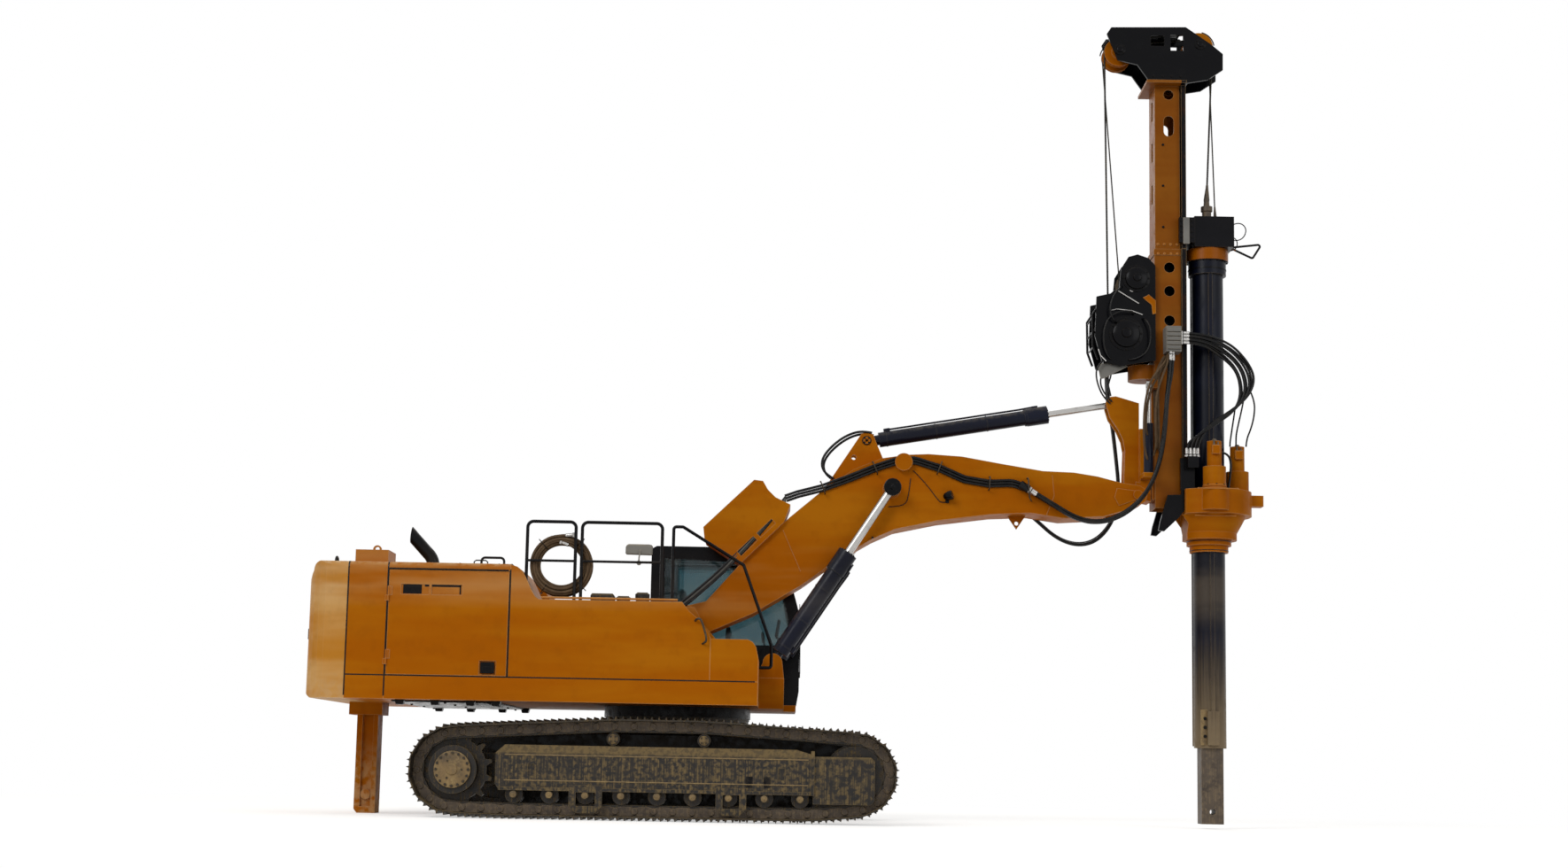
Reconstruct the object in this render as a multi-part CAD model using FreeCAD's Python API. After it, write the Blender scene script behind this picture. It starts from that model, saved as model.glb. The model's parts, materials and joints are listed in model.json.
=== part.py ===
import FreeCAD, Part
import math
import os

# Crawler drilling rig: an excavator-type carrier with a tilting mast that guides a
# telescopic drill rod through a rotary drive.
# Millimetres. +X is forward, +Y is the machine's left, +Z is up.
# The origin is on the ground, on the slewing axis.

# ---------------------------------------------------------------- driving dimensions
# Running gear
TRACK_GAUGE = 2590.0        # between the centre lines of the two tracks
SHOE_WIDTH = 600.0
LINK_PITCH = 216.0          # nominal distance between track pins
GROUSER_H = 29.0
GROUSER_PITCH = 72.0
GROUSER_FOOT = 11.0         # half the width of a grouser at its root
SHOE_PLATE = 14.0
LINK_H = 112.0              # from the shoe plate to the rail that the rollers run on
RAIL_IN = 58.0              # rail faces, from the track's centre line
RAIL_OUT = 102.0
SPROCKET_X = -2180.0
SPROCKET_Z = 480.0
SPROCKET_WRAP = 440.0       # sprocket centre to the shoe plates, at the track pins
IDLER_X = 1875.0
IDLER_Z = 500.0
IDLER_WRAP = 424.0
ROLLER_R = 90.0
ROLLER_COUNT = 9
FIRST_ROLLER_X = -1564.0
LAST_ROLLER_X = 1321.0
CARRIER_R = 66.0
CARRIER_X = (-580.0, 340.0)
CARRIER_Z = 815.0
CARRIER_PLAY = 4.0          # room that the straight links need over a carrier roller
FRAME_HALF_W = 200.0        # track frame, each side of the track's centre line
FRAME_REAR_X = -1749.0
FRAME_FRONT_X = 1450.0
FRAME_TOP_Z = 740.0
FRAME_SHOULDER_Z = 690.0
FORK_FRONT_X = 2071.0
FORK_IN = 154.0             # inner faces of the idler's fork, from the track's centre line
FORK_PLATE = 26.0
SEAT_GAP = 0.3              # between round parts that rest on each other
PIN_GAP = 0.05              # between a pin and its bush
SLIDE_GAP = 0.5             # between a slide and its guide
MOVE_GAP = 6.0              # between pieces that move past each other

# Carbody and slewing ring
CARBODY_HALF_X = 880.0
CARBODY_HALF_Y = 640.0
CARBODY_Z0 = 480.0
CARBODY_Z1 = 1000.0
CARBODY_WALL = 40.0
RING_R = 785.0
RING_BORE_R = 560.0
RING_FOOT_Z = 1045.0

# Upper structure
HALF_W = 1490.0             # half the width over the side panels
DECK_Z0 = 1175.0
FLOOR_Z = 1245.0
SKIRT_Z = 1415.0
HOOD_Z = 2570.0
WALK_Z = 2212.0
TOOLBOX_Z = 1843.0
TAIL_X = -3800.0
SEAM1_X = -3312.0           # counterweight to leg housing
SEAM2_X = -2910.0           # leg housing to engine hood
SEAM3_X = -1665.0           # engine hood to tanks
WALK_X0 = -1372.0
WALK_X1 = 87.0
TOOLBOX_X = 384.0
FRONT_X = 874.0
WELL_HALF_Y = 560.0         # half the width of the open well that the boom foot stands in
PANEL = 50.0                # thickness of hood walls and doors
TAIL_CORNER_R = 330.0
ROOF_FILLET = 60.0          # rounding along the roof's side edges

# Cab
CAB_Y0 = 500.0
CAB_Y1 = HALF_W - 10.0
CAB_X0 = -356.0
CAB_X1 = 1305.0
CAB_Z0 = FLOOR_Z
CAB_Z1 = 2982.0
CAB_WALL = 45.0
CAB_GLASS = 8.0

# Rear support leg
LEG_X = SEAM1_X + 3.0
LEG_HALF_X = 113.0
LEG_HALF_Y = 130.0
LEG_TOP_Z = 1780.0
FOOT_PIN_Z = 200.0

# Boom (side view) and its cylinders
BOOM_FOOT = (72.0, 2130.0)
BOOM_TIP = (4925.0, 3559.0)
BOOM_HALF_Y = 250.0
BOOM_PLATE = 18.0
BOOM_FOOT_HALF_Y = 358.0
BOOM_PIN_R = 55.0
LIFT_BASE = (1014.0, 1658.0)
LIFT_ROD_PIN = (2265.0, 3569.0)
LIFT_Y = 385.0
LIFT_BARREL_R = 92.0
LIFT_ROD_R = 48.0
LIFT_BARREL_LEN = 1430.0
TILT_BASE = (1993.0, 4119.0)
TILT_ROD_PIN = (4693.0, 4585.0)
TILT_BARREL_R = 82.0
TILT_ROD_R = 36.0
TILT_BARREL_LEN = 2010.0
FORK_HALF_Y = 165.0         # inside of the boom's fork at the tip

# Mast
MAST_X0 = 5135.0
MAST_X1 = 5410.0
MAST_HALF_Y = 190.0
MAST_WALL = 14.0
MAST_FOOT_Z = 3430.0
MAST_JOINT_Z = 6302.0
MAST_TOP_Z = 8190.0
LOWER_GROW = 10.0           # how much the lower mast section is larger all round
RAIL_X1 = 5472.0
RAIL_HALF_Y = 225.0
SIDE_PIVOT_Z = 4000.0
SADDLE_X = 5090.0

# Rotary drive and drill rod
KELLY_X = 5740.0
KELLY_R = 172.5
KELLY_SHOULDER_Z = 856.0
INNER_HALF = 118.0
INNER_BOTTOM_Z = 50.0
INNER_LEN = 5000.0
TOOL_PIN_UP = 130.0         # tool pin's hole, above the end of the inner rod
TOOL_PIN_R = 32.0
COLLAR_Z0 = 6042.0
COLLAR_Z1 = 6195.0
GUIDE_RING_Z1 = 6328.0
GUIDE_TOP_Z = 6669.0
CASE_Z0 = 3310.0
CASE_Z1 = 3626.0
SLEEVE_Z0 = 2965.0
MOTOR_TOP_Z = 4139.0

V = FreeCAD.Vector
UP = V(0, 0, 1)
ALONG_X = V(1, 0, 0)
ALONG_Y = V(0, 1, 0)

os.makedirs("parts", exist_ok=True)


# ---------------------------------------------------------------- small helpers
def box(x0, x1, y0, y1, z0, z1):
    return Part.makeBox(x1 - x0, y1 - y0, z1 - z0, V(x0, y0, z0))


def disc_x(y, z, x0, x1, radius):
    return Part.makeCylinder(radius, x1 - x0, V(x0, y, z), ALONG_X)


def disc_y(x, z, y0, y1, radius):
    return Part.makeCylinder(radius, y1 - y0, V(x, y0, z), ALONG_Y)


def disc_z(x, y, z0, z1, radius):
    return Part.makeCylinder(radius, z1 - z0, V(x, y, z0), UP)


def plate_y(points, y0, y1):
    """An outline in the X-Z plane, extruded across the machine."""
    corners = [V(x, y0, z) for x, z in points]
    return Part.Face(Part.makePolygon(corners + corners[:1])).extrude(V(0, y1 - y0, 0))


def plate_x(points, x0, x1):
    """An outline in the Y-Z plane, extruded along the machine."""
    corners = [V(x0, y, z) for y, z in points]
    return Part.Face(Part.makePolygon(corners + corners[:1])).extrude(V(x1 - x0, 0, 0))


def plate_z(points, z0, z1):
    """An outline in the X-Y plane, extruded upward."""
    corners = [V(x, y, z0) for x, y in points]
    return Part.Face(Part.makePolygon(corners + corners[:1])).extrude(V(0, 0, z1 - z0))


def fused(*shapes):
    return shapes[0].multiFuse(list(shapes[1:])).removeSplitter()


def cut(shape, *tools):
    return shape.cut(list(tools))


def mirrored(shape):
    return shape.mirror(V(0, 0, 0), ALONG_Y)


def pair(shape):
    return [shape, mirrored(shape)]


def tube(points, radius, bend):
    """A round bar through the points, each corner turned with a bend radius."""
    pts = [V(*p) for p in points]
    edges = []
    start = pts[0]
    for before, corner, after in zip(pts, pts[1:], pts[2:]):
        a = (before - corner).normalize()
        b = (after - corner).normalize()
        half = a.getAngle(b) / 2.0
        reach = bend / math.tan(half)
        p1 = corner + a * reach
        p3 = corner + b * reach
        middle = (a + b).normalize()
        centre = corner + middle * (bend / math.sin(half))
        p2 = centre - middle * bend
        edges.append(Part.LineSegment(start, p1).toShape())
        edges.append(Part.Arc(p1, p2, p3).toShape())
        start = p3
    edges.append(Part.LineSegment(start, pts[-1]).toShape())
    path = Part.Wire(edges)
    direction = (pts[1] - pts[0]).normalize()
    ring = Part.Wire(Part.makeCircle(radius, pts[0], direction))
    return path.makePipeShell([ring], True, False)


def export(name, *shapes):
    solids = [solid for shape in shapes for solid in shape.Solids]
    whole = solids[0] if len(solids) == 1 else Part.makeCompound(solids)
    whole.exportStep("parts/%s.step" % name)


# ---------------------------------------------------------------- running gear
TRACK_Y = TRACK_GAUGE / 2.0
CHAIN_H = SHOE_PLATE + LINK_H
GROUND_RAIL_Z = GROUSER_H + CHAIN_H
ROLLER_Z = GROUND_RAIL_Z + ROLLER_R + SEAT_GAP


def track_circles():
    """Circles that the outer face of the shoe plates wraps, anticlockwise seen from -Y."""
    bottom_r = ROLLER_R + SEAT_GAP + CHAIN_H
    carrier_r = CARRIER_R + CHAIN_H + CARRIER_PLAY
    flat = LINK_PITCH * 0.6
    return [
        (FIRST_ROLLER_X - flat, ROLLER_Z, bottom_r),
        (LAST_ROLLER_X + flat, ROLLER_Z, bottom_r),
        (IDLER_X, IDLER_Z, IDLER_WRAP),
        (CARRIER_X[1], CARRIER_Z, carrier_r),
        (CARRIER_X[0], CARRIER_Z, carrier_r),
        (SPROCKET_X, SPROCKET_Z, SPROCKET_WRAP),
    ]


def track_path():
    """Straight runs and arcs of the loop: ('line', start, end) and ('arc', centre, r, a0, a1)."""
    circles = track_circles()
    normals = []
    for (xa, za, ra), (xb, zb, rb) in zip(circles, circles[1:] + circles[:1]):
        length = math.hypot(xb - xa, zb - za)
        heading = math.atan2(zb - za, xb - xa)
        normals.append(heading - math.pi / 2.0 - math.asin((rb - ra) / length))
    path = []
    for i, (x, z, r) in enumerate(circles):
        came = normals[i - 1]
        leaves = normals[i]
        while leaves < came:
            leaves += 2.0 * math.pi
        path.append(("arc", x, z, r, came, leaves))
        xb, zb, rb = circles[(i + 1) % len(circles)]
        start = (x + r * math.cos(normals[i]), z + r * math.sin(normals[i]))
        end = (xb + rb * math.cos(normals[i]), zb + rb * math.sin(normals[i]))
        path.append(("line", start, end, normals[i]))
    return path


def piece_length(piece):
    if piece[0] == "arc":
        return piece[3] * (piece[5] - piece[4])
    return math.dist(piece[1], piece[2])


def along_track(path, distance):
    """The point at a distance round the loop, and the outward direction there."""
    for piece in path:
        length = piece_length(piece)
        if distance <= length:
            break
        distance -= length
    if piece[0] == "arc":
        angle = piece[4] + distance / piece[3]
        point = (piece[1] + piece[3] * math.cos(angle), piece[2] + piece[3] * math.sin(angle))
        return point, angle
    share = distance / length
    point = tuple(a + (b - a) * share for a, b in zip(piece[1], piece[2]))
    return point, piece[3]


def shoe_profile():
    """Three grousers on one shoe: distance along the shoe, height above its plate."""
    profile = []
    for centre in (-GROUSER_PITCH, 0.0, GROUSER_PITCH):
        profile += [(centre - GROUSER_FOOT, 0.0), (centre, GROUSER_H), (centre + GROUSER_FOOT, 0.0)]
    return profile


def track_loop():
    """One track on the centre plane Y = 0: a band of shoes on two rails of links."""
    path = track_path()
    total = sum(piece_length(piece) for piece in path)
    count = round(total / LINK_PITCH)
    pitch = total / count
    joints = []
    for i in range(count):
        (x, z), angle = along_track(path, i * pitch)
        joints.append((x, z, angle))
    outer = []
    for (xa, za, _), (xb, zb, _) in zip(joints, joints[1:] + joints[:1]):
        span = math.hypot(xb - xa, zb - za)
        tx, tz = (xb - xa) / span, (zb - za) / span
        mx, mz = (xa + xb) / 2.0, (za + zb) / 2.0
        for along, height in shoe_profile():
            outer.append((mx + tx * along + tz * height, mz + tz * along - tx * height))

    def inward(depth):
        return [(x - math.cos(a) * depth, z - math.sin(a) * depth) for x, z, a in joints]

    half = SHOE_WIDTH / 2.0
    under = inward(SHOE_PLATE)
    band = cut(plate_y(outer, -half, half), plate_y(under, -half - 1.0, half + 1.0))
    rails = []
    for y0, y1 in ((-RAIL_OUT, -RAIL_IN), (RAIL_IN, RAIL_OUT)):
        inner = plate_y(inward(CHAIN_H), y0 - 1.0, y1 + 1.0)
        rails.append(cut(plate_y(under, y0, y1), inner))
    return fused(band, *rails)


def rim_radius(wrap):
    """Largest wheel that fits inside the straight links wrapped round it."""
    return (wrap - CHAIN_H) * math.cos(LINK_PITCH / wrap / 2.0) - SEAT_GAP


def sprocket(y_sign):
    """Toothed ring between the rails, final drive outboard and travel motor inboard."""
    tooth_r = SPROCKET_WRAP - SHOE_PLATE - 41.0
    root_r = tooth_r - 62.0
    teeth = 13
    outline = []
    for i in range(teeth):
        for share, radius in ((0.0, root_r), (0.28, root_r), (0.42, tooth_r), (0.58, tooth_r),
                              (0.72, root_r)):
            angle = 2.0 * math.pi * (i + share) / teeth
            outline.append((SPROCKET_X + radius * math.cos(angle), SPROCKET_Z + radius * math.sin(angle)))
    ring = plate_y(outline, -42.0, 42.0)
    drive = disc_y(SPROCKET_X, SPROCKET_Z, -205.0, 0.0, 242.0)
    cover = disc_y(SPROCKET_X, SPROCKET_Z, -228.0, -205.0, 180.0)
    motor = disc_y(SPROCKET_X, SPROCKET_Z, 0.0, 230.0, 190.0)
    wheel = fused(ring, drive, cover, motor)
    if y_sign > 0:
        wheel = mirrored(wheel)
    wheel.translate(V(0, y_sign * TRACK_Y, 0))
    return wheel


def idler(y_sign):
    rim = rim_radius(IDLER_WRAP)
    body = disc_y(IDLER_X, IDLER_Z, -RAIL_OUT, RAIL_OUT, rim)
    guide = disc_y(IDLER_X, IDLER_Z, -RAIL_IN + 8.0, RAIL_IN - 8.0, rim + 20.0)
    axle = disc_y(IDLER_X, IDLER_Z, -FORK_IN + SEAT_GAP, FORK_IN - SEAT_GAP, 60.0)
    wheel = fused(body, guide, axle)
    wheel.translate(V(0, y_sign * TRACK_Y, 0))
    return wheel


def roller_places():
    step = (LAST_ROLLER_X - FIRST_ROLLER_X) / (ROLLER_COUNT - 1)
    return [FIRST_ROLLER_X + i * step for i in range(ROLLER_COUNT)]


AXLE_R = 40.0


def rollers(y_sign):
    """Bottom rollers on their axles under one track frame."""
    out = []
    for x in roller_places():
        tread = disc_y(x, ROLLER_Z, -RAIL_OUT - 20.0, RAIL_OUT + 20.0, ROLLER_R)
        axle = disc_y(x, ROLLER_Z, -FRAME_HALF_W + 4.0, FRAME_HALF_W - 4.0, AXLE_R)
        roller = fused(tread, axle)
        roller.translate(V(0, y_sign * TRACK_Y, 0))
        out.append(roller)
    return out


def carrier_rollers(y_sign):
    """Top rollers, each on a post that stands on the track frame."""
    out = []
    for x in CARRIER_X:
        tread = disc_y(x, CARRIER_Z, -RAIL_OUT, RAIL_OUT, CARRIER_R)
        axle = disc_y(x, CARRIER_Z, RAIL_OUT, RAIL_OUT + 60.0, 36.0)
        post = box(x - 40.0, x + 40.0, RAIL_OUT + 20.0, RAIL_OUT + 60.0, FRAME_TOP_Z, CARRIER_Z)
        roller = fused(tread, axle, post)
        if y_sign > 0:
            roller = mirrored(roller)
        roller.translate(V(0, y_sign * TRACK_Y, 0))
        out.append(roller)
    return out


TRIM_PLATE = 14.0
GUARD_SPANS = ((-1003.0, -668.0), (474.0, 781.0))
GUARD_BOTTOM_Z = 70.0
FRAME_MID_Z = 490.0


def track_frame(y_sign):
    """Long beam between sprocket and idler, on the centre plane, then set to its side."""
    bottom_z = ROLLER_Z + AXLE_R + SEAT_GAP
    outline = [
        (FRAME_REAR_X, bottom_z + 60.0), (FRAME_REAR_X + 40.0, bottom_z), (FRAME_FRONT_X, bottom_z),
        (FRAME_FRONT_X, FRAME_SHOULDER_Z), (1280.0, FRAME_TOP_Z), (FRAME_REAR_X + 90.0, FRAME_TOP_Z),
        (FRAME_REAR_X, FRAME_SHOULDER_Z - 30.0),
    ]
    beam = plate_y(outline, -FRAME_HALF_W, FRAME_HALF_W)
    roller_tunnel = box(FRAME_REAR_X - 1.0, FRAME_FRONT_X + 1.0, -RAIL_OUT - 30.0, RAIL_OUT + 30.0,
                        bottom_z - 1.0, ROLLER_Z + ROLLER_R + 12.0)
    beam = cut(beam, roller_tunnel)
    fork_points = [
        (FRAME_FRONT_X, 200.0), (FORK_FRONT_X - 40.0, 200.0), (FORK_FRONT_X, 240.0),
        (FORK_FRONT_X, 640.0), (FORK_FRONT_X - 40.0, 676.0), (FRAME_FRONT_X, 676.0),
    ]
    outer_fork = plate_y(fork_points, -FORK_IN - FORK_PLATE, -FORK_IN)
    inner_fork = plate_y(fork_points, FORK_IN, FORK_IN + FORK_PLATE)
    drive_arm = plate_y([
        (SPROCKET_X - 150.0, SPROCKET_Z - 150.0), (FRAME_REAR_X, bottom_z + 60.0),
        (FRAME_REAR_X, FRAME_SHOULDER_Z - 30.0), (SPROCKET_X - 150.0, SPROCKET_Z + 150.0),
    ], 230.0, 262.0)
    arm_root = box(FRAME_REAR_X - 60.0, FRAME_REAR_X + 60.0, FRAME_HALF_W - 30.0, 262.0,
                   bottom_z + 70.0, FRAME_SHOULDER_Z - 40.0)
    trim = []
    for face, proud in ((-FRAME_HALF_W, -1.0), (FRAME_HALF_W, 1.0)):
        y0, y1 = sorted((face - proud, face + proud * TRIM_PLATE))
        trim.append(box(FRAME_REAR_X + 60.0, FRAME_FRONT_X - 30.0, y0, y1, bottom_z, bottom_z + 34.0))
        for x0, x1 in GUARD_SPANS:
            shoulder = 70.0
            guard = plate_y([(x0, bottom_z + 60.0), (x0, GUARD_BOTTOM_Z + shoulder),
                             (x0 + shoulder, GUARD_BOTTOM_Z), (x1 - shoulder, GUARD_BOTTOM_Z),
                             (x1, GUARD_BOTTOM_Z + shoulder),
                             (x1, bottom_z + 60.0)], y0, y1)
            window = box(x0 + shoulder, x1 - shoulder, y0 - 1.0, y1 + 1.0, GUARD_BOTTOM_Z + shoulder,
                         bottom_z - 10.0)
            trim.append(cut(guard, window))
    rib = box(FRAME_FRONT_X - 24.0, FRAME_FRONT_X + 12.0, -FRAME_HALF_W - 6.0, FRAME_HALF_W + 6.0,
              bottom_z, FRAME_SHOULDER_Z + 40.0)
    beam = cut(beam, *[box(x - 34.0, x + 34.0, y, y + 12.0, FRAME_MID_Z - 60.0, FRAME_MID_Z + 60.0)
                       for x in (FRAME_REAR_X + 360.0, FRAME_FRONT_X - 320.0)
                       for y in (-FRAME_HALF_W, FRAME_HALF_W - 12.0)])
    frame = fused(beam, outer_fork, inner_fork, drive_arm, arm_root, rib, *trim)
    if y_sign > 0:
        frame = mirrored(frame)
    frame.translate(V(0, y_sign * TRACK_Y, 0))
    return frame


def carbody():
    """Centre box on four legs that reach the track frames, with the slewing ring's foot."""
    reach = TRACK_Y - FRAME_HALF_W
    centre = plate_x([
        (-CARBODY_HALF_Y, CARBODY_Z0), (CARBODY_HALF_Y, CARBODY_Z0), (CARBODY_HALF_Y, CARBODY_Z1 - 90.0),
        (CARBODY_HALF_Y - 90.0, CARBODY_Z1), (-CARBODY_HALF_Y + 90.0, CARBODY_Z1),
        (-CARBODY_HALF_Y, CARBODY_Z1 - 90.0),
    ], -CARBODY_HALF_X, CARBODY_HALF_X)
    legs = []
    for x0 in (-CARBODY_HALF_X, CARBODY_HALF_X - 360.0):
        legs.append(plate_x([
            (-reach, 400.0), (-CARBODY_HALF_Y + 40.0, CARBODY_Z0), (CARBODY_HALF_Y - 40.0, CARBODY_Z0),
            (reach, 400.0), (reach, 700.0), (CARBODY_HALF_Y - 40.0, 900.0),
            (-CARBODY_HALF_Y + 40.0, 900.0), (-reach, 700.0),
        ], x0, x0 + 360.0))
    foot = disc_z(0, 0, CARBODY_Z1 - 60.0, RING_FOOT_Z, RING_R - 20.0)
    wall = CARBODY_WALL
    cavity = box(-CARBODY_HALF_X + wall, CARBODY_HALF_X - wall, -CARBODY_HALF_Y + wall, CARBODY_HALF_Y - wall,
                 CARBODY_Z0 + wall, CARBODY_Z1 - 90.0)
    return cut(fused(centre, *legs, foot), cavity)


def slew_ring_lower():
    """Fixed race with a shoulder that the turning race sits on."""
    shoulder = disc_z(0, 0, RING_FOOT_Z, RING_FOOT_Z + 22.0, RING_R - 12.0)
    race = disc_z(0, 0, RING_FOOT_Z, DECK_Z0 - 10.0, RING_R - 90.0)
    bore = disc_z(0, 0, RING_FOOT_Z - 1.0, DECK_Z0, RING_BORE_R)
    return cut(fused(shoulder, race), bore)


def slew_ring_upper():
    ring = disc_z(0, 0, RING_FOOT_Z + 22.0 + SEAT_GAP, DECK_Z0, RING_R)
    return cut(ring, disc_z(0, 0, RING_FOOT_Z, DECK_Z0 + 1.0, RING_R - 90.0 + MOVE_GAP))


# ---------------------------------------------------------------- upper structure
LIFT_EYE_HALF = 44.0
LIFT_EAR = 34.0


def upper_frame():
    """Deck with side channels, the boom's two uprights and the lift cylinders' ears."""
    slab = box(SEAM2_X, FRONT_X, -HALF_W, HALF_W, DECK_Z0, FLOOR_Z)
    cab_slab = box(FRONT_X, CAB_X1 - 30.0, CAB_Y0, CAB_Y1, DECK_Z0, FLOOR_Z)
    right_channel = box(SEAM2_X, FRONT_X, -HALF_W, -WELL_HALF_Y, FLOOR_Z, SKIRT_Z)
    left_channel = box(SEAM2_X, CAB_X0 - 40.0, WELL_HALF_Y, HALF_W, FLOOR_Z, SKIRT_Z)
    nose = box(FRONT_X, 1140.0, -CAB_Y0 + 16.0, CAB_Y0 - 16.0, DECK_Z0, 1500.0)
    nose_root = box(700.0, FRONT_X, -CAB_Y0 + 16.0, CAB_Y0 - 16.0, FLOOR_Z, 1500.0)
    skin = 40.0
    right_channel = cut(right_channel, box(SEAM2_X + skin, FRONT_X - skin, -HALF_W + skin,
                                           -WELL_HALF_Y - skin, FLOOR_Z, SKIRT_Z - skin))
    left_channel = cut(left_channel, box(SEAM2_X + skin, CAB_X0 - 40.0 - skin, WELL_HALF_Y + skin,
                                         HALF_W - skin, FLOOR_Z, SKIRT_Z - skin))
    parts = [slab, cab_slab, right_channel, left_channel, nose, nose_root]
    fx, fz = BOOM_FOOT
    upright = [
        (-900.0, FLOOR_Z), (760.0, FLOOR_Z), (760.0, 1500.0), (fx + 190.0, fz - 60.0),
        (fx + 100.0, fz + 110.0), (fx - 100.0, fz + 110.0), (fx - 330.0, fz - 330.0), (-900.0, 1480.0),
    ]
    y0 = BOOM_FOOT_HALF_Y + MOVE_GAP
    for sign in (1, -1):
        plate = plate_y(upright, y0, y0 + 40.0)
        parts.append(plate if sign > 0 else mirrored(plate))
    lx, lz = LIFT_BASE
    for inner, outer in ((-LIFT_EYE_HALF - MOVE_GAP - LIFT_EAR, -LIFT_EYE_HALF - MOVE_GAP),
                         (LIFT_EYE_HALF + MOVE_GAP, LIFT_EYE_HALF + MOVE_GAP + LIFT_EAR)):
        ear = fused(
            plate_y([(lx - 190.0, 1490.0), (lx + 125.0, 1490.0), (lx + 105.0, lz), (lx - 105.0, lz)],
                    LIFT_Y + inner, LIFT_Y + outer),
            disc_y(lx, lz, LIFT_Y + inner, LIFT_Y + outer, 105.0))
        parts += pair(ear)
    frame = fused(*parts)
    pins = [disc_y(fx, fz, -y0 - 60.0, y0 + 60.0, BOOM_PIN_R)]
    reach = LIFT_EYE_HALF + MOVE_GAP + LIFT_EAR
    pins += pair(disc_y(lx, lz, LIFT_Y - reach, LIFT_Y + reach, 45.0))
    return fused(frame, *pins)


def roof_rounded(block):
    """The block with its two long roof edges rounded."""
    edges = [e for e in block.Edges
             if all(v.Z > HOOD_Z - 1 for v in e.Vertexes) and abs(e.Vertexes[0].Y - e.Vertexes[1].Y) < 1]
    return block.makeFillet(ROOF_FILLET, edges)


def tail_outline(front_x, corner):
    """Plan outline of the tail, from front_x back to the rounded corners, gently bowed."""
    side_x = TAIL_X + corner
    points = [(front_x, -HALF_W), (side_x, -HALF_W)]
    steps = 6
    for i in range(1, steps + 1):
        a = math.pi / 2.0 * i / steps
        points.append((side_x - corner * math.sin(a) * 0.86, -HALF_W + corner * (1 - math.cos(a))))
    points.append((TAIL_X, -HALF_W * 0.4))
    return points + [(x, -y) for x, y in reversed(points)]


def tail_profile():
    """Side view of the tail: it leans out as it goes down, with a rounded top edge and a chamfered foot."""
    top_x = TAIL_X + 105.0
    rim = 95.0
    points = [(SEAM1_X, DECK_Z0), (TAIL_X + 120.0, DECK_Z0), (TAIL_X + 5.0, DECK_Z0 + 78.0),
              (TAIL_X, DECK_Z0 + 530.0), (TAIL_X + 30.0, HOOD_Z - 230.0)]
    for i in range(6):
        a = math.pi / 2.0 * i / 5
        points.append((top_x + rim * (1.0 - math.cos(a)), HOOD_Z - rim * (1.0 - math.sin(a))))
    return points + [(SEAM1_X, HOOD_Z)]


def counterweight():
    body = roof_rounded(box(TAIL_X - 10.0, SEAM1_X, -HALF_W, HALF_W, DECK_Z0, HOOD_Z))
    body = body.common(plate_z(tail_outline(SEAM1_X, TAIL_CORNER_R), DECK_Z0, HOOD_Z))
    body = body.common(plate_y(tail_profile(), -HALF_W, HALF_W))
    slot = box(LEG_X - LEG_HALF_X - 24.0, SEAM1_X + 1.0, -LEG_HALF_Y - 24.0, LEG_HALF_Y + 24.0,
               DECK_Z0 - 1.0, HOOD_Z + 1.0)
    return cut(body, slot)


def leg_housing():
    """Spacer between counterweight and hood, with the support leg's guide and roof box."""
    body = roof_rounded(box(SEAM1_X, SEAM2_X, -HALF_W, HALF_W, DECK_Z0, HOOD_Z))
    pockets = pair(box(SEAM1_X + 60.0, SEAM2_X - 60.0, LEG_HALF_Y + 90.0, HALF_W - 60.0,
                       DECK_Z0 + 60.0, HOOD_Z - 60.0))
    x0, x1 = LEG_X - LEG_HALF_X, LEG_X + LEG_HALF_X
    collar = box(x0 - 80.0, x1 + 50.0, -LEG_HALF_Y - 60.0, LEG_HALF_Y + 60.0, 1040.0, DECK_Z0)
    roof = box(x0 - 80.0, x1 + 50.0, -LEG_HALF_Y - 90.0, LEG_HALF_Y + 90.0, HOOD_Z, HOOD_Z + 240.0)
    shaft = box(x0 - SLIDE_GAP, x1 + SLIDE_GAP, -LEG_HALF_Y - SLIDE_GAP, LEG_HALF_Y + SLIDE_GAP,
                1039.0, HOOD_Z + 200.0)
    eye_x = (x0 + x1) / 2.0
    eye = cut(disc_y(eye_x, HOOD_Z + 262.0, -12.0, 12.0, 46.0),
              disc_y(eye_x, HOOD_Z + 266.0, -13.0, 13.0, 24.0))
    shell = fused(body, collar, roof, eye)
    return cut(shell, shaft, *pockets)


def rear_leg():
    """Box leg with a slot down each side and a foot roller pin."""
    x0, x1 = LEG_X - LEG_HALF_X, LEG_X + LEG_HALF_X
    column = box(x0, x1, -LEG_HALF_Y, LEG_HALF_Y, 0.0, LEG_TOP_Z)
    slots = pair(box(x0 + 62.0, x1 - 50.0, LEG_HALF_Y - 40.0, LEG_HALF_Y + 1.0, 70.0, LEG_TOP_Z - 60.0))
    foot_x = (x0 + x1) / 2.0 + 6.0
    roller = fused(disc_y(foot_x, FOOT_PIN_Z, -LEG_HALF_Y, LEG_HALF_Y, 52.0),
                   disc_y(foot_x, FOOT_PIN_Z, -LEG_HALF_Y + 20.0, LEG_HALF_Y - 20.0, 57.0))
    heel = [(x0 - 1.0, -1.0), (x0 + 34.0, -1.0), (x0 - 1.0, 44.0)]
    return fused(cut(column, *slots, plate_y(heel, -LEG_HALF_Y - 1.0, LEG_HALF_Y + 1.0)), roller)


EXHAUST_X = -2690.0
EXHAUST_R = 68.0
DOOR_X0 = SEAM2_X + 12.0
DOOR_X1 = SEAM3_X - 12.0
DOOR_Z0 = SKIRT_Z + 8.0
DOOR_Z1 = HOOD_Z - 82.0
KNUCKLE_R = 10.0
KNUCKLE_H = 90.0
LOUVRE_PITCH = 74.0


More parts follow.
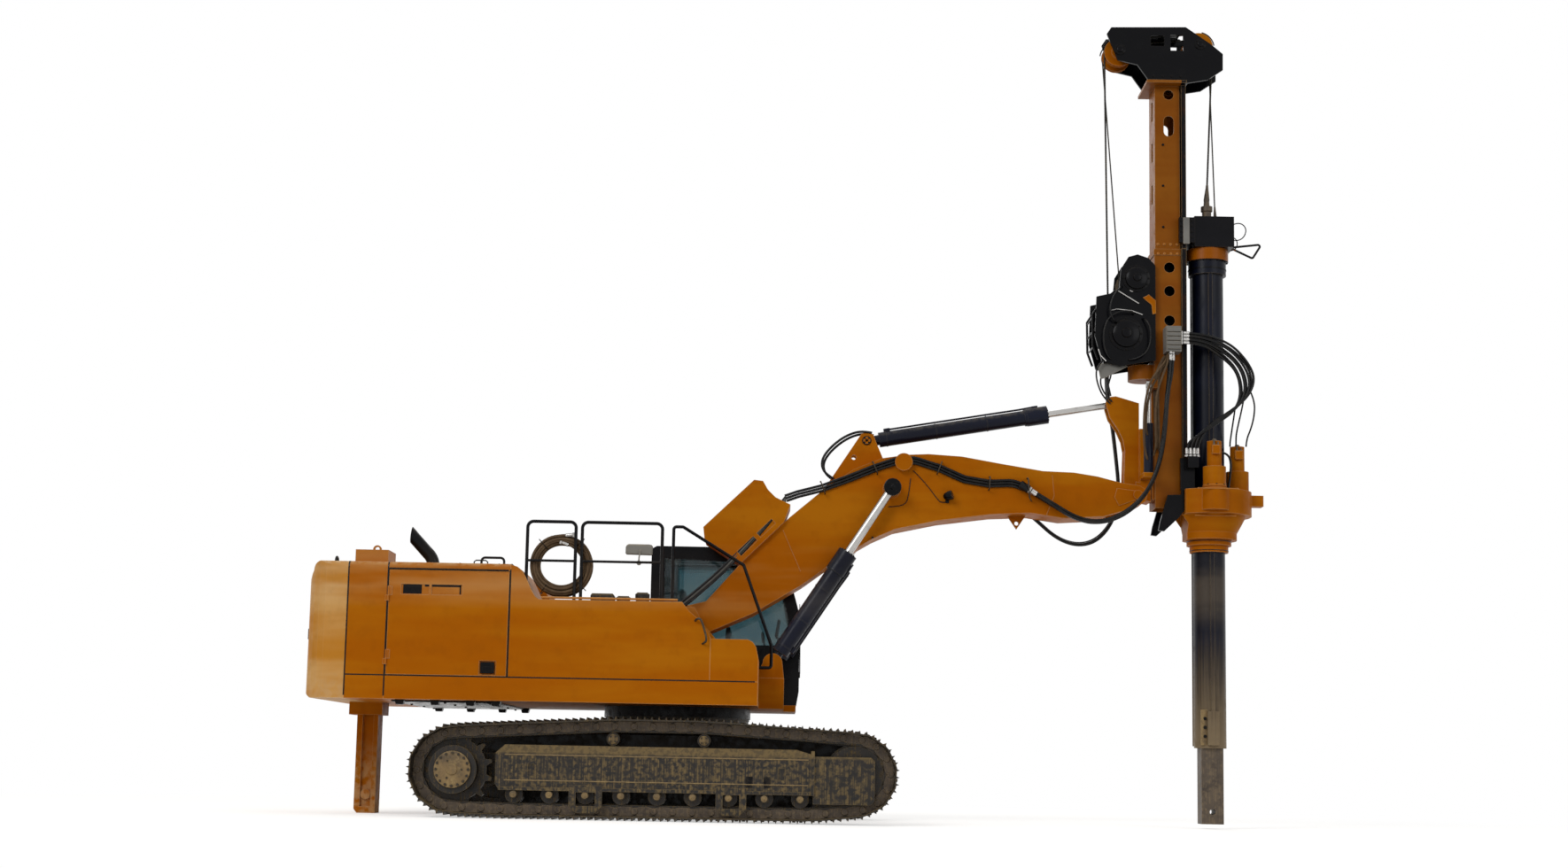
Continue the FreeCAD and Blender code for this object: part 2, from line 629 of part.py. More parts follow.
def door_knuckles(x, y, heights):
    """Hinge knuckles on a door's edge; they turn about the line x, y."""
    out = []
    for z in heights:
        out.append(disc_z(x, y, z, z + KNUCKLE_H, KNUCKLE_R))
        out.append(box(x, x + 34.0, y - KNUCKLE_R, y - 2.0, z, z + KNUCKLE_H))
    return out


def fixed_knuckles(x, y, heights):
    """Knuckles on the door post, just below the door's."""
    out = []
    for z in heights:
        out.append(disc_z(x, y, z - 60.0, z - SEAT_GAP, KNUCKLE_R))
        out.append(box(x - 34.0, x, y - KNUCKLE_R, y - 2.0, z - 60.0, z - SEAT_GAP))
    return out


HOOD_HINGES = (DOOR_Z0 + 160.0, DOOR_Z1 - 260.0)


def engine_hood():
    """Roof and two bulkheads: the sides are closed by the service doors."""
    shell = roof_rounded(box(SEAM2_X, SEAM3_X, -HALF_W, HALF_W, SKIRT_Z, HOOD_Z))
    room = box(SEAM2_X + PANEL, SEAM3_X - PANEL, -HALF_W + PANEL, HALF_W - PANEL, SKIRT_Z - 1.0,
               HOOD_Z - PANEL)
    doors = pair(box(DOOR_X0 - MOVE_GAP, DOOR_X1 + MOVE_GAP, HALF_W - PANEL - SEAT_GAP, HALF_W + 20.0,
                     SKIRT_Z - 1.0, DOOR_Z1 + MOVE_GAP))
    sill = pair(box(DOOR_X0, DOOR_X1, HALF_W - PANEL - 40.0, HALF_W - PANEL - SEAT_GAP,
                    SKIRT_Z, SKIRT_Z + 60.0))
    hinges = [pair(part) for part in fixed_knuckles(DOOR_X0, HALF_W + KNUCKLE_R, HOOD_HINGES)]
    return fused(cut(shell, room, *doors), *sill, *[one for two in hinges for one in two])


def hood_door(y_sign):
    door = box(DOOR_X0, DOOR_X1, HALF_W - PANEL, HALF_W, DOOR_Z0, DOOR_Z1)
    deep = HALF_W - 12.0
    if y_sign > 0:
        rows = int((DOOR_Z1 - DOOR_Z0 - 300.0) / LOUVRE_PITCH)
        recesses = [box(DOOR_X0 + 170.0, DOOR_X1 - 170.0, deep, HALF_W + 1.0, z, z + LOUVRE_PITCH * 0.45)
                    for z in [DOOR_Z0 + 180.0 + i * LOUVRE_PITCH for i in range(rows)]]
    else:
        grip = box(DOOR_X0 + 124.0, DOOR_X0 + 750.0, deep, HALF_W + 1.0, DOOR_Z1 - 251.0, DOOR_Z1 - 146.0)
        bar = box(DOOR_X0 + 410.0, DOOR_X0 + 434.0, deep, HALF_W + 1.0, DOOR_Z1 - 251.0, DOOR_Z1 - 146.0)
        latch = box(DOOR_X1 - 275.0, DOOR_X1 - 108.0, deep, HALF_W + 1.0, DOOR_Z0 + 12.0, DOOR_Z0 + 152.0)
        recesses = [cut(grip, bar), latch]
    door = cut(door, *recesses)
    door = fused(door, *door_knuckles(DOOR_X0, HALF_W + KNUCKLE_R, HOOD_HINGES))
    return door if y_sign > 0 else mirrored(door)


def engine_block():
    return box(-2700.0, -1900.0, -540.0, 540.0, FLOOR_Z, 2150.0)


def exhaust():
    """Bent tail pipe with a slanting mouth, on a flange."""
    x = EXHAUST_X
    run = [(x, 0.0, HOOD_Z - 20.0), (x - 10.0, 0.0, HOOD_Z + 170.0), (x - 300.0, 0.0, HOOD_Z + 480.0)]
    pipe = cut(tube(run, EXHAUST_R, 180.0), tube(run, EXHAUST_R - 5.0, 180.0))
    mouth = plate_y([(x - 400.0, HOOD_Z + 150.0), (x - 148.0, HOOD_Z + 150.0), (x - 265.0, HOOD_Z + 330.0),
                     (x - 235.0, HOOD_Z + 600.0), (x - 400.0, HOOD_Z + 600.0)], -200.0, 200.0)
    foot = cut(disc_z(x, 0, HOOD_Z, HOOD_Z + 16.0, EXHAUST_R + 44.0),
               disc_z(x, 0, HOOD_Z - 1.0, HOOD_Z + 17.0, EXHAUST_R))
    below = box(x - 200.0, x + 200.0, -200.0, 200.0, HOOD_Z - 100.0, HOOD_Z)
    return cut(fused(pipe, foot), mouth, below)


def tank_body():
    """Fuel and oil tanks with the walkway on top, behind a swept front of the hood."""
    outline = [
        (SEAM3_X, SKIRT_Z), (SEAM3_X, HOOD_Z - 12.0), (-1600.0, HOOD_Z - 30.0), (-1544.0, 2492.0),
        (-1496.0, 2403.0), (-1448.0, WALK_Z + 92.0), (-1410.0, WALK_Z + 28.0), (WALK_X0, WALK_Z),
        (WALK_X1, WALK_Z),
        (161.0, 2119.0), (271.0, 2031.0), (365.0, 1898.0), (TOOLBOX_X, TOOLBOX_Z), (TOOLBOX_X, SKIRT_Z),
    ]
    body = plate_y(outline, -HALF_W, -WELL_HALF_Y)
    hollow = box(SEAM3_X + 60.0, WALK_X1 - 20.0, -HALF_W + 60.0, -WELL_HALF_Y - 60.0,
                 SKIRT_Z + 40.0, WALK_Z - 60.0)
    return cut(body, hollow)


def front_toolbox():
    x0 = TOOLBOX_X
    outline = [
        (x0, SKIRT_Z), (x0, TOOLBOX_Z), (FRONT_X - 110.0, TOOLBOX_Z), (FRONT_X - 60.0, TOOLBOX_Z - 25.0),
        (FRONT_X - 25.0, TOOLBOX_Z - 75.0), (FRONT_X, TOOLBOX_Z - 190.0), (FRONT_X, SKIRT_Z),
    ]
    body = plate_y(outline, -HALF_W, -WELL_HALF_Y)
    hollow = box(x0 + 40.0, FRONT_X - 60.0, -HALF_W + 40.0, -WELL_HALF_Y - 40.0,
                 SKIRT_Z + 40.0, TOOLBOX_Z - 90.0)
    return cut(body, hollow)


def left_side_body():
    """Filter and battery housing behind the cab."""
    x1 = CAB_X0 - 40.0
    outline = [
        (SEAM3_X, SKIRT_Z), (SEAM3_X, HOOD_Z - 12.0), (-1600.0, HOOD_Z - 30.0), (-1544.0, 2492.0),
        (-1496.0, 2403.0), (-1448.0, WALK_Z + 92.0), (-1410.0, WALK_Z + 28.0), (WALK_X0, WALK_Z),
        (x1, WALK_Z), (x1, SKIRT_Z),
    ]
    body = plate_y(outline, WELL_HALF_Y, HALF_W)
    hollow = box(SEAM3_X + 60.0, x1 - 60.0, WELL_HALF_Y + 60.0, HALF_W - 60.0, SKIRT_Z + 40.0, WALK_Z - 60.0)
    return cut(body, hollow)


RAIL_TUBE_R = 17.0
RAIL_Y = -1420.0
HANK_X = -1165.0
HANK_R = 290.0
HANK_SECTION_R = 70.0


def handrails():
    """Guard rails on the walkway and a long rail down to the front step."""
    top = 3015.0
    first = tube([(-1515.0, RAIL_Y, 2380.0), (-1515.0, RAIL_Y, top), (-1020.0, RAIL_Y, top),
                  (-1020.0, RAIL_Y, WALK_Z)], RAIL_TUBE_R, 60.0)
    second = tube([(-955.0, RAIL_Y, WALK_Z), (-955.0, RAIL_Y, top), (-135.0, RAIL_Y, top),
                   (-135.0, RAIL_Y, WALK_Z)], RAIL_TUBE_R, 60.0)
    inner_y = -WELL_HALF_Y - 60.0
    third = tube([(-60.0, inner_y, WALK_Z), (-60.0, inner_y, top + 60.0), (40.0, inner_y, top + 60.0),
                  (690.0, inner_y, 2680.0), (1000.0, inner_y, 1830.0), (1000.0, inner_y, 1600.0),
                  (FRONT_X, inner_y, 1600.0)], RAIL_TUBE_R, 30.0)
    mid_z = (WALK_Z + top) / 2.0
    knee = [disc_x(RAIL_Y, mid_z, x0, x1, RAIL_TUBE_R - 4.0)
            for x0, x1 in ((-1515.0, -1020.0), (-955.0, -135.0))]
    grip = tube([(-2090.0, -600.0, HOOD_Z), (-2090.0, -600.0, HOOD_Z + 140.0), (-1850.0, -600.0, HOOD_Z + 140.0),
                 (-1850.0, -600.0, HOOD_Z)], 13.0, 40.0)
    return [cut(fused(first, knee[0]), tank_body()), fused(second, knee[1]), third, grip]


def hose_hank():
    """Coiled hose that stands on the walkway and leans on the rails."""
    reach = HANK_R + HANK_SECTION_R
    ring = Part.makeTorus(HANK_R, HANK_SECTION_R, V(0, 0, 0), ALONG_Y)
    ring.translate(V(HANK_X, RAIL_Y + RAIL_TUBE_R + HANK_SECTION_R + SEAT_GAP, WALK_Z + reach + SEAT_GAP))
    return ring


# ---------------------------------------------------------------- cab
CAB_DOOR_X0 = CAB_X0 + 206.0
CAB_HINGES = (CAB_Z0 + 206.0, CAB_Z1 - 420.0)


def cab_outline(inset=0.0):
    """Side view of the cab, drawn in by the given amount all round."""
    x0, x1 = CAB_X0 + inset, CAB_X1 - inset
    z0, z1 = CAB_Z0 + inset, CAB_Z1 - inset
    return [
        (x0, z0), (x1 - 25.0, z0), (x1, z0 + 150.0), (x1, 2100.0), (x1 - 20.0, 2300.0),
        (x1 - 140.0, 2729.0), (x1 - 225.0, z1 - 82.0), (x1 - 405.0, z1), (x0 + 56.0, z1), (x0, z1 - 32.0),
    ]


def door_outline(gap=0.0):
    """Side view of the cab door; a positive gap makes the opening round it."""
    x1 = CAB_X1 - 65.0
    return [
        (CAB_DOOR_X0 - gap, CAB_Z0 + 66.0 - gap), (x1 + gap, CAB_Z0 + 66.0 - gap), (x1 + gap, 2100.0),
        (x1 - 15.0 + gap, 2290.0), (x1 - 110.0 + gap, 2650.0 + gap), (x1 - 190.0, 2800.0 + gap),
        (x1 - 340.0, CAB_Z1 - 112.0 + gap), (CAB_DOOR_X0 - gap, CAB_Z1 - 112.0 + gap),
    ]


def windows():
    """Openings of the fixed windows, as blocks that cut through one wall each."""
    ymid0, ymid1 = CAB_Y0 + 70.0, CAB_Y1 - 70.0
    right = plate_y([(CAB_X0 + 150.0, 1900.0), (CAB_X1 - 130.0, 1900.0), (CAB_X1 - 130.0, 2200.0),
                     (CAB_X1 - 270.0, 2790.0), (CAB_X0 + 150.0, 2850.0)], CAB_Y0 - 1.0, CAB_Y0 + CAB_WALL + 1.0)
    front = box(CAB_X1 - 300.0, CAB_X1 + 1.0, ymid0, ymid1, 1800.0, 2800.0)
    lower = box(CAB_X1 - 100.0, CAB_X1 + 1.0, ymid0, ymid1, 1430.0, 1740.0)
    rear = box(CAB_X0 - 1.0, CAB_X0 + CAB_WALL + 1.0, ymid0, ymid1, 2050.0, 2830.0)
    roof = box(CAB_X0 + 500.0, CAB_X1 - 520.0, ymid0 + 60.0, ymid1 - 60.0,
               CAB_Z1 - CAB_WALL - 1.0, CAB_Z1 + 1.0)
    return {"right": right, "front": front, "lower": lower, "rear": rear, "roof": roof}


def cab_shell():
    outer = plate_y(cab_outline(), CAB_Y0, CAB_Y1)
    inner = plate_y(cab_outline(CAB_WALL), CAB_Y0 + CAB_WALL, CAB_Y1 - CAB_WALL)
    doorway = plate_y(door_outline(MOVE_GAP), CAB_Y1 - CAB_WALL - 1.0, CAB_Y1 + 1.0)
    hinges = fixed_knuckles(CAB_DOOR_X0, CAB_Y1 + KNUCKLE_R, CAB_HINGES)
    return fused(cut(outer, inner, doorway, *windows().values()), *hinges)


def cab_glass():
    """Panes that fill the fixed windows, in the middle of the wall."""
    deep = (CAB_WALL - CAB_GLASS) / 2.0
    outer = plate_y(cab_outline(deep), CAB_Y0 + deep, CAB_Y1 - deep)
    inner = plate_y(cab_outline(deep + CAB_GLASS), CAB_Y0 + deep + CAB_GLASS, CAB_Y1 - deep - CAB_GLASS)
    skin = cut(outer, inner)
    return [skin.common(block) for block in windows().values()]


def door_window():
    x1 = CAB_X1 - 65.0
    return plate_y([(CAB_X0 + 266.0, 1720.0), (x1 - 60.0, 1720.0), (x1 - 60.0, 2110.0), (x1 - 160.0, 2640.0),
                    (x1 - 360.0, CAB_Z1 - 172.0), (CAB_X0 + 266.0, CAB_Z1 - 172.0)],
                   CAB_Y1 - CAB_WALL - 1.0, CAB_Y1 + 1.0)


def cab_door():
    panel = plate_y(door_outline(), CAB_Y1 - CAB_WALL, CAB_Y1)
    knuckles = door_knuckles(CAB_DOOR_X0, CAB_Y1 + KNUCKLE_R, CAB_HINGES)
    handle = box(CAB_X1 - 190.0, CAB_X1 - 110.0, CAB_Y1, CAB_Y1 + 30.0, 1640.0, 1680.0)
    return fused(cut(panel, door_window()), *knuckles, handle)


def cab_door_glass():
    deep = (CAB_WALL - CAB_GLASS) / 2.0
    slab = box(CAB_X0, CAB_X1, CAB_Y1 - deep - CAB_GLASS, CAB_Y1 - deep, CAB_Z0, CAB_Z1)
    return slab.common(door_window())


def operator_seat():
    """Seat on its pedestal between two armrest consoles."""
    floor = CAB_Z0 + CAB_WALL
    mid = (CAB_Y0 + CAB_Y1) / 2.0
    reach = (CAB_Y1 - CAB_Y0) / 2.0 - CAB_WALL - 55.0
    seat_half = reach - 140.0
    pedestal = box(60.0, 460.0, mid - seat_half + 50.0, mid + seat_half - 50.0, floor, floor + 300.0)
    cushion = box(20.0, 520.0, mid - seat_half, mid + seat_half, floor + 300.0, floor + 420.0)
    back = plate_y([(20.0, floor + 400.0), (140.0, floor + 420.0), (40.0, floor + 1080.0),
                    (-60.0, floor + 1080.0)], mid - seat_half + 10.0, mid + seat_half - 10.0)
    consoles = [box(100.0, 620.0, mid + s * (reach - 60.0) - 60.0, mid + s * (reach - 60.0) + 60.0,
                    floor, floor + 560.0) for s in (-1, 1)]
    return [fused(pedestal, cushion, back)] + consoles


# ---------------------------------------------------------------- boom
def boom_outline():
    return [
        (230.0, 2255.0), (620.0, 2700.0), (1165.0, 3240.0), (1550.0, 3570.0), (1850.0, 3780.0),
        (2150.0, 3905.0), (2430.0, 3950.0), (2660.0, 3962.0), (3020.0, 3942.0), (3450.0, 3870.0),
        (3900.0, 3800.0), (4235.0, 3790.0), (4490.0, 3752.0), (4740.0, 3690.0), (4950.0, 3662.0),
        (5010.0, 3625.0), (5030.0, 3559.0), (5010.0, 3490.0), (4950.0, 3452.0), (4800.0, 3390.0),
        (4560.0, 3318.0), (4120.0, 3290.0), (3770.0, 3340.0), (3348.0, 3318.0), (2776.0, 3240.0),
        (2300.0, 3135.0), (2063.0, 3025.0), (1733.0, 2827.0), (1310.0, 2513.0), (794.0, 2199.0),
        (325.0, 1990.0), (150.0, 2000.0),
    ]


HOSE_CAP = (2389.0, 3862.0)


def boom():
    """Welded box with a foot tube, the tilt cylinder's bracket and a fork at the tip."""
    outline = boom_outline()
    body = plate_y(outline, -BOOM_HALF_Y, BOOM_HALF_Y)
    fx, fz = BOOM_FOOT
    tx, tz = BOOM_TIP
    foot = fused(
        disc_y(fx, fz, -BOOM_FOOT_HALF_Y, BOOM_FOOT_HALF_Y, 135.0),
        plate_y([(fx - 40.0, fz - 130.0), (330.0, 1990.0), (330.0, 2330.0), (fx - 60.0, fz + 120.0)],
                -BOOM_HALF_Y, BOOM_HALF_Y))
    lx, lz = LIFT_ROD_PIN
    bosses = pair(disc_y(lx, lz, BOOM_HALF_Y - 5.0, LIFT_Y - LIFT_EYE_HALF - MOVE_GAP, 95.0))
    bx, bz = TILT_BASE
    bracket = [
        (1500.0, 3520.0), (bx - 100.0, bz + 10.0), (bx - 60.0, bz + 75.0), (bx, bz + 95.0),
        (bx + 70.0, bz + 70.0), (bx + 105.0, bz - 20.0), (bx + 190.0, 3900.0), (bx + 100.0, 3800.0),
    ]
    ears = pair(cut(plate_y(bracket, 66.0, 106.0), disc_y(1855.0, 3931.0, 65.0, 107.0, 27.0)))
    cap_x, cap_z = HOSE_CAP
    cap = fused(disc_y(cap_x, cap_z, -BOOM_HALF_Y - 74.0, -BOOM_HALF_Y - 58.0, 95.0),
                disc_y(cap_x, cap_z - 66.0, -BOOM_HALF_Y - 74.0, -BOOM_HALF_Y + 5.0, 24.0))
    eye = plate_y([(3530.0, 3345.0), (3640.0, 3184.0), (3750.0, 3352.0)], -15.0, 15.0)
    eye = cut(eye, disc_y(3640.0, 3250.0, -16.0, 16.0, 22.0))
    whole = fused(body, foot, *bosses, *ears, eye, cap)
    inside = Part.Face(Part.makePolygon([V(x, 0, z) for x, z in outline + outline[:1]]))
    inside = inside.makeOffset2D(-BOOM_PLATE).extrude(V(0, 2.0 * (BOOM_HALF_Y - BOOM_PLATE), 0))
    inside.translate(V(0, -(BOOM_HALF_Y - BOOM_PLATE), 0))
    core = box(420.0, 4560.0, -BOOM_HALF_Y, BOOM_HALF_Y, 1900.0, 4000.0)
    fork = box(4600.0, 5200.0, -FORK_HALF_Y, FORK_HALF_Y, 3100.0, 3900.0)
    bore = disc_y(fx, fz, -BOOM_FOOT_HALF_Y - 1.0, BOOM_FOOT_HALF_Y + 1.0, BOOM_PIN_R + PIN_GAP)
    whole = cut(whole, inside.common(core), fork, bore)
    pins = [disc_y(tx, tz, -BOOM_HALF_Y - 30.0, BOOM_HALF_Y + 30.0, 50.0),
            disc_y(bx, bz, -125.0, 125.0, 38.0)]
    return fused(whole, *pins)


GUARD_X0 = 650.0
GUARD_X1 = 1108.0
GUARD_HALF_Y = 300.0


def boom_guard():
    """Folded cover over the valve block on the boom's back, with two long slots in each side."""
    (xa, za), (xb, zb) = boom_outline()[1:3]
    slope = (zb - za) / (xb - xa)
    foot = [(x, za + slope * (x - xa)) for x in (GUARD_X0, GUARD_X1)]
    outline = [foot[0], (541.0, 2797.0), (256.0, 2980.0), (240.0, 3115.0), (777.0, 3638.0), (873.0, 3627.0),
               (928.0, 3533.0), (1010.0, 3453.0), (1173.0, 3376.0), foot[1]]
    cover = plate_y(outline, -GUARD_HALF_Y, GUARD_HALF_Y)
    ux, uz = [v / math.hypot(1.0, slope) for v in (1.0, slope)]
    slots = []
    for start, end in ((60.0, 300.0), (350.0, 570.0)):
        corners = [(foot[0][0] + ux * a - uz * b, foot[0][1] + uz * a + ux * b)
                   for a, b in ((start, 55.0), (end, 55.0), (end, 118.0), (start, 118.0))]
        slots += pair(plate_y(corners, GUARD_HALF_Y - 14.0, GUARD_HALF_Y + 1.0))
    return cut(cover, *slots)


# ---------------------------------------------------------------- hoses
HOSE_R = 14.0               # one clamped hose
HOSE_STEP = 30.0            # between neighbours in the clamped bundle
BUNDLE_R = 40.0             # a free-hanging bundle in its sleeve
GLAND_R = 44.7
HOSE_Y = BOOM_HALF_Y + GLAND_R + SEAT_GAP


def clamped_route():
    """Side view of the bundle along the boom's right side, from the guard to the gland."""
    return [(1120.0, 3445.6), (1251.0, 3494.0), (1518.0, 3567.0), (1812.0, 3681.0), (2079.0, 3794.0),
            (2319.0, 3880.0), (2507.0, 3890.0), (2777.0, 3808.0), (3047.0, 3691.0), (3316.0, 3650.0),
            (3575.0, 3662.0), (3700.0, 3614.0)]


def beside(points, offset):
    """The same line, moved sideways in its own plane."""
    out = []
    for i, (x, z) in enumerate(points):
        xa, za = points[max(i - 1, 0)]
        xb, zb = points[min(i + 1, len(points) - 1)]
        length = math.hypot(xb - xa, zb - za)
        out.append((x - (zb - za) / length * offset, z + (xb - xa) / length * offset))
    return out


def boom_hoses():
    """Three hoses clamped along the boom, and the glands where the free bundles start."""
    y = -BOOM_HALF_Y - HOSE_R - 3.0
    route = clamped_route()
    hoses = []
    for k in (-1, 0, 1):
        line = [(x, y, z) for x, z in beside(route, k * HOSE_STEP)]
        hoses.append(tube(line, HOSE_R, 260.0))
    glands = []
    for points in (mast_feed_route(), winch_feed_route()):
        end = V(*points[0])
        way = (V(*points[1]) - end).normalize()
        glands.append(Part.makeCylinder(GLAND_R, 110.0, end - way * 110.0, way))
    near = fused(glands[0], *hoses)
    return [near, glands[1]]


def mast_feed_route():
    """Free bundle from the boom's right side, hanging in a bight, up to the valve block on the mast."""
    return [(3742.0, -HOSE_Y, 3590.0), (3992.0, -HOSE_Y, 3440.0), (4260.0, -370.0, 3262.0),
            (4520.0, -425.0, 3226.0), (4800.0, -440.0, 3350.0), (5010.0, -445.0, 3580.0),
            (5140.0, -445.0, 3880.0), (5200.0, -445.0, 4250.0), (5225.0, -430.0, 4640.0),
            (5290.0, -365.0, 4920.0), (5290.0, -365.0, BLOCK_Z0 - SEAT_GAP)]


def winch_feed_route():
    """Free bundle from the boom's left side, below the boom's tip, up to the winch."""
    return [(3600.0, HOSE_Y, 3560.0), (3850.0, HOSE_Y, 3360.0), (4110.0, 300.0, 3125.0),
            (4352.0, 300.0, 3045.0), (4570.0, 300.0, 3105.0), (4745.0, 300.0, 3330.0),
            (4812.0, 300.0, 3650.0), (4770.0, 300.0, 4080.0), (4725.0, 285.0, 4430.0),
            (4650.0, 150.0, 4720.0), (4650.0, 150.0, WINCH_FLOOR_Z - SEAT_GAP)]


def rotary_feed_route():
    """Free bundle from the valve block, out past the drill rod and back to the rotary's carriage."""
    return [(BLOCK_X1 + SEAT_GAP, -340.0, 5280.0), (5590.0, -340.0, 5280.0), (5840.0, -358.0, 5170.0),
            (6035.0, -368.0, 4985.0), (6105.0, -372.0, 4760.0), (6035.0, -370.0, 4560.0),
            (5830.0, -364.0, 4400.0), (5610.0, -352.0, 4260.0), (5500.0, -340.0, 4110.0),
            (5500.0, -340.0, CARRIAGE_TOP_Z + SEAT_GAP)]


def free_bundle(name, route):
    """A round bundle along straight runs, each corner turned with as large an arc as the runs allow."""
    pts = [V(*p) for p in route]
    edges = []
    radii = []
    length = 0.0
    start = pts[0]
    for before, corner, after in zip(pts, pts[1:], pts[2:]):
        a = (before - corner).normalize()
        b = (after - corner).normalize()
        half = a.getAngle(b) / 2.0
        reach = 0.45 * min((before - corner).Length, (after - corner).Length)
        bend = reach * math.tan(half)
        p1 = corner + a * reach
        p3 = corner + b * reach
        middle = (a + b).normalize()
        p2 = corner + middle * (bend / math.sin(half) - bend)
        edges += [Part.LineSegment(start, p1).toShape(), Part.Arc(p1, p2, p3).toShape()]
        length += (p1 - start).Length + edges[-1].Length
        radii.append(round(bend))
        start = p3
    edges.append(Part.LineSegment(start, pts[-1]).toShape())
    length += (pts[-1] - start).Length
    path = Part.Wire(edges)
    ring = Part.Wire(Part.makeCircle(BUNDLE_R, pts[0], (pts[1] - pts[0]).normalize()))
    bundle = path.makePipeShell([ring], True, False)
    share = bundle.Volume / (math.pi * BUNDLE_R ** 2 * length)
    print("%s: length %.0f, bend radii %s, volume / (section x length) %.4f" % (name, length, radii, share))
    return bundle


def cylinder_barrel(base, rod_pin, length, radius, eye_half, gland):
    """Barrel from its base eye toward the rod pin, on the plane Y = 0."""
    start = V(base[0], 0, base[1])
    way = (V(rod_pin[0], 0, rod_pin[1]) - start).normalize()
    barrel = Part.makeCylinder(radius, length - BARREL_FOOT, start + way * BARREL_FOOT, way)
    head = Part.makeCylinder(radius + 16.0, gland, start + way * (length - gland), way)
    neck = Part.makeCylinder(eye_half - 4.0, BARREL_FOOT, start, way)
    eye = disc_y(base[0], base[1], -eye_half, eye_half, radius * 0.92)
    return fused(barrel, head, neck, eye)


def cylinder_rod(base, rod_pin, barrel, radius, eye_half, eye_r, inside):
    """Piston rod from inside the barrel to the eye at the rod pin, on the plane Y = 0."""
    start = V(base[0], 0, base[1])
    end = V(rod_pin[0], 0, rod_pin[1])
    way = (end - start).normalize()
    begin = start + way * (barrel - inside)
    bar = Part.makeCylinder(radius, (end - begin).Length - eye_r * 0.5, begin, way)
    eye = disc_y(rod_pin[0], rod_pin[1], -eye_half, eye_half, eye_r)
    return fused(bar, eye)


ROD_INSIDE = 300.0
BARREL_FOOT = 140.0         # base pin to the barrel's bottom, clear of the ears round the pin


def rod_bore(base, rod_pin, barrel, radius):
    start = V(base[0], 0, base[1])
    way = (V(rod_pin[0], 0, rod_pin[1]) - start).normalize()
    return Part.makeCylinder(radius + PIN_GAP, barrel, start + way * 190.0, way)


def lift_barrels():
    barrel = cylinder_barrel(LIFT_BASE, LIFT_ROD_PIN, LIFT_BARREL_LEN, LIFT_BARREL_R, LIFT_EYE_HALF, 250.0)
    barrel = cut(barrel, rod_bore(LIFT_BASE, LIFT_ROD_PIN, LIFT_BARREL_LEN, LIFT_ROD_R),
                 disc_y(LIFT_BASE[0], LIFT_BASE[1], -60.0, 60.0, 45.0 + PIN_GAP))
    barrel.translate(V(0, LIFT_Y, 0))
    return pair(barrel)


def lift_rods():
    rod = cylinder_rod(LIFT_BASE, LIFT_ROD_PIN, LIFT_BARREL_LEN, LIFT_ROD_R, LIFT_EYE_HALF, 92.0, ROD_INSIDE)
    cap = disc_y(LIFT_ROD_PIN[0], LIFT_ROD_PIN[1], LIFT_EYE_HALF, LIFT_EYE_HALF + 26.0, 70.0)
    rod = fused(rod, cap)
    rod.translate(V(0, LIFT_Y, 0))
    return pair(rod)


def tilt_barrel():
    barrel = cylinder_barrel(TILT_BASE, TILT_ROD_PIN, TILT_BARREL_LEN, TILT_BARREL_R, 60.0, 230.0)
    return cut(barrel, rod_bore(TILT_BASE, TILT_ROD_PIN, TILT_BARREL_LEN, TILT_ROD_R),
               disc_y(TILT_BASE[0], TILT_BASE[1], -61.0, 61.0, 38.0 + PIN_GAP))


def tilt_rod():
    return cylinder_rod(TILT_BASE, TILT_ROD_PIN, TILT_BARREL_LEN, TILT_ROD_R, 50.0, 62.0, ROD_INSIDE)


# ---------------------------------------------------------------- cradle
CRADLE_IN = 62.0
CRADLE_OUT = 100.0
PIVOT_R = 90.0
SIDE_TILT_X = 5030.0
SIDE_TILT_Y = -330.0


def cradle():
    """Carrier of the mast: a boss in the boom's fork, two cheeks and a pivot block."""
    tx, tz = BOOM_TIP
    rx, rz = TILT_ROD_PIN
    cheek = [
        (rx - 75.0, rz - 60.0), (rx - 90.0, rz + 10.0), (rx - 40.0, rz + 70.0), (rx + 20.0, rz + 78.0),
        (4966.0, 4591.0), (4966.0, tz + 150.0), (tx + 40.0, tz - 60.0), (tx - 80.0, tz - 60.0),
        (4800.0, 3720.0), (4812.0, 4060.0), (4790.0, 4180.0), (4740.0, 4290.0), (4650.0, 4420.0),
    ]
    cheeks = pair(plate_y(cheek, CRADLE_IN, CRADLE_OUT))
    boss = disc_y(tx, tz, -FORK_HALF_Y + MOVE_GAP, FORK_HALF_Y - MOVE_GAP, 105.0)
    back = box(4930.0, 4966.0, -CRADLE_IN, CRADLE_IN, 3720.0, 4450.0)
    front_edge = [(4812.0, 3740.0), (4832.0, 3740.0), (4832.0, 4070.0), (4812.0, 4070.0)]
    web = plate_y(front_edge, -CRADLE_IN, CRADLE_IN)
    block = box(4966.0, SADDLE_X - MOVE_GAP, -150.0, 150.0, 3640.0, 4300.0)
    toe = plate_y([(tx, tz + 60.0), (tx + 60.0, tz - 40.0), (SADDLE_X - MOVE_GAP, 3500.0),
                   (SADDLE_X - MOVE_GAP, 3660.0), (tx, 3720.0)], -150.0, 150.0)
    toe = cut(toe, disc_y(tx, tz, -151.0, 151.0, 104.0))
    shelf = box(4966.0, SADDLE_X - MOVE_GAP, SIDE_TILT_Y - 60.0, -140.0, 3740.0, 3790.0)
    whole = fused(*cheeks, boss, back, web, block, toe, shelf)
    return cut(whole, disc_y(tx, tz, -200.0, 200.0, 50.0 + PIN_GAP),
               disc_x(0, SIDE_PIVOT_Z, 4960.0, SADDLE_X, PIVOT_R + PIN_GAP))


SIDE_BARREL_Z0 = 3790.0
SIDE_BARREL_Z1 = 4330.0
SIDE_EYE_Z = 4760.0


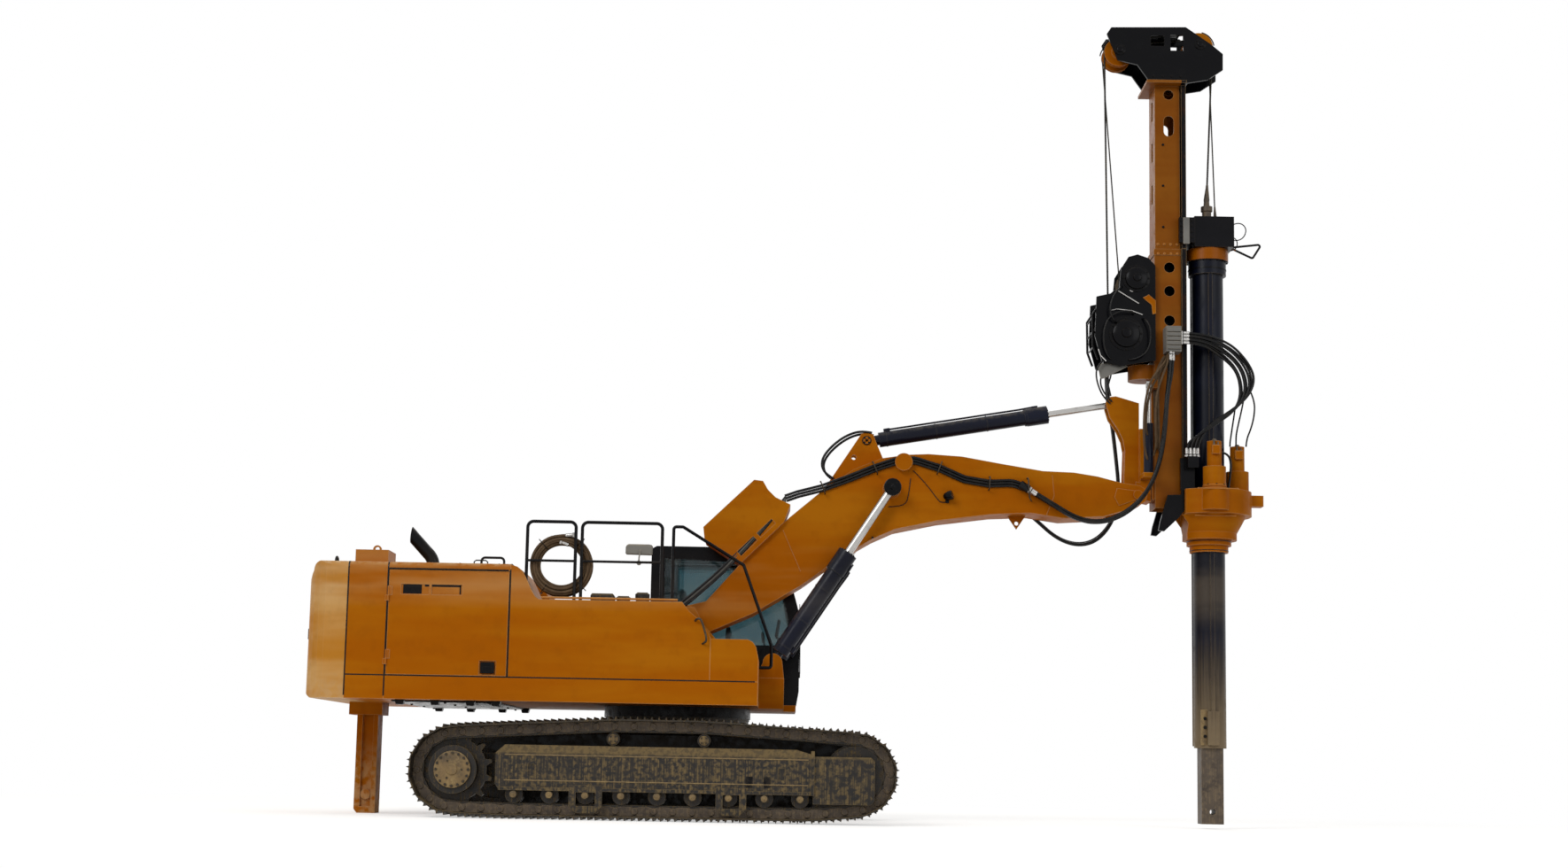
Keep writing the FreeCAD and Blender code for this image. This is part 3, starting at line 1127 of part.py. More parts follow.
def side_tilt_barrel():
    barrel = disc_z(SIDE_TILT_X, SIDE_TILT_Y, SIDE_BARREL_Z0, SIDE_BARREL_Z1, 52.0)
    bore = disc_z(SIDE_TILT_X, SIDE_TILT_Y, SIDE_BARREL_Z0 + 60.0, SIDE_BARREL_Z1 + 1.0, 26.0 + PIN_GAP)
    return cut(barrel, bore)


def side_tilt_rod():
    bar = disc_z(SIDE_TILT_X, SIDE_TILT_Y, SIDE_BARREL_Z0 + 160.0, SIDE_EYE_Z - 20.0, 26.0)
    eye = disc_x(SIDE_TILT_Y, SIDE_EYE_Z, SIDE_TILT_X - 25.0, SIDE_TILT_X + 25.0, 42.0)
    return fused(bar, eye)


# ---------------------------------------------------------------- mast
def mast_tube(x0, x1, half_y, z0, z1):
    outer = box(x0, x1, -half_y, half_y, z0, z1)
    inner = box(x0 + MAST_WALL, x1 - MAST_WALL, -half_y + MAST_WALL, half_y - MAST_WALL, z0 - 1.0, z1 + 1.0)
    return cut(outer, inner)


def mast_rail(z0, z1):
    """Guide plate on the mast's front, wider than the tube so that shoes can hook behind it."""
    return box(MAST_X1 + LOWER_GROW, RAIL_X1, -RAIL_HALF_Y, RAIL_HALF_Y, z0, z1)


def mast_lower():
    x0, x1 = MAST_X0 - LOWER_GROW, MAST_X1 + LOWER_GROW
    half_y = MAST_HALF_Y
    shaft = mast_tube(x0, x1, half_y, MAST_FOOT_Z, MAST_JOINT_Z)
    rail = mast_rail(MAST_FOOT_Z, MAST_JOINT_Z)
    holes = [disc_y(MAST_X0 + 155.0, MAST_JOINT_Z - down, -400.0, 400.0, 58.0)
             for down in (207.0, 472.0, 802.0)]
    shaft = cut(shaft, *holes)
    collar = cut(box(x0 - 8.0, x1, -half_y - 8.0, half_y + 8.0, MAST_JOINT_Z - 70.0, MAST_JOINT_Z),
                 box(x0 + 1.0, x1 + 1.0, -half_y + 1.0, half_y - 1.0, MAST_JOINT_Z - 71.0, MAST_JOINT_Z + 1.0))
    saddle = box(SADDLE_X, x0, -170.0, 170.0, 3520.0, 4820.0)
    pivot = disc_x(0, SIDE_PIVOT_Z, 4972.0, SADDLE_X, PIVOT_R)
    reach = SIDE_TILT_Y - 50.0
    lugs = [box(SIDE_TILT_X + 25.0 + MOVE_GAP, x0, reach, -150.0, SIDE_EYE_Z - 45.0, SIDE_EYE_Z + 50.0)]
    disc = disc_z(5030.0, 0, 4850.0, 5010.0, 170.0)
    disc = fused(disc, box(5030.0, x0, -150.0, 150.0, 4850.0, 5010.0))
    return fused(shaft, rail, collar, saddle, pivot, disc, *lugs)


def mast_upper():
    shaft = mast_tube(MAST_X0, MAST_X1, MAST_HALF_Y - 10.0, MAST_JOINT_Z, MAST_TOP_Z)
    rail = fused(mast_rail(MAST_JOINT_Z, MAST_TOP_Z - 30.0),
                 box(MAST_X1, MAST_X1 + LOWER_GROW, -120.0, 120.0, MAST_JOINT_Z, MAST_TOP_Z - 30.0))
    hole_x, hole_r = MAST_X0 + 155.0, 55.0
    slot_z0, slot_z1 = MAST_TOP_Z - 550.0, MAST_TOP_Z - 430.0
    hole = disc_y(hole_x, MAST_TOP_Z - 130.0, -400.0, 400.0, hole_r)
    slot = fused(disc_y(hole_x, slot_z1, -400.0, 400.0, hole_r),
                 disc_y(hole_x, slot_z0, -400.0, 400.0, hole_r),
                 box(hole_x - hole_r, hole_x + hole_r, -400.0, 400.0, slot_z0, slot_z1))
    rear = [box(MAST_X0 - 1.0, MAST_X0 + MAST_WALL + 1.0, -45.0, 45.0, z, z + 220.0)
            for z in (MAST_TOP_Z - 1340.0, MAST_TOP_Z - 860.0, MAST_TOP_Z - 390.0)]
    flange = cut(box(MAST_X0 - 105.0, MAST_X1 + 60.0, -310.0, 310.0, MAST_TOP_Z - 30.0, MAST_TOP_Z),
                 box(MAST_X0 + 40.0, MAST_X1 - 40.0, -120.0, 120.0, MAST_TOP_Z - 31.0, MAST_TOP_Z + 1.0))
    shaft = cut(shaft, hole, slot, *rear)
    return fused(shaft, rail, flange)


HEAD_IN = 190.0
HEAD_OUT = 215.0
HEAD_H = 643.0              # mast top to the head's top
REAR_SHEAVE = (4745.0, MAST_TOP_Z + 370.0)
FRONT_SHEAVE = (5640.0, MAST_TOP_Z + 450.0)
SHEAVE_R = 160.0
SHEAVE_MAIN_Y = -95.0
SHEAVE_AUX_Y = 95.0


def mast_head():
    """Two side plates that carry the rope sheaves on through axles."""
    rx, fx = REAR_SHEAVE[0], FRONT_SHEAVE[0]
    top = MAST_TOP_Z + HEAD_H
    outline = [
        (rx - 145.0, top - 93.0), (rx - 95.0, top - 17.0), (fx - 160.0, top), (fx + 120.0, top - 193.0),
        (fx + 251.0, top - 302.0), (fx + 250.0, top - 487.0), (fx + 80.0, MAST_TOP_Z + 40.0),
        (fx - 140.0, MAST_TOP_Z), (rx + 335.0, MAST_TOP_Z), (rx + 195.0, top - 444.0), (rx - 25.0, top - 393.0),
    ]
    plate = plate_y(outline, HEAD_IN, HEAD_OUT)
    windows_ = [box(rx + 345.0, rx + 495.0, HEAD_IN - 1.0, HEAD_OUT + 1.0, top - 223.0, top - 103.0),
                box(rx + 565.0, rx + 705.0, HEAD_IN - 1.0, HEAD_OUT + 1.0, top - 273.0, top - 93.0)]
    plate = cut(plate, *windows_)
    floor = box(rx + 335.0, fx - 140.0, -HEAD_IN, HEAD_IN, MAST_TOP_Z, MAST_TOP_Z + 40.0)
    roof = box(rx + 155.0, fx - 200.0, -HEAD_IN, HEAD_IN, top - 43.0, top - 18.0)
    axles = [disc_y(x, z, -HEAD_OUT - 20.0, HEAD_OUT + 20.0, 40.0) for x, z in (REAR_SHEAVE, FRONT_SHEAVE)]
    return fused(*pair(plate), floor, roof, *axles)


def sheave(place, y, half=28.0):
    """Grooved rope wheel on its axle."""
    rim = SHEAVE_R
    groove = 16.0
    profile = [(41.0, -half - 20.0), (80.0, -half - 20.0), (80.0, -half), (rim, -half), (rim, -half + 8.0),
               (rim - groove, -6.0), (rim - groove, 6.0), (rim, half - 8.0), (rim, half), (80.0, half),
               (80.0, half + 20.0), (41.0, half + 20.0)]
    profile[0] = (40.0 + PIN_GAP, -half - 20.0)
    profile[-1] = (40.0 + PIN_GAP, half + 20.0)
    corners = [V(r, v, 0) for r, v in profile]
    face = Part.Face(Part.makePolygon(corners + corners[:1]))
    wheel = face.revolve(V(0, 0, 0), ALONG_Y, 360)
    wheel.translate(V(place[0], y, place[1]))
    return wheel


MAIN_DRUM = (4800.0, 5330.0)
AUX_DRUM = (4915.0, 5950.0)
MAIN_DRUM_R = 150.0
AUX_DRUM_R = 115.0
WINCH_IN = 230.0
WINCH_OUT = 255.0
WINCH_FLOOR_Z = 5005.0
BLOCK_X0 = MAST_X0 + 75.0
BLOCK_X1 = MAST_X1 - 34.0
BLOCK_Z0 = 5112.0
BLOCK_Z1 = 5392.0


def winch_frame():
    """Side plates for both rope drums, bolted to the back of the mast."""
    outline = [
        (4538.0, 5020.0), (4733.0, 4970.0), (5125.0, 5040.0), (5125.0, 6100.0), (5050.0, 6180.0),
        (4931.0, 6220.0), (4830.0, 6190.0), (4750.0, 6060.0), (4724.0, 5800.0), (4480.0, 5740.0),
        (4462.0, 5300.0),
    ]
    plate = plate_y(outline, WINCH_IN, WINCH_OUT)
    back = [box(5085.0, 5125.0, -WINCH_IN, WINCH_IN, z, z + 140.0) for z in (5050.0, 5620.0)]
    axles = [disc_y(x, z, -WINCH_OUT, WINCH_OUT, 42.0) for x, z in (MAIN_DRUM, AUX_DRUM)]
    floor = box(4560.0, 4720.0, -WINCH_IN, WINCH_IN, WINCH_FLOOR_Z, WINCH_FLOOR_Z + 25.0)
    return fused(*pair(plate), *back, *axles, floor)


def drum(place, core, flange):
    half = WINCH_IN - MOVE_GAP
    x, z = place
    body = fused(disc_y(x, z, -half, half, core), disc_y(x, z, -half, -half + 20.0, flange),
                 disc_y(x, z, half - 20.0, half, flange))
    return cut(body, disc_y(x, z, -half - 1.0, half + 1.0, 42.0 + PIN_GAP))


def manifold_block():
    """Valve block on a foot at the side of the mast."""
    block = box(BLOCK_X0, BLOCK_X1, -430.0, -RAIL_HALF_Y, BLOCK_Z0, BLOCK_Z1)
    foot = box(BLOCK_X0 + 20.0, BLOCK_X1 - 16.0, -RAIL_HALF_Y, -MAST_HALF_Y, BLOCK_Z0 + 38.0, BLOCK_Z1 - 42.0)
    sections = [box(BLOCK_X0 + 8.0, BLOCK_X1 - 8.0, -446.0, -430.0, z, z + 36.0)
                for z in [BLOCK_Z0 + 26.0 + i * 48.0 for i in range(5)]]
    return fused(block, foot, *sections)


# ---------------------------------------------------------------- rotary drive and drill rod
CARRIAGE_IN = RAIL_HALF_Y + SLIDE_GAP
CARRIAGE_OUT = CARRIAGE_IN + 40.0
CARRIAGE_FRONT_X = 5540.0
MOTORS = ((KELLY_X - 10.0, -385.0), (KELLY_X - 10.0, 385.0), (KELLY_X + 317.0, 0.0))
MOTOR_R = 122.0


def slide_shoes(z0, z1, front_x):
    """Cheeks that hook behind the mast's guide plate, joined by a front plate."""
    front = box(RAIL_X1 + SLIDE_GAP, front_x, -CARRIAGE_OUT, CARRIAGE_OUT, z0, z1)
    hook_x1 = MAST_X1 + LOWER_GROW - MOVE_GAP
    hooks = pair(fused(
        box(hook_x1 - 26.0, RAIL_X1 + SLIDE_GAP, CARRIAGE_IN, CARRIAGE_OUT, z0, z1),
        box(hook_x1 - 26.0, hook_x1, MAST_HALF_Y + 9.0 + MOVE_GAP, CARRIAGE_OUT, z0, z1)))
    return fused(front, *hooks)


CARRIAGE_TOP_Z = 3970.0
CASE_BACK_X = 5430.0
LIP_Z = 3100.0              # underside of the gearcase, on the sleeve's flange


def rotary_gearcase():
    """Gearcase round the drill rod: a flat-topped housing over a cone and a lip, with a nose in front."""
    case = disc_z(KELLY_X, 0, CASE_Z0 + 50.0, CASE_Z1, 460.0)
    case = case.common(box(CASE_BACK_X, KELLY_X + 455.0, -460.0, 460.0, CASE_Z0, CASE_Z1))
    cone = Part.makeCone(300.0, 400.0, CASE_Z0 + 50.0 - LIP_Z - 76.0, V(KELLY_X, 0, LIP_Z + 76.0), UP)
    lip = disc_z(KELLY_X, 0, LIP_Z, LIP_Z + 76.0, 300.0)
    front = [disc_z(x, y, CASE_Z0 + 80.0, CASE_Z1, 150.0) for x, y in MOTORS]
    nose = box(KELLY_X + 410.0, KELLY_X + 585.0, -70.0, 70.0, CASE_Z0 + 170.0, CASE_Z1 - 26.0)
    lid = disc_z(KELLY_X, 0, CASE_Z1, CASE_Z1 + 26.0, 262.0)
    whole = fused(case, cone, lip, *front, nose, lid)
    bore = disc_z(KELLY_X, 0, LIP_Z - 1.0, CASE_Z1 + 100.0, KELLY_R + 40.0 + MOVE_GAP)
    rail_side = box(5000.0, RAIL_X1 + MOVE_GAP, -CARRIAGE_IN, CARRIAGE_IN, LIP_Z - 1.0, CASE_Z1 + 100.0)
    carriage_seat = box(5000.0, CARRIAGE_FRONT_X, -CARRIAGE_OUT, CARRIAGE_OUT, CASE_Z1, CASE_Z1 + 100.0)
    motor_seats = [disc_z(x, y, CASE_Z1, CASE_Z1 + 100.0, MOTOR_R + MOVE_GAP) for x, y in MOTORS]
    return cut(whole, bore, rail_side, carriage_seat, *motor_seats)


def rotary_carriage():
    """Slide on the mast's rail that carries the gearcase, with two cheek arms and the hose landing."""
    shoes = slide_shoes(CASE_Z1, CARRIAGE_TOP_Z, CARRIAGE_FRONT_X)
    arm = [(MAST_X0 + 12.0, 3176.0), (5209.0, 3168.0), (5375.0, 3328.0), (CASE_BACK_X, 3400.0),
           (CASE_BACK_X, CASE_Z1 + 60.0), (5395.0, CASE_Z1 + 60.0), (5395.0, 3569.0), (5248.0, 3565.0),
           (5165.0, 3268.0)]
    arms = pair(plate_y(arm, CARRIAGE_IN, CARRIAGE_OUT))
    landing = box(5445.0, 5560.0, -400.0, -CARRIAGE_OUT, CARRIAGE_TOP_Z - 120.0, CARRIAGE_TOP_Z)
    return fused(shoes, *arms, landing)


def rotary_motors():
    out = []
    for x, y in MOTORS:
        gearbox = disc_z(x, y, CASE_Z1, CASE_Z1 + 235.0, MOTOR_R)
        motor = disc_z(x, y, CASE_Z1 + 235.0, MOTOR_TOP_Z, 78.0)
        out.append(fused(gearbox, motor))
    return out


RIB_HALF = 22.0             # drive ribs along the drill rod
RIB_H = 18.0
RIB_ANGLES = (-90.0, 30.0, 150.0)


def drive_ribs(half, radius, z0, z1):
    """Three bars along the drill rod's axis, out to the given radius."""
    bar = box(KELLY_R - 30.0, radius, -half, half, z0, z1)
    out = []
    for angle in RIB_ANGLES:
        rib = bar.copy()
        rib.rotate(V(0, 0, 0), UP, angle)
        rib.translate(V(KELLY_X, 0, 0))
        out.append(rib)
    return out


def rotary_sleeve():
    """Driven sleeve that turns the drill rod by its ribs, hanging below the gearcase."""
    sleeve = fused(disc_z(KELLY_X, 0, SLEEVE_Z0, CASE_Z1 - MOVE_GAP, KELLY_R + 36.0),
                   disc_z(KELLY_X, 0, LIP_Z - 60.0, LIP_Z - SEAT_GAP, 240.0))
    keyways = drive_ribs(RIB_HALF + SLIDE_GAP, KELLY_R + RIB_H + SLIDE_GAP, SLEEVE_Z0 - 1.0, CASE_Z1 + 50.0)
    return cut(sleeve, disc_z(KELLY_X, 0, SLEEVE_Z0 - 1.0, CASE_Z1 + 50.0, KELLY_R + 0.3), *keyways)


def kelly_guide():
    """Head of the drill rod: slide block on the mast and a bearing ring round the rod."""
    shoes = slide_shoes(6366.0, 6646.0, 5560.0)
    head = box(5560.0, 5995.0, -240.0, 240.0, GUIDE_RING_Z1, GUIDE_TOP_Z)
    ring = disc_z(KELLY_X, 0, COLLAR_Z1 + 0.3, GUIDE_RING_Z1, 232.0)
    cavity = disc_z(KELLY_X, 0, GUIDE_RING_Z1, GUIDE_TOP_Z - 40.0, KELLY_R + 25.0)
    bore = disc_z(KELLY_X, 0, COLLAR_Z1, GUIDE_RING_Z1 + 1.0, KELLY_R + 0.3)
    rope_hole = disc_z(KELLY_X, 0, GUIDE_TOP_Z - 41.0, GUIDE_TOP_Z + 1.0, 60.0)
    arm = tube([(5990.0, -120.0, 6350.0), (6320.0, -120.0, 6390.0), (6220.0, -120.0, 6230.0),
                (5995.0, -120.0, 6335.0)], 12.0, 20.0)
    return cut(fused(shoes, head, ring, arm), cavity, bore, rope_hole)


def kelly_outer():
    """Outer drill tube with its head collar and three drive ribs."""
    top = GUIDE_TOP_Z - 70.0
    shaft = disc_z(KELLY_X, 0, KELLY_SHOULDER_Z, top, KELLY_R)
    collar = disc_z(KELLY_X, 0, COLLAR_Z0, COLLAR_Z1, 206.0)
    stop = disc_z(KELLY_X, 0, GUIDE_RING_Z1 + 0.3, GUIDE_RING_Z1 + 30.0, KELLY_R + 12.0)
    half = INNER_HALF + SLIDE_GAP
    inside = box(KELLY_X - half, KELLY_X + half, -half, half, KELLY_SHOULDER_Z - 1.0, top + 1.0)
    ribs = drive_ribs(RIB_HALF, KELLY_R + RIB_H, KELLY_SHOULDER_Z + 20.0, COLLAR_Z0)
    shoe = box(KELLY_X - 62.0, KELLY_X + 62.0, -KELLY_R - RIB_H - 12.0, -KELLY_R + 30.0,
               KELLY_SHOULDER_Z + 30.0, KELLY_SHOULDER_Z + 390.0)
    return cut(fused(shaft, collar, stop, shoe, *ribs), inside)


def kelly_inner():
    """Square inner drill rod that telescopes out of the tube, with the tool pin's hole."""
    bar = box(KELLY_X - INNER_HALF, KELLY_X + INNER_HALF, -INNER_HALF, INNER_HALF,
              INNER_BOTTOM_Z, INNER_BOTTOM_Z + INNER_LEN)
    pin_z = INNER_BOTTOM_Z + TOOL_PIN_UP
    return cut(bar, disc_y(KELLY_X, pin_z, -INNER_HALF - 1.0, INNER_HALF + 1.0, TOOL_PIN_R))


# ---------------------------------------------------------------- write the nodes
def write_running_gear():
    for name, sign in (("right", -1), ("left", 1)):
        loop = track_loop()
        loop.translate(V(0, sign * TRACK_Y, 0))
        export("track_" + name, loop)
    export("track_frames", track_frame(-1), track_frame(1))
    export("sprockets", sprocket(-1), sprocket(1))
    export("idlers", idler(-1), idler(1))
    export("track_rollers", *rollers(-1), *rollers(1))
    export("carrier_rollers", *carrier_rollers(-1), *carrier_rollers(1))
    export("carbody", carbody())
    export("slew_ring_lower", slew_ring_lower())


def write_upper():
    export("slew_ring_upper", slew_ring_upper())
    export("upper_frame", upper_frame())
    export("counterweight", counterweight())
    export("leg_housing", leg_housing())
    export("rear_leg", rear_leg())
    export("engine_hood", engine_hood())
    export("hood_door_right", hood_door(-1))
    export("hood_door_left", hood_door(1))
    export("engine_block", engine_block())
    export("exhaust", exhaust())
    export("tank_body", tank_body())
    export("front_toolbox", front_toolbox())
    export("left_side_body", left_side_body())
    export("handrails", *handrails())
    export("hose_hank", hose_hank())


def write_cab():
    export("cab_shell", cab_shell())
    export("cab_glass", *cab_glass())
    export("cab_door", cab_door())
    export("cab_door_glass", cab_door_glass())
    export("operator_seat", *operator_seat())


def write_boom():
    export("boom", boom())
    export("boom_guard", boom_guard())
    export("boom_hoses", *boom_hoses())
    export("mast_feed_hoses", free_bundle("mast_feed_hoses", mast_feed_route()))
    export("winch_feed_hoses", free_bundle("winch_feed_hoses", winch_feed_route()))
    export("lift_cylinder_barrels", *lift_barrels())
    export("lift_cylinder_rods", *lift_rods())
    export("tilt_cylinder_barrel", tilt_barrel())
    export("tilt_cylinder_rod", tilt_rod())
    export("cradle", cradle())
    export("side_tilt_barrel", side_tilt_barrel())
    export("side_tilt_rod", side_tilt_rod())


def write_mast():
    export("mast_lower", mast_lower())
    export("mast_upper", mast_upper())
    export("mast_head", mast_head())
    export("main_rear_sheave", sheave(REAR_SHEAVE, SHEAVE_MAIN_Y))
    export("main_front_sheave", sheave(FRONT_SHEAVE, SHEAVE_MAIN_Y))
    export("aux_rear_sheave", sheave(REAR_SHEAVE, SHEAVE_AUX_Y))
    export("aux_front_sheave", sheave(FRONT_SHEAVE, SHEAVE_AUX_Y))
    export("winch_frame", winch_frame())
    export("main_winch_drum", drum(MAIN_DRUM, MAIN_DRUM_R, 205.0))
    export("aux_winch_drum", drum(AUX_DRUM, AUX_DRUM_R, 160.0))
    export("manifold_block", manifold_block())
    export("rotary_gearcase", rotary_gearcase())
    export("rotary_carriage", rotary_carriage())
    export("rotary_feed_hoses", free_bundle("rotary_feed_hoses", rotary_feed_route()))
    export("rotary_motors", *rotary_motors())
    export("rotary_sleeve", rotary_sleeve())
    export("kelly_guide", kelly_guide())
    export("kelly_outer", kelly_outer())
    export("kelly_inner", kelly_inner())


write_running_gear()
write_upper()
write_cab()
write_boom()
write_mast()
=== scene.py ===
"""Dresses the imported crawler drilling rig: finishes for every CAD node, hoses, ropes, fasteners and trim.

Laid out as an add-on: each group of like pieces is one operator, and one panel in the sidebar lists them all.
"""

import json
from math import asin, atan2, cos, hypot, pi, radians, sin, tau

import bmesh
import bpy
from mathutils import Matrix, Vector
from mathutils.bvhtree import BVHTree


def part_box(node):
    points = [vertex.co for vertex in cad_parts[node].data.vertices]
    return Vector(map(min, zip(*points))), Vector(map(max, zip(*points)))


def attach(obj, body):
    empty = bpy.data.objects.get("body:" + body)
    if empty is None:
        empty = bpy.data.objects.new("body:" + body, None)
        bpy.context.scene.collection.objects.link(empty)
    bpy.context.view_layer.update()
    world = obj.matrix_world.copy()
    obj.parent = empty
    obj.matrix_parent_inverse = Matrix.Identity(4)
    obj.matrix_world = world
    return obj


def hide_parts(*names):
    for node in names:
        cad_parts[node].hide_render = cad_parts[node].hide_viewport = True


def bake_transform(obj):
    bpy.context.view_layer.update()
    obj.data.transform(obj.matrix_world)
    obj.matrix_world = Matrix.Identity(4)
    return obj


bl_info = {
    "name": "Crawler Drilling Rig",
    "version": (1, 0, 0),
    "blender": (4, 5, 0),
    "location": "View3D > Sidebar > Rig",
    "description": "Builds the finishes and fittings of a crawler drilling rig around its packed frame",
    "category": "Object",
}

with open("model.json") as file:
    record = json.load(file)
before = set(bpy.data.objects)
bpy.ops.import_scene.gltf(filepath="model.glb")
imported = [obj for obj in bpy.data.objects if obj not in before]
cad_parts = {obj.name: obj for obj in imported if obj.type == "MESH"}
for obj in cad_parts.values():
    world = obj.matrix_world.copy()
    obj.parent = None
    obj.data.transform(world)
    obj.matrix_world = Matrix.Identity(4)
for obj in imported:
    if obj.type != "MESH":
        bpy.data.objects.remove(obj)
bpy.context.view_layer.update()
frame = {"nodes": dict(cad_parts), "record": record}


# ---------------------------------------------------------------- small helpers


def srgb(code):
    """A colour from its hex code, as the linear numbers that sockets take."""
    channels = [int(code[i : i + 2], 16) / 255 for i in (1, 3, 5)]
    return [c / 12.92 if c <= 0.04045 else ((c + 0.055) / 1.055) ** 2.4 for c in channels] + [1]


def add(tree, kind, feeds=(), out=0, **settings):
    """One node: feeds go to its inputs by place or name, as values or sockets; gives the output asked for."""
    made = tree.nodes.new(kind)
    for name, value in settings.items():
        setattr(made, name, value)
    for key, value in feeds.items() if isinstance(feeds, dict) else enumerate(feeds):
        if isinstance(value, bpy.types.NodeSocket):
            tree.links.new(value, made.inputs[key])
        else:
            made.inputs[key].default_value = value
    return made.outputs[out] if len(made.outputs) else made


MATH, MIX, SPREAD = "ShaderNodeMath", "ShaderNodeMix", "ShaderNodeMapRange"
TIMES, PLUS, LARGER = [{"operation": name, "use_clamp": True} for name in ("MULTIPLY", "ADD", "MAXIMUM")]
PRODUCT = {"operation": "MULTIPLY"}
RGBA = {"data_type": "RGBA", "out": 2}
SMOOTH = {"interpolation_type": "SMOOTHSTEP"}
UP, DOWN = (0, 0, 1), (0, 0, -1)
CREASE = 0.6  # radians between two faces at a sharp edge
CHAMFER = 0.003  # metres off the edges of plates and bosses
ROD_X = 5.74  # the upright axis of the drill rod, its guide and the rotary
UPPER = "upper_structure"  # the body that carries the cab, the hood and the counterweight
SIDES = (-1, 1)  # the right side of the machine, then its left


def metres(name, description, default):
    """A size in metres that a user may change."""
    return bpy.props.FloatProperty(name=name, description=description, default=default, unit="LENGTH")


# ---------------------------------------------------------------- materials


def new_material(name):
    """An empty material, with its tree, its Object coordinates and its normals."""
    material = bpy.data.materials.new(name)
    material.use_nodes = True
    tree = material.node_tree
    tree.nodes.clear()
    place = add(tree, "ShaderNodeTexCoord", out="Object")
    return material, tree, place, place.node.outputs["Normal"]


def coated(material, shader):
    """Ends a material in one Principled shader with the given values and sockets."""
    surface = add(material.node_tree, "ShaderNodeBsdfPrincipled", shader)
    add(material.node_tree, "ShaderNodeOutputMaterial", {"Surface": surface}, is_active_output=True)
    return material


def cloudy(tree, place, scale, detail=3, low=0.4, high=0.6, stretch=None):
    """Noise as a share from 0 to 1 between two of its levels; a stretch draws it out into streaks."""
    if stretch:
        place = add(tree, "ShaderNodeMapping", {"Vector": place, "Scale": stretch})
    feeds = {"Vector": place, "Scale": scale, "Detail": detail, "Roughness": 0.55}
    noise = add(tree, "ShaderNodeTexNoise", feeds)
    return add(tree, SPREAD, {"Value": noise, "From Min": low, "From Max": high}, **SMOOTH)


def edge_share(tree, radius):
    """How near a sharp edge a point lies: 1 on the edge, 0 a bevel's radius away from it."""
    bevel = add(tree, "ShaderNodeBevel", {"Radius": radius}, samples=4)
    plain = add(tree, "ShaderNodeNewGeometry", out="Normal")
    dot = add(tree, "ShaderNodeVectorMath", [bevel, plain], "Value", operation="DOT_PRODUCT")
    return add(tree, SPREAD, {"Value": dot, "From Min": 0.995, "From Max": 0.86})


def upward_share(tree, facing):
    """1 on surfaces that face up and 0 on upright ones: dust settles there on steel and rubber, and the enamel paints
    its highlight there.
    """
    rise = add(tree, "ShaderNodeSeparateXYZ", [facing], 2)
    return add(tree, SPREAD, {"Value": rise, "From Min": 0.3, "From Max": 0.85})


def low_share(tree, place, low, high):
    """1 at and below the low height, 0 at and above the high one, in metres over the ground."""
    height = add(tree, "ShaderNodeSeparateXYZ", [place], 2)
    return add(tree, SPREAD, {"Value": height, "From Min": high, "From Max": low}, **SMOOTH)


def between(tree, place, axis, low, high, soft):
    """1 between two levels along an axis of the object, 0 outside them, in metres."""
    at = add(tree, "ShaderNodeSeparateXYZ", [place], axis)
    above = add(tree, SPREAD, {"Value": at, "From Min": low - soft, "From Max": low})
    below = add(tree, SPREAD, {"Value": at, "From Min": high + soft, "From Max": high})
    return add(tree, MATH, [above, below], **TIMES)


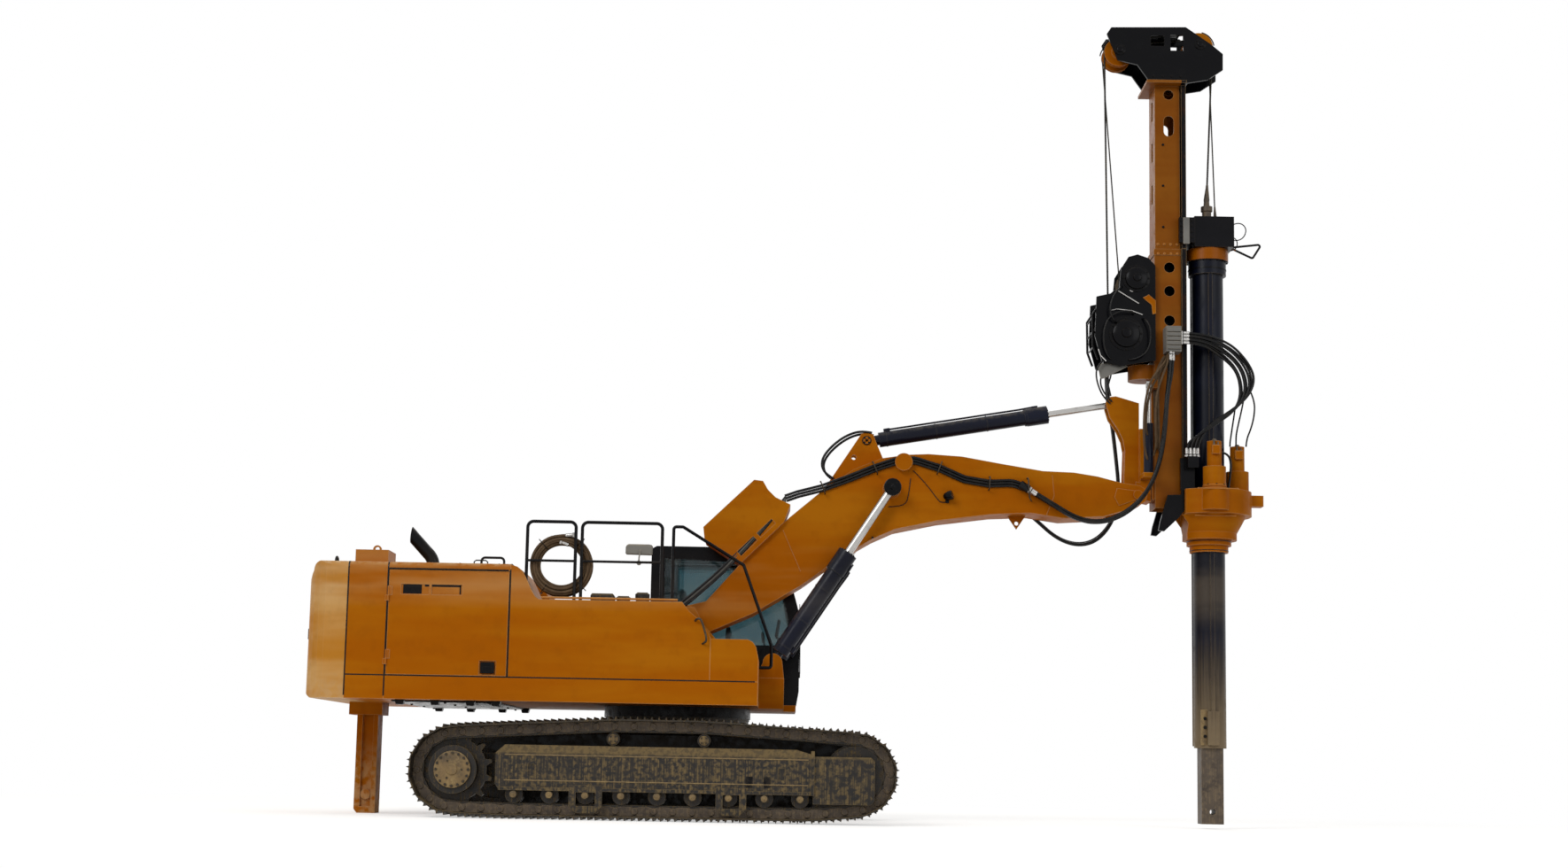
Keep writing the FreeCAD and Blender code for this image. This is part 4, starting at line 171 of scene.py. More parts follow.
def enamel(name, paint, tone, dust, worn, dust_top=1.6, roughness=0.42, edges=0.55, specular=0.1, swap=None):
    """Sprayed enamel on plate: slow tone changes, painted pale highlights on the edges and upward faces, and dust
    that thins out with height.

    Gives the eye a lively paint: pale tone bands a metre long, a painted highlight that pales the top of the body,
    orange peel in the gloss, dirt low down.
    A swap is another paint between two levels: axis, low, high, softness, colour, and how far out it goes.
    """
    material, tree, place, facing = new_material(name)
    bands = cloudy(tree, place, 1.1, low=0.35, high=0.68, stretch=(0.35, 1, 2.4))
    colour = add(tree, MIX, {0: bands, 6: srgb(paint), 7: srgb(tone)}, **RGBA)
    if swap:
        axis, low, high, soft, other, reach = swap
        share = between(tree, place, axis, low, high, soft)
        if reach:
            share = add(tree, MATH, [share, between(tree, place, 0, -9, reach, 0.002)], **TIMES)
        if soft > 0.1:
            runs = cloudy(tree, place, 1.6, 4, 0.32, 0.66, stretch=(26, 26, 0.7))
            thin = add(tree, MATH, [runs, 0.7], **TIMES)
            share = add(tree, MATH, [share, add(tree, MATH, [thin, share], **PLUS)], **TIMES)
        colour = add(tree, MIX, {0: share, 6: colour, 7: srgb(other)}, **RGBA)
    grime = cloudy(tree, place, 7, 5, 0.46, 0.75)
    colour = add(tree, MIX, {0: add(tree, MATH, [grime, 0.16], **TIMES), 6: colour, 7: srgb(worn)}, **RGBA)
    # painted highlight: the band 2.35 to 2.7 m up pales towards the dust colour, standing in for sunlight on the top
    # of the body
    high_up = between(tree, place, 2, 2.35, 2.7, 0.25)
    upper_highlight = add(tree, MATH, [high_up, add(tree, MATH, [bands, 0.3], **TIMES)], **TIMES)
    low_down = add(tree, MATH, [low_share(tree, place, dust_top * 0.3, dust_top), 0.55], **TIMES)
    # painted highlight: upward faces pale towards the dust colour, standing in for light falling on the tops
    upward_paling = add(tree, MATH, [upward_share(tree, facing), 0.6], **TIMES)
    speckle = cloudy(tree, place, 14, 6, 0.36, 0.62)
    # real dust low down together with the painted highlight on upward faces, broken up by speckle
    dust_and_highlight = add(tree, MATH, [add(tree, MATH, [low_down, upward_paling], **LARGER), speckle], **TIMES)
    # painted highlight: sharp edges pale towards the dust colour, standing in for sunlit edges
    edge_highlight = add(tree, MATH, [edge_share(tree, 0.011), edges], **TIMES)
    # the dust colour paints real dust, and also the painted highlights on the upper band, the upward faces and the
    # edges
    for share in (upper_highlight, dust_and_highlight, edge_highlight):
        colour = add(tree, MIX, {0: share, 6: colour, 7: srgb(dust)}, **RGBA)
    dull = add(tree, MATH, [dust_and_highlight, add(tree, MATH, [grime, 0.3], **TIMES)], **PLUS)
    sheen = add(tree, SPREAD, {"Value": dull, "To Min": roughness, "To Max": 0.85})
    peel = add(tree, "ShaderNodeTexNoise", {"Vector": place, "Scale": 130, "Detail": 2})
    bump = add(tree, "ShaderNodeBump", {"Strength": 0.05, "Distance": 0.002, "Height": peel})
    shader = {"Base Color": colour, "Roughness": sheen, "Specular IOR Level": specular, "Normal": bump}
    return coated(material, shader)


def muddy_steel(name, steel, mud, dark, metal=0.3, streak=9, mud_low=0.42, mud_high=0.62, shelf=None):
    """Cast and rolled steel under dried mud: upright streaks, pale caked dust, rust in the hollows."""
    material, tree, place, facing = new_material(name)
    rust = cloudy(tree, place, 6, 6, 0.35, 0.7)
    colour = add(tree, MIX, {0: rust, 6: srgb(steel), 7: srgb(dark)}, **RGBA)
    runs = cloudy(tree, place, 2.4, 5, mud_low, mud_high, stretch=(streak, streak, 0.9))
    cake = cloudy(tree, place, 22, 7, 0.4, 0.66)
    top = add(tree, MATH, [upward_share(tree, facing), 0.75], **TIMES)
    share = add(tree, MATH, [add(tree, MATH, [runs, cake], **TIMES), top], **LARGER)
    if shelf:
        thick = add(tree, MATH, [cake, 0.45], **PLUS)
        strip = add(tree, MATH, [between(tree, place, 2, *shelf, 0.03), thick], **TIMES)
        share = add(tree, MATH, [share, strip], **LARGER)
    edge = add(tree, MATH, [edge_share(tree, 0.008), 0.5], **TIMES)
    for part in (share, edge):
        colour = add(tree, MIX, {0: part, 6: colour, 7: srgb(mud)}, **RGBA)
    rough = add(tree, SPREAD, {"Value": share, "To Min": 0.5, "To Max": 0.92})
    height = add(tree, MATH, [share, rust], **PLUS)
    bump = add(tree, "ShaderNodeBump", {"Strength": 0.35, "Distance": 0.006, "Height": height})
    return coated(material, {"Base Color": colour, "Metallic": metal, "Roughness": rough, "Normal": bump})


def plated(name, colour, roughness, scratch):
    """Hard-chromed or ground steel: fine rings round the rod from grinding, and a smear of old oil."""
    material, tree, place, _ = new_material(name)
    smear = cloudy(tree, place, 9, high=0.7)
    fine = cloudy(tree, place, 6, 2, 0.3, 0.7, stretch=(3, 3, 90))
    share = add(tree, MATH, [smear, 0.3], **TIMES)
    colour = add(tree, MIX, {0: share, 6: srgb(colour), 7: srgb(scratch)}, **RGBA)
    rings = add(tree, MATH, [fine, smear], **TIMES)
    rough = add(tree, SPREAD, {"Value": rings, "To Min": roughness, "To Max": roughness + 0.22})
    return coated(material, {"Base Color": colour, "Metallic": 1, "Roughness": rough})


def rubber(name, base, dust, roughness=0.26, upward_paling=0.22):
    """Black hose rubber: the wrap pattern of the fabric that it was cured in, dust on its upper side."""
    material, tree, place, facing = new_material(name)
    dirt = cloudy(tree, place, 11, 5, 0.42, 0.7)
    top = add(tree, MATH, [upward_share(tree, facing), 0.35], **LARGER)
    share = add(tree, MATH, [add(tree, MATH, [top, dirt], **TIMES), upward_paling], **TIMES)
    colour = add(tree, MIX, {0: share, 6: srgb(base), 7: srgb(dust)}, **RGBA)
    feeds = {"Vector": place, "Scale": 110, "Distortion": 1.5}
    wrap = add(tree, "ShaderNodeTexWave", feeds, 1, bands_direction="DIAGONAL")
    bump = add(tree, "ShaderNodeBump", {"Strength": 0.12, "Distance": 0.001, "Height": wrap})
    shader = {"Base Color": colour, "Roughness": roughness, "Specular IOR Level": 0.2, "Normal": bump}
    return coated(material, shader)


def tinted_glass(name, tint):
    """Toughened cab glass: a faint green-blue body, and a film of dust in patches."""
    material, tree, place, _ = new_material(name)
    film = cloudy(tree, place, 4, 4, 0.45, 0.75)
    share = add(tree, MATH, [film, 0.3], **TIMES)
    colour = add(tree, MIX, {0: share, 6: srgb(tint), 7: srgb("#b9b6a4")}, **RGBA)
    rough = add(tree, SPREAD, {"Value": film, "To Min": 0.02, "To Max": 0.2})
    shader = {"Base Color": colour, "Roughness": rough, "Transmission Weight": 0.85, "IOR": 1.45, "Alpha": 0.75}
    return coated(material, shader)


def moulded(name, colour, worn):
    """Injection-moulded plastic: a leather grain about 1 mm across, rubbed smooth and paler in patches."""
    material, tree, place, _ = new_material(name)
    rubbed = add(tree, MATH, [cloudy(tree, place, 8, low=0.42, high=0.7), 0.5], **TIMES)
    colour = add(tree, MIX, {0: rubbed, 6: srgb(colour), 7: srgb(worn)}, **RGBA)
    grain = add(tree, "ShaderNodeTexVoronoi", {"Vector": place, "Scale": 700})
    bump = add(tree, "ShaderNodeBump", {"Strength": 0.15, "Distance": 0.0005, "Height": grain})
    shader = {"Base Color": colour, "Roughness": 0.55, "Specular IOR Level": 0.35, "Normal": bump}
    return coated(material, shader)


def woven(name, thread, shade):
    """Hard-wearing seat cloth: warp and weft about 1.5 mm apart with a soft sheen."""
    material, tree, place, _ = new_material(name)
    waves = []
    for axis in "XY":
        waves.append(add(tree, "ShaderNodeTexWave", {"Vector": place, "Scale": 210}, 1, bands_direction=axis))
    cloth = add(tree, MATH, waves, **TIMES)
    worn = add(tree, MATH, [cloudy(tree, place, 9), 0.3], **TIMES)
    share = add(tree, MATH, [add(tree, MATH, [cloth, 0.6], **TIMES), worn], **PLUS)
    colour = add(tree, MIX, {0: share, 6: srgb(thread), 7: srgb(shade)}, **RGBA)
    bump = add(tree, "ShaderNodeBump", {"Strength": 0.4, "Distance": 0.001, "Height": cloth})
    return coated(material, {"Base Color": colour, "Roughness": 0.9, "Sheen Weight": 0.3, "Normal": bump})


FINISHES = {}  # every finish by the name of its slot in the record

# nodes whose one coat has two colours, or that differ from their slot's common finish
NODE_FINISHES = {
    "track_frames": "frame_steel",
    # painted sunlight: the counterweight takes a paler copy of the orange enamel, as if lit by the sun from behind
    "counterweight": "bleached_paint",
    "mast_lower": "mast_paint",
    "mast_upper": "mast_paint",
    "kelly_guide": "guide_paint",
    "kelly_outer": "rod_paint",
}


def mix_finishes():
    """Makes every finish once. The orange enamel's four tones are its hex codes: paint, band, dust (also the colour
    of its painted highlights) and wear. The counterweight's enamel is a paler copy of it, with painted sunlight.
    """
    soft_black = {"edges": 0.3, "roughness": 0.3}
    FINISHES.update(
        # a paler copy of the orange enamel with more painted edge highlight: painted sunlight on the counterweight
        bleached_paint=enamel(
            "amber_enamel_painted_sunlight", "#cb862c", "#dfae6c", "#efdab6", "#98601c", specular=0.06, edges=0.7,
        ),
        orange_paint=enamel(
            "amber_enamel_sprayed", "#b36000", "#bf7209", "#dcb684", "#844602", specular=0.05, dust_top=0.9,
        ),
        black_paint=enamel(
            "black_enamel_sprayed", "#040408", "#07070b", "#453e36", "#0f0d0b", edges=0.25, roughness=0.2,
            specular=0.11,
        ),
        navy_paint=enamel(
            "navy_enamel_sprayed", "#0a0d1d", "#11162a", "#6d665c", "#080a12", edges=0.3, roughness=0.28,
            specular=0.16,
        ),
        mast_paint=enamel(
            "amber_enamel_black_rails", "#8f4d05", "#9b5a10", "#d3ae7c", "#6b3a06",
            swap=(0, 5.414, 9, 0.002, "#08080c", None),
        ),
        guide_paint=enamel(
            "black_enamel_amber_ring", "#08080c", "#0f0f14", "#5c5348", "#15120f",
            swap=(2, 6.197, 6.327, 0.001, "#a65900", 6.03), **soft_black,
        ),
        rod_paint=enamel(
            "navy_enamel_clay_below", "#080b18", "#0e1324", "#8a7a62", "#080a12", edges=0.5, roughness=0.32,
            specular=0.14, swap=(2, -1, 0.8, 1.35, "#8d7a5e", None),
        ),
        dusty_steel=muddy_steel(
            "cast_steel_dried_mud", "#211a13", "#73603f", "#0e0b08", streak=26, mud_low=0.45, mud_high=0.72,
        ),
        frame_steel=muddy_steel(
            "frame_plate_dried_mud", "#1d1712", "#84704c", "#0d0a07", streak=30, mud_low=0.36, shelf=(0.672, 0.9),
        ),
        dried_clay=muddy_steel("cast_iron_dried_clay", "#8a7046", "#a88f62", "#4a3b25", metal=0, streak=3),
        worn_steel=muddy_steel(
            "rolled_steel_worn", "#54483b", "#8d7a5f", "#3a3027", streak=24, mud_low=0.3, mud_high=0.85,
        ),
        rod_chrome=plated("hard_chromed_rod", "#b5b3b0", 0.16, "#7d7a74"),
        grey_paint=enamel("grey_primer_block", "#7c7b77", "#918e88", "#b8a88c", "#5f5a52", edges=0.4),
        cab_glass=tinted_glass("tinted_cab_glass", "#3c6872"),
        seat_fabric=woven("woven_seat_cloth", "#17171a", "#2a2a2e"),
        engine_paint=enamel("engine_enamel_grey", "#3d3f42", "#4a4c4f", "#7b7163", "#22211f"),
        hose_rubber=rubber("hose_rubber_wrapped", "#070709", "#6b5f4e"),
        dusty_hose=rubber("hose_rubber_dusty", "#5a4631", "#9c8260", 0.6, 0.6),
        # painted highlight: a pale grey hose that stands for the pale highlight along the glossy black hoses of a
        # bundle
        hose_sleeve_grey=rubber("hose_rubber_painted_highlight", "#55534e", "#9a9486"),
        moulded_grey=moulded("moulded_plastic_grey", "#2b2c2e", "#47474a"),
        red_lens=moulded("red_lamp_lens", "#7a0d0a", "#a3241b"),
        dark_screen=moulded("dark_screen_glass", "#07090b", "#14181c"),
        wire_rope=muddy_steel("wire_rope_greased", "#2b2825", "#57503f", "#121110", metal=0.8),
    )


def dress_frame():
    """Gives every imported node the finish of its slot, or its own where one coat has two colours."""
    slots = {part["node"]: part["material_slot"] for part in frame["record"]["subparts"]}
    for name, piece in frame["nodes"].items():
        material = FINISHES[NODE_FINISHES.get(name, slots[name])]
        if not piece.material_slots:
            piece.data.materials.append(material)
        for slot in piece.material_slots:
            slot.material = material


# ---------------------------------------------------------------- meshes


def across(axis, pair, station):
    """A point from a pair in the plane across an axis, and a station along that axis."""
    first, second = pair
    if axis == "X":
        return (station, first, second)
    if axis == "Y":
        return (first, station, second)
    return (first, second, station)


def rim(low, high):
    """The four corners of a rectangle, from its lowest and highest corner."""
    return [(low[0], low[1]), (high[0], low[1]), (high[0], high[1]), (low[0], high[1])]


def placed(name, mesh, slot, body=None, finish=None):
    """A finished piece: linked, with the finish of its slot, riding on its body."""
    piece = bpy.data.objects.new(name, mesh)
    bpy.context.scene.collection.objects.link(piece)
    mesh.materials.clear()
    mesh.materials.append(finish or FINISHES[slot])
    if body:
        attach(piece, body)
    return piece


class Shell:
    """Gathers the solids of one piece; each solid is closed and has its own chamfered edges."""

    def __init__(self):
        self.mesh = bmesh.new()

    def close(self, faces, chamfer=0.0):
        bmesh.ops.recalc_face_normals(self.mesh, faces=faces)
        if chamfer:
            edges = {edge for face in faces for edge in face.edges if edge.calc_face_angle(0.0) > CREASE}
            bmesh.ops.bevel(
                self.mesh, geom=list(edges), offset=chamfer, segments=1, profile=0.5, affect="EDGES",
                clamp_overlap=True,
            )
        return self

    def prism(self, outline, low, high, axis="Y", chamfer=CHAMFER):
        """An outline in the plane across an axis, drawn out between two stations."""
        ends = [[self.mesh.verts.new(across(axis, pair, at)) for pair in outline] for at in (low, high)]
        faces = [self.mesh.faces.new(end) for end in ends]
        for i in range(len(outline)):
            j = (i + 1) % len(outline)
            faces.append(self.mesh.faces.new((ends[0][i], ends[0][j], ends[1][j], ends[1][i])))
        return self.close(faces, chamfer)

    def slab(self, low, high, chamfer=CHAMFER):
        """A plate or block between two corners."""
        return self.prism(rim((low[0], low[2]), (high[0], high[2])), low[1], high[1], chamfer=chamfer)

    def lathe(self, place, way, profile, sides=24, ring=False):
        """A turned part: pairs of distance along the way and radius; a ring's last pair meets its first."""
        turn = Matrix.Translation(place) @ Vector(way).to_track_quat("Z", "Y").to_matrix().to_4x4()
        loops = []
        for along, radius in profile:
            angles = [tau * i / sides for i in range(sides)] if radius > 1e-6 else [0.0]
            loops.append(
                [self.mesh.verts.new(turn @ Vector((radius * cos(a), radius * sin(a), along))) for a in angles]
            )
        faces = []
        pairs = list(zip(loops, loops[1:] + loops[:1])) if ring else list(zip(loops, loops[1:]))
        for lower, upper in pairs:
            for i in range(sides):
                j = (i + 1) % sides
                corners = [lower[i % len(lower)], lower[j % len(lower)], upper[j % len(upper)], upper[i % len(upper)]]
                faces.append(self.mesh.faces.new(list(dict.fromkeys(corners))))
        if not ring:
            faces += [self.mesh.faces.new(loop) for loop in (loops[0], loops[-1]) if len(loop) > 1]
        return self.close(faces)

    def disc(self, place, way, radius, length, sides=24):
        """A round boss with chamfered rims, starting at its place."""
        cut = min(CHAMFER, radius * 0.4, length * 0.4)
        return self.lathe(
            place, way, [(0.0, radius - cut), (cut, radius), (length - cut, radius), (length, radius - cut)], sides
        )

    def tube(self, line, radius, sides=12, closed=False):
        """A round bar or hose along a line of points; the radius may change from point to point."""
        line = [Vector(point) for point in line]
        radii = radius if isinstance(radius, (list, tuple)) else [radius] * len(line)
        count = len(line)
        side = None
        loops = []
        for i, place in enumerate(line):
            before = line[i - 1] if i or closed else place
            after = line[(i + 1) % count] if i + 1 < count or closed else place
            way = (after - before).normalized()
            side = way.orthogonal() if side is None else side - way * side.dot(way)
            side.normalize()
            other = way.cross(side)
            loops.append(
                [
                    self.mesh.verts.new(
                        place + (side * cos(tau * k / sides) + other * sin(tau * k / sides)) * radii[i]
                    )
                    for k in range(sides)
                ]
            )
        faces = []
        for lower, upper in zip(loops, loops[1:]):
            for k in range(sides):
                m = (k + 1) % sides
                faces.append(self.mesh.faces.new((lower[k], lower[m], upper[m], upper[k])))
        if closed:
            shift = min(range(sides), key=lambda s: (loops[0][s].co - loops[-1][0].co).length)
            for k in range(sides):
                m = (k + 1) % sides
                near, far = loops[0][(k + shift) % sides], loops[0][(m + shift) % sides]
                faces.append(self.mesh.faces.new((loops[-1][k], loops[-1][m], far, near)))
        else:
            faces += [self.mesh.faces.new(loop) for loop in (loops[0], loops[-1])]
        return self.close(faces)

    def to_mesh(self, name):
        bmesh.ops.recalc_face_normals(self.mesh, faces=self.mesh.faces)
        for edge in self.mesh.edges:
            edge.smooth = edge.calc_face_angle(0.0) < CREASE
        for face in self.mesh.faces:
            face.smooth = True
        data = bpy.data.meshes.new(name)
        self.mesh.to_mesh(data)
        self.mesh.free()
        return data

    def finish(self, name, body, slot="black_paint", finish=None):
        return placed(name, self.to_mesh(name), slot, body, finish)


# ---------------------------------------------------------------- trees for what repeats


def new_tree(name, sizes):
    """An empty tree with a Geometry and a Finish input and one number for each size."""
    tree = bpy.data.node_groups.new(name, "GeometryNodeTree")
    tree.interface.new_socket("Geometry", in_out="INPUT", socket_type="NodeSocketGeometry")
    for size, value in sizes.items():
        made = tree.interface.new_socket(size, in_out="INPUT", socket_type="NodeSocketFloat")
        made.default_value = value
    tree.interface.new_socket("Finish", in_out="INPUT", socket_type="NodeSocketMaterial")
    tree.interface.new_socket("Geometry", in_out="OUTPUT", socket_type="NodeSocketGeometry")
    return tree, add(tree, "NodeGroupInput").node.outputs


def end_tree(tree, inlet, shape, flat=True):
    """Real meshes, flat or smooth, in the tree's own finish."""
    shaded = add(tree, "GeometryNodeSetShadeSmooth", {"Geometry": shape, "Shade Smooth": not flat})
    dressed = add(tree, "GeometryNodeSetMaterial", {"Geometry": shaded, "Material": inlet["Finish"]})
    add(tree, "NodeGroupOutput", {"Geometry": dressed})
    return tree


def raised(tree, mesh, height):
    """A mesh moved up along its own axis."""
    lift = add(tree, "ShaderNodeCombineXYZ", {"Z": height})
    return add(tree, "GeometryNodeTransform", {"Geometry": mesh, "Translation": lift})


def stood_on_stations(tree, inlet, shape):
    """Copies of a shape on every station, turned the way the station faces, made real."""
    facing = add(tree, "GeometryNodeInputNamedAttribute", {"Name": "facing"}, data_type="FLOAT_VECTOR")
    turn = add(tree, "FunctionNodeAlignRotationToVector", {"Vector": facing}, axis="Z")
    feeds = {"Points": inlet["Geometry"], "Instance": shape, "Rotation": turn}
    return add(tree, "GeometryNodeRealizeInstances", [add(tree, "GeometryNodeInstanceOnPoints", feeds)])


def bolt_tree():
    """A hexagon head on a round washer at every station."""
    sizes = {"Across flats": 0.03, "Head height": 0.014, "Washer radius": 0.021, "Washer": 0.004}
    tree, inlet = new_tree("bolt_heads", sizes)
    radius = add(tree, MATH, [inlet["Across flats"], 0.577], **PRODUCT)
    feeds = {"Vertices": 6, "Radius": radius, "Depth": inlet["Head height"]}
    head = add(tree, "GeometryNodeMeshCylinder", feeds)
    feeds = {"Vertices": 12, "Radius": inlet["Washer radius"], "Depth": inlet["Washer"]}
    washer = add(tree, "GeometryNodeMeshCylinder", feeds)
    half_head = add(tree, MATH, [inlet["Head height"], 0.5], **PRODUCT)
    half_washer = add(tree, MATH, [inlet["Washer"], 0.5], **PRODUCT)
    seat = add(tree, MATH, [half_head, inlet["Washer"]], operation="ADD")
    both = add(tree, "GeometryNodeJoinGeometry")
    for part in (raised(tree, head, seat), raised(tree, washer, half_washer)):
        tree.links.new(part, both.node.inputs[0])
    return end_tree(tree, inlet, stood_on_stations(tree, inlet, both))


def boss_tree():
    """A low round boss at every station, such as a pin's end or a rivet's head."""
    tree, inlet = new_tree("round_bosses", {"Radius": 0.02, "Height": 0.01, "Sides": 12.0})
    tip = add(tree, MATH, [inlet["Radius"], 0.86], **PRODUCT)
    feeds = {
        "Vertices": inlet["Sides"], "Radius Top": tip, "Radius Bottom": inlet["Radius"], "Depth": inlet["Height"],
    }
    return end_tree(tree, inlet, stood_on_stations(tree, inlet, add(tree, "GeometryNodeMeshCone", feeds)))


def bar_tree():
    """A small bar at every station, its length along the station's own direction."""
    tree, inlet = new_tree("short_bars", {"Length": 0.05, "Width": 0.01, "Height": 0.004})
    size = add(tree, "ShaderNodeCombineXYZ", {"X": inlet["Width"], "Y": inlet["Height"], "Z": inlet["Length"]})
    return end_tree(tree, inlet, stood_on_stations(tree, inlet, add(tree, "GeometryNodeMeshCube", {"Size": size})))


def rope_tree():
    """Wire rope along a line: a profile of six lobes that turns once in every lay length."""
    tree, inlet = new_tree("wire_rope", {"Diameter": 0.02, "Lay length": 0.14})
    curve = add(tree, "GeometryNodeMeshToCurve", {"Mesh": inlet["Geometry"]})
    step = add(tree, MATH, [inlet["Lay length"], 10.0], operation="DIVIDE")
    even = add(tree, "GeometryNodeResampleCurve", {"Curve": curve, "Length": step}, mode="LENGTH")
    along = add(tree, "GeometryNodeSplineParameter", out="Length")
    turns = add(tree, MATH, [along, inlet["Lay length"]], operation="DIVIDE")
    tilt = add(tree, MATH, [turns, tau], **PRODUCT)
    tilted = add(tree, "GeometryNodeSetCurveTilt", {"Curve": even, "Tilt": tilt})
    radius = add(tree, MATH, [inlet["Diameter"], 0.5], **PRODUCT)
    circle = add(tree, "GeometryNodeCurvePrimitiveCircle", {"Resolution": 12, "Radius": radius})
    odd = add(tree, MATH, [add(tree, "GeometryNodeInputIndex"), 2.0], operation="MODULO")
    share = add(tree, MATH, [1.0, add(tree, MATH, [odd, 0.16], **PRODUCT)], operation="SUBTRACT")
    place = add(tree, "GeometryNodeInputPosition")
    lobed = add(tree, "ShaderNodeVectorMath", {0: place, "Scale": share}, operation="SCALE")
    profile = add(tree, "GeometryNodeSetPosition", {"Geometry": circle, "Position": lobed})
    feeds = {"Curve": tilted, "Profile Curve": profile, "Fill Caps": True}
    return end_tree(tree, inlet, add(tree, "GeometryNodeCurveToMesh", feeds), flat=False)


TREE_MAKERS = {"bolts": bolt_tree, "bosses": boss_tree, "bars": bar_tree, "rope": rope_tree}
TREES = {}  # the trees by name, each made when it's first used


def grown(name, seed_mesh, tree_name, sizes, slot, body=None, finish=None):
    """Runs a tree on a seed mesh and keeps the result as a plain mesh."""
    if tree_name not in TREES:
        TREES[tree_name] = TREE_MAKERS[tree_name]()
    tree = TREES[tree_name]
    seed = bpy.data.objects.new(name + "_seed", seed_mesh)
    bpy.context.scene.collection.objects.link(seed)
    grow = seed.modifiers.new("grow", "NODES")
    grow.node_group = tree
    for socket in tree.interface.items_tree:
        if socket.in_out == "INPUT" and socket.name in sizes:
            grow[socket.identifier] = sizes[socket.name]
        if socket.name == "Finish":
            grow[socket.identifier] = finish or FINISHES[slot]
    graph = bpy.context.evaluated_depsgraph_get()
    mesh = bpy.data.meshes.new_from_object(seed.evaluated_get(graph), depsgraph=graph)
    seed.modifiers.remove(grow)
    bpy.data.objects.remove(seed)
    mesh.name = name
    return placed(name, mesh, slot, body, finish)


def on_stations(name, tree_name, stations, sizes, slot, body, finish=None):
    """One tree over a list of stations, each a place and the way it faces."""
    seed = bpy.data.meshes.new(name + "_stations")
    seed.from_pydata([place for place, _ in stations], [], [])
    facing = seed.attributes.new("facing", "FLOAT_VECTOR", "POINT")
    facing.data.foreach_set("vector", [part for _, way in stations for part in way])
    return grown(name, seed, tree_name, sizes, slot, body, finish)


def bolts(name, stations, flats, body, slot="black_paint", finish=None):
    """Hexagon bolts of one size, with the head and washer that belong to it."""
    sizes = {
        "Across flats": flats, "Head height": flats * 0.42, "Washer radius": flats * 0.72, "Washer": flats * 0.12,
    }
    return on_stations(name, "bolts", stations, sizes, slot, body, finish)


def circle_stations(centre, way, radius, count, start=0.0):
    """Stations spaced round a circle, all facing along its axis."""
    turn = Vector(way).to_track_quat("Z", "Y").to_matrix()
    places = []
    for i in range(count):
        angle = tau * (i + start) / count
        places.append((Vector(centre) + turn @ Vector((radius * cos(angle), radius * sin(angle), 0.0)), way))
    return places


# ---------------------------------------------------------------- hoses and ropes


def smooth_line(route, per_point=10):
    """The points of the smooth line that a route leads."""
    data = bpy.data.curves.new("guide", "CURVE")
    data.dimensions = "3D"
    data.resolution_u = per_point
    spline = data.splines.new("NURBS")
    spline.points.add(len(route) - 1)
    for point, place in zip(spline.points, route):
        point.co = (*place, 1.0)
    spline.order_u = 3
    spline.use_endpoint_u = True
    carrier = bpy.data.objects.new("guide", data)
    bpy.context.scene.collection.objects.link(carrier)
    mesh = bpy.data.meshes.new_from_object(carrier)
    line = [vertex.co.copy() for vertex in mesh.vertices]
    bpy.data.objects.remove(carrier)
    bpy.data.meshes.remove(mesh)
    return line


def moved(route, shift):
    """A route with every point moved by the same amount."""
    return [tuple(a + b for a, b in zip(point, shift)) for point in route]


def hose(name, route, diameter, bodies, finish=None):
    """One hydraulic hose along the smooth line of its route; a hose between two bodies rides on neither."""
    line = smooth_line(route)
    mesh = Shell().tube(line, diameter / 2.0, 14).to_mesh(name)
    piece = placed(name, mesh, "hose_rubber", bodies if isinstance(bodies, str) else None, finish)
    if not isinstance(bodies, str):
        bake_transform(piece)
    return piece


def ferrule(shell, place, way, radius):
    """A crimped hose end: hexagon nut, neck and ribbed sleeve, starting at the port."""
    nut, sleeve = radius * 1.55, radius * 1.28
    way = Vector(way).normalized()
    shell.lathe(place, way, [(0.0, nut * 0.9), (0.003, nut), (0.022, nut), (0.025, nut * 0.9)], sides=6)
    profile = [(0.024, radius * 0.95), (0.032, radius * 0.95)]
    for i in range(4):
        profile += [(0.034 + i * 0.014, sleeve), (0.043 + i * 0.014, sleeve), (0.046 + i * 0.014, sleeve * 0.93)]
    profile += [(0.092, sleeve), (0.098, radius * 1.05)]
    shell.lathe(place, way, profile, sides=16)


# ---------------------------------------------------------------- stage


class StageSettings(bpy.types.PropertyGroup):
    lens: bpy.props.FloatProperty(name="Lens", description="Focal length in millimetres", default=50.0)
    camera_place: bpy.props.FloatVectorProperty(
        name="Camera", description="Where the camera stands", default=(1.0988, -23.6, 0.5211), subtype="TRANSLATION"
    )
    pitch: bpy.props.FloatProperty(name="Pitch", description="Upward tilt", default=radians(7.6), subtype="ANGLE")
    roll: bpy.props.FloatProperty(name="Roll", description="Sideways tilt", default=radians(1.1), subtype="ANGLE")
    shift: bpy.props.FloatProperty(name="Shift", description="Vertical lens shift", default=0.03)
    key_power: bpy.props.FloatProperty(name="Key", description="Power of the main soft lamp", default=1500.0)
    fill_power: bpy.props.FloatProperty(name="Fill", description="Power of the fill lamp", default=380.0)
    sky: bpy.props.FloatProperty(name="Sky", description="Strength of the even light from all round", default=0.42)


def soft_lamp(name, place, aim, size, power):
    """A large square lamp turned towards a point."""
    light = bpy.data.lights.new(name, "AREA")
    light.shape = "SQUARE"
    light.size = size
    light.energy = power
    lamp = bpy.data.objects.new(name, light)
    bpy.context.scene.collection.objects.link(lamp)
    lamp.location = place
    lamp.rotation_euler = (Vector(aim) - Vector(place)).to_track_quat("-Z", "Y").to_euler()
    return lamp


def seen_by_camera(tree):
    """1 for rays from the camera and for those that mirrors and glass pass on, 0 for light on the object."""
    rays = add(tree, "ShaderNodeLightPath").node.outputs
    seen = add(tree, MATH, [rays["Is Camera Ray"], rays["Is Glossy Ray"]], **LARGER)
    return add(tree, MATH, [seen, rays["Is Transmission Ray"]], **LARGER)


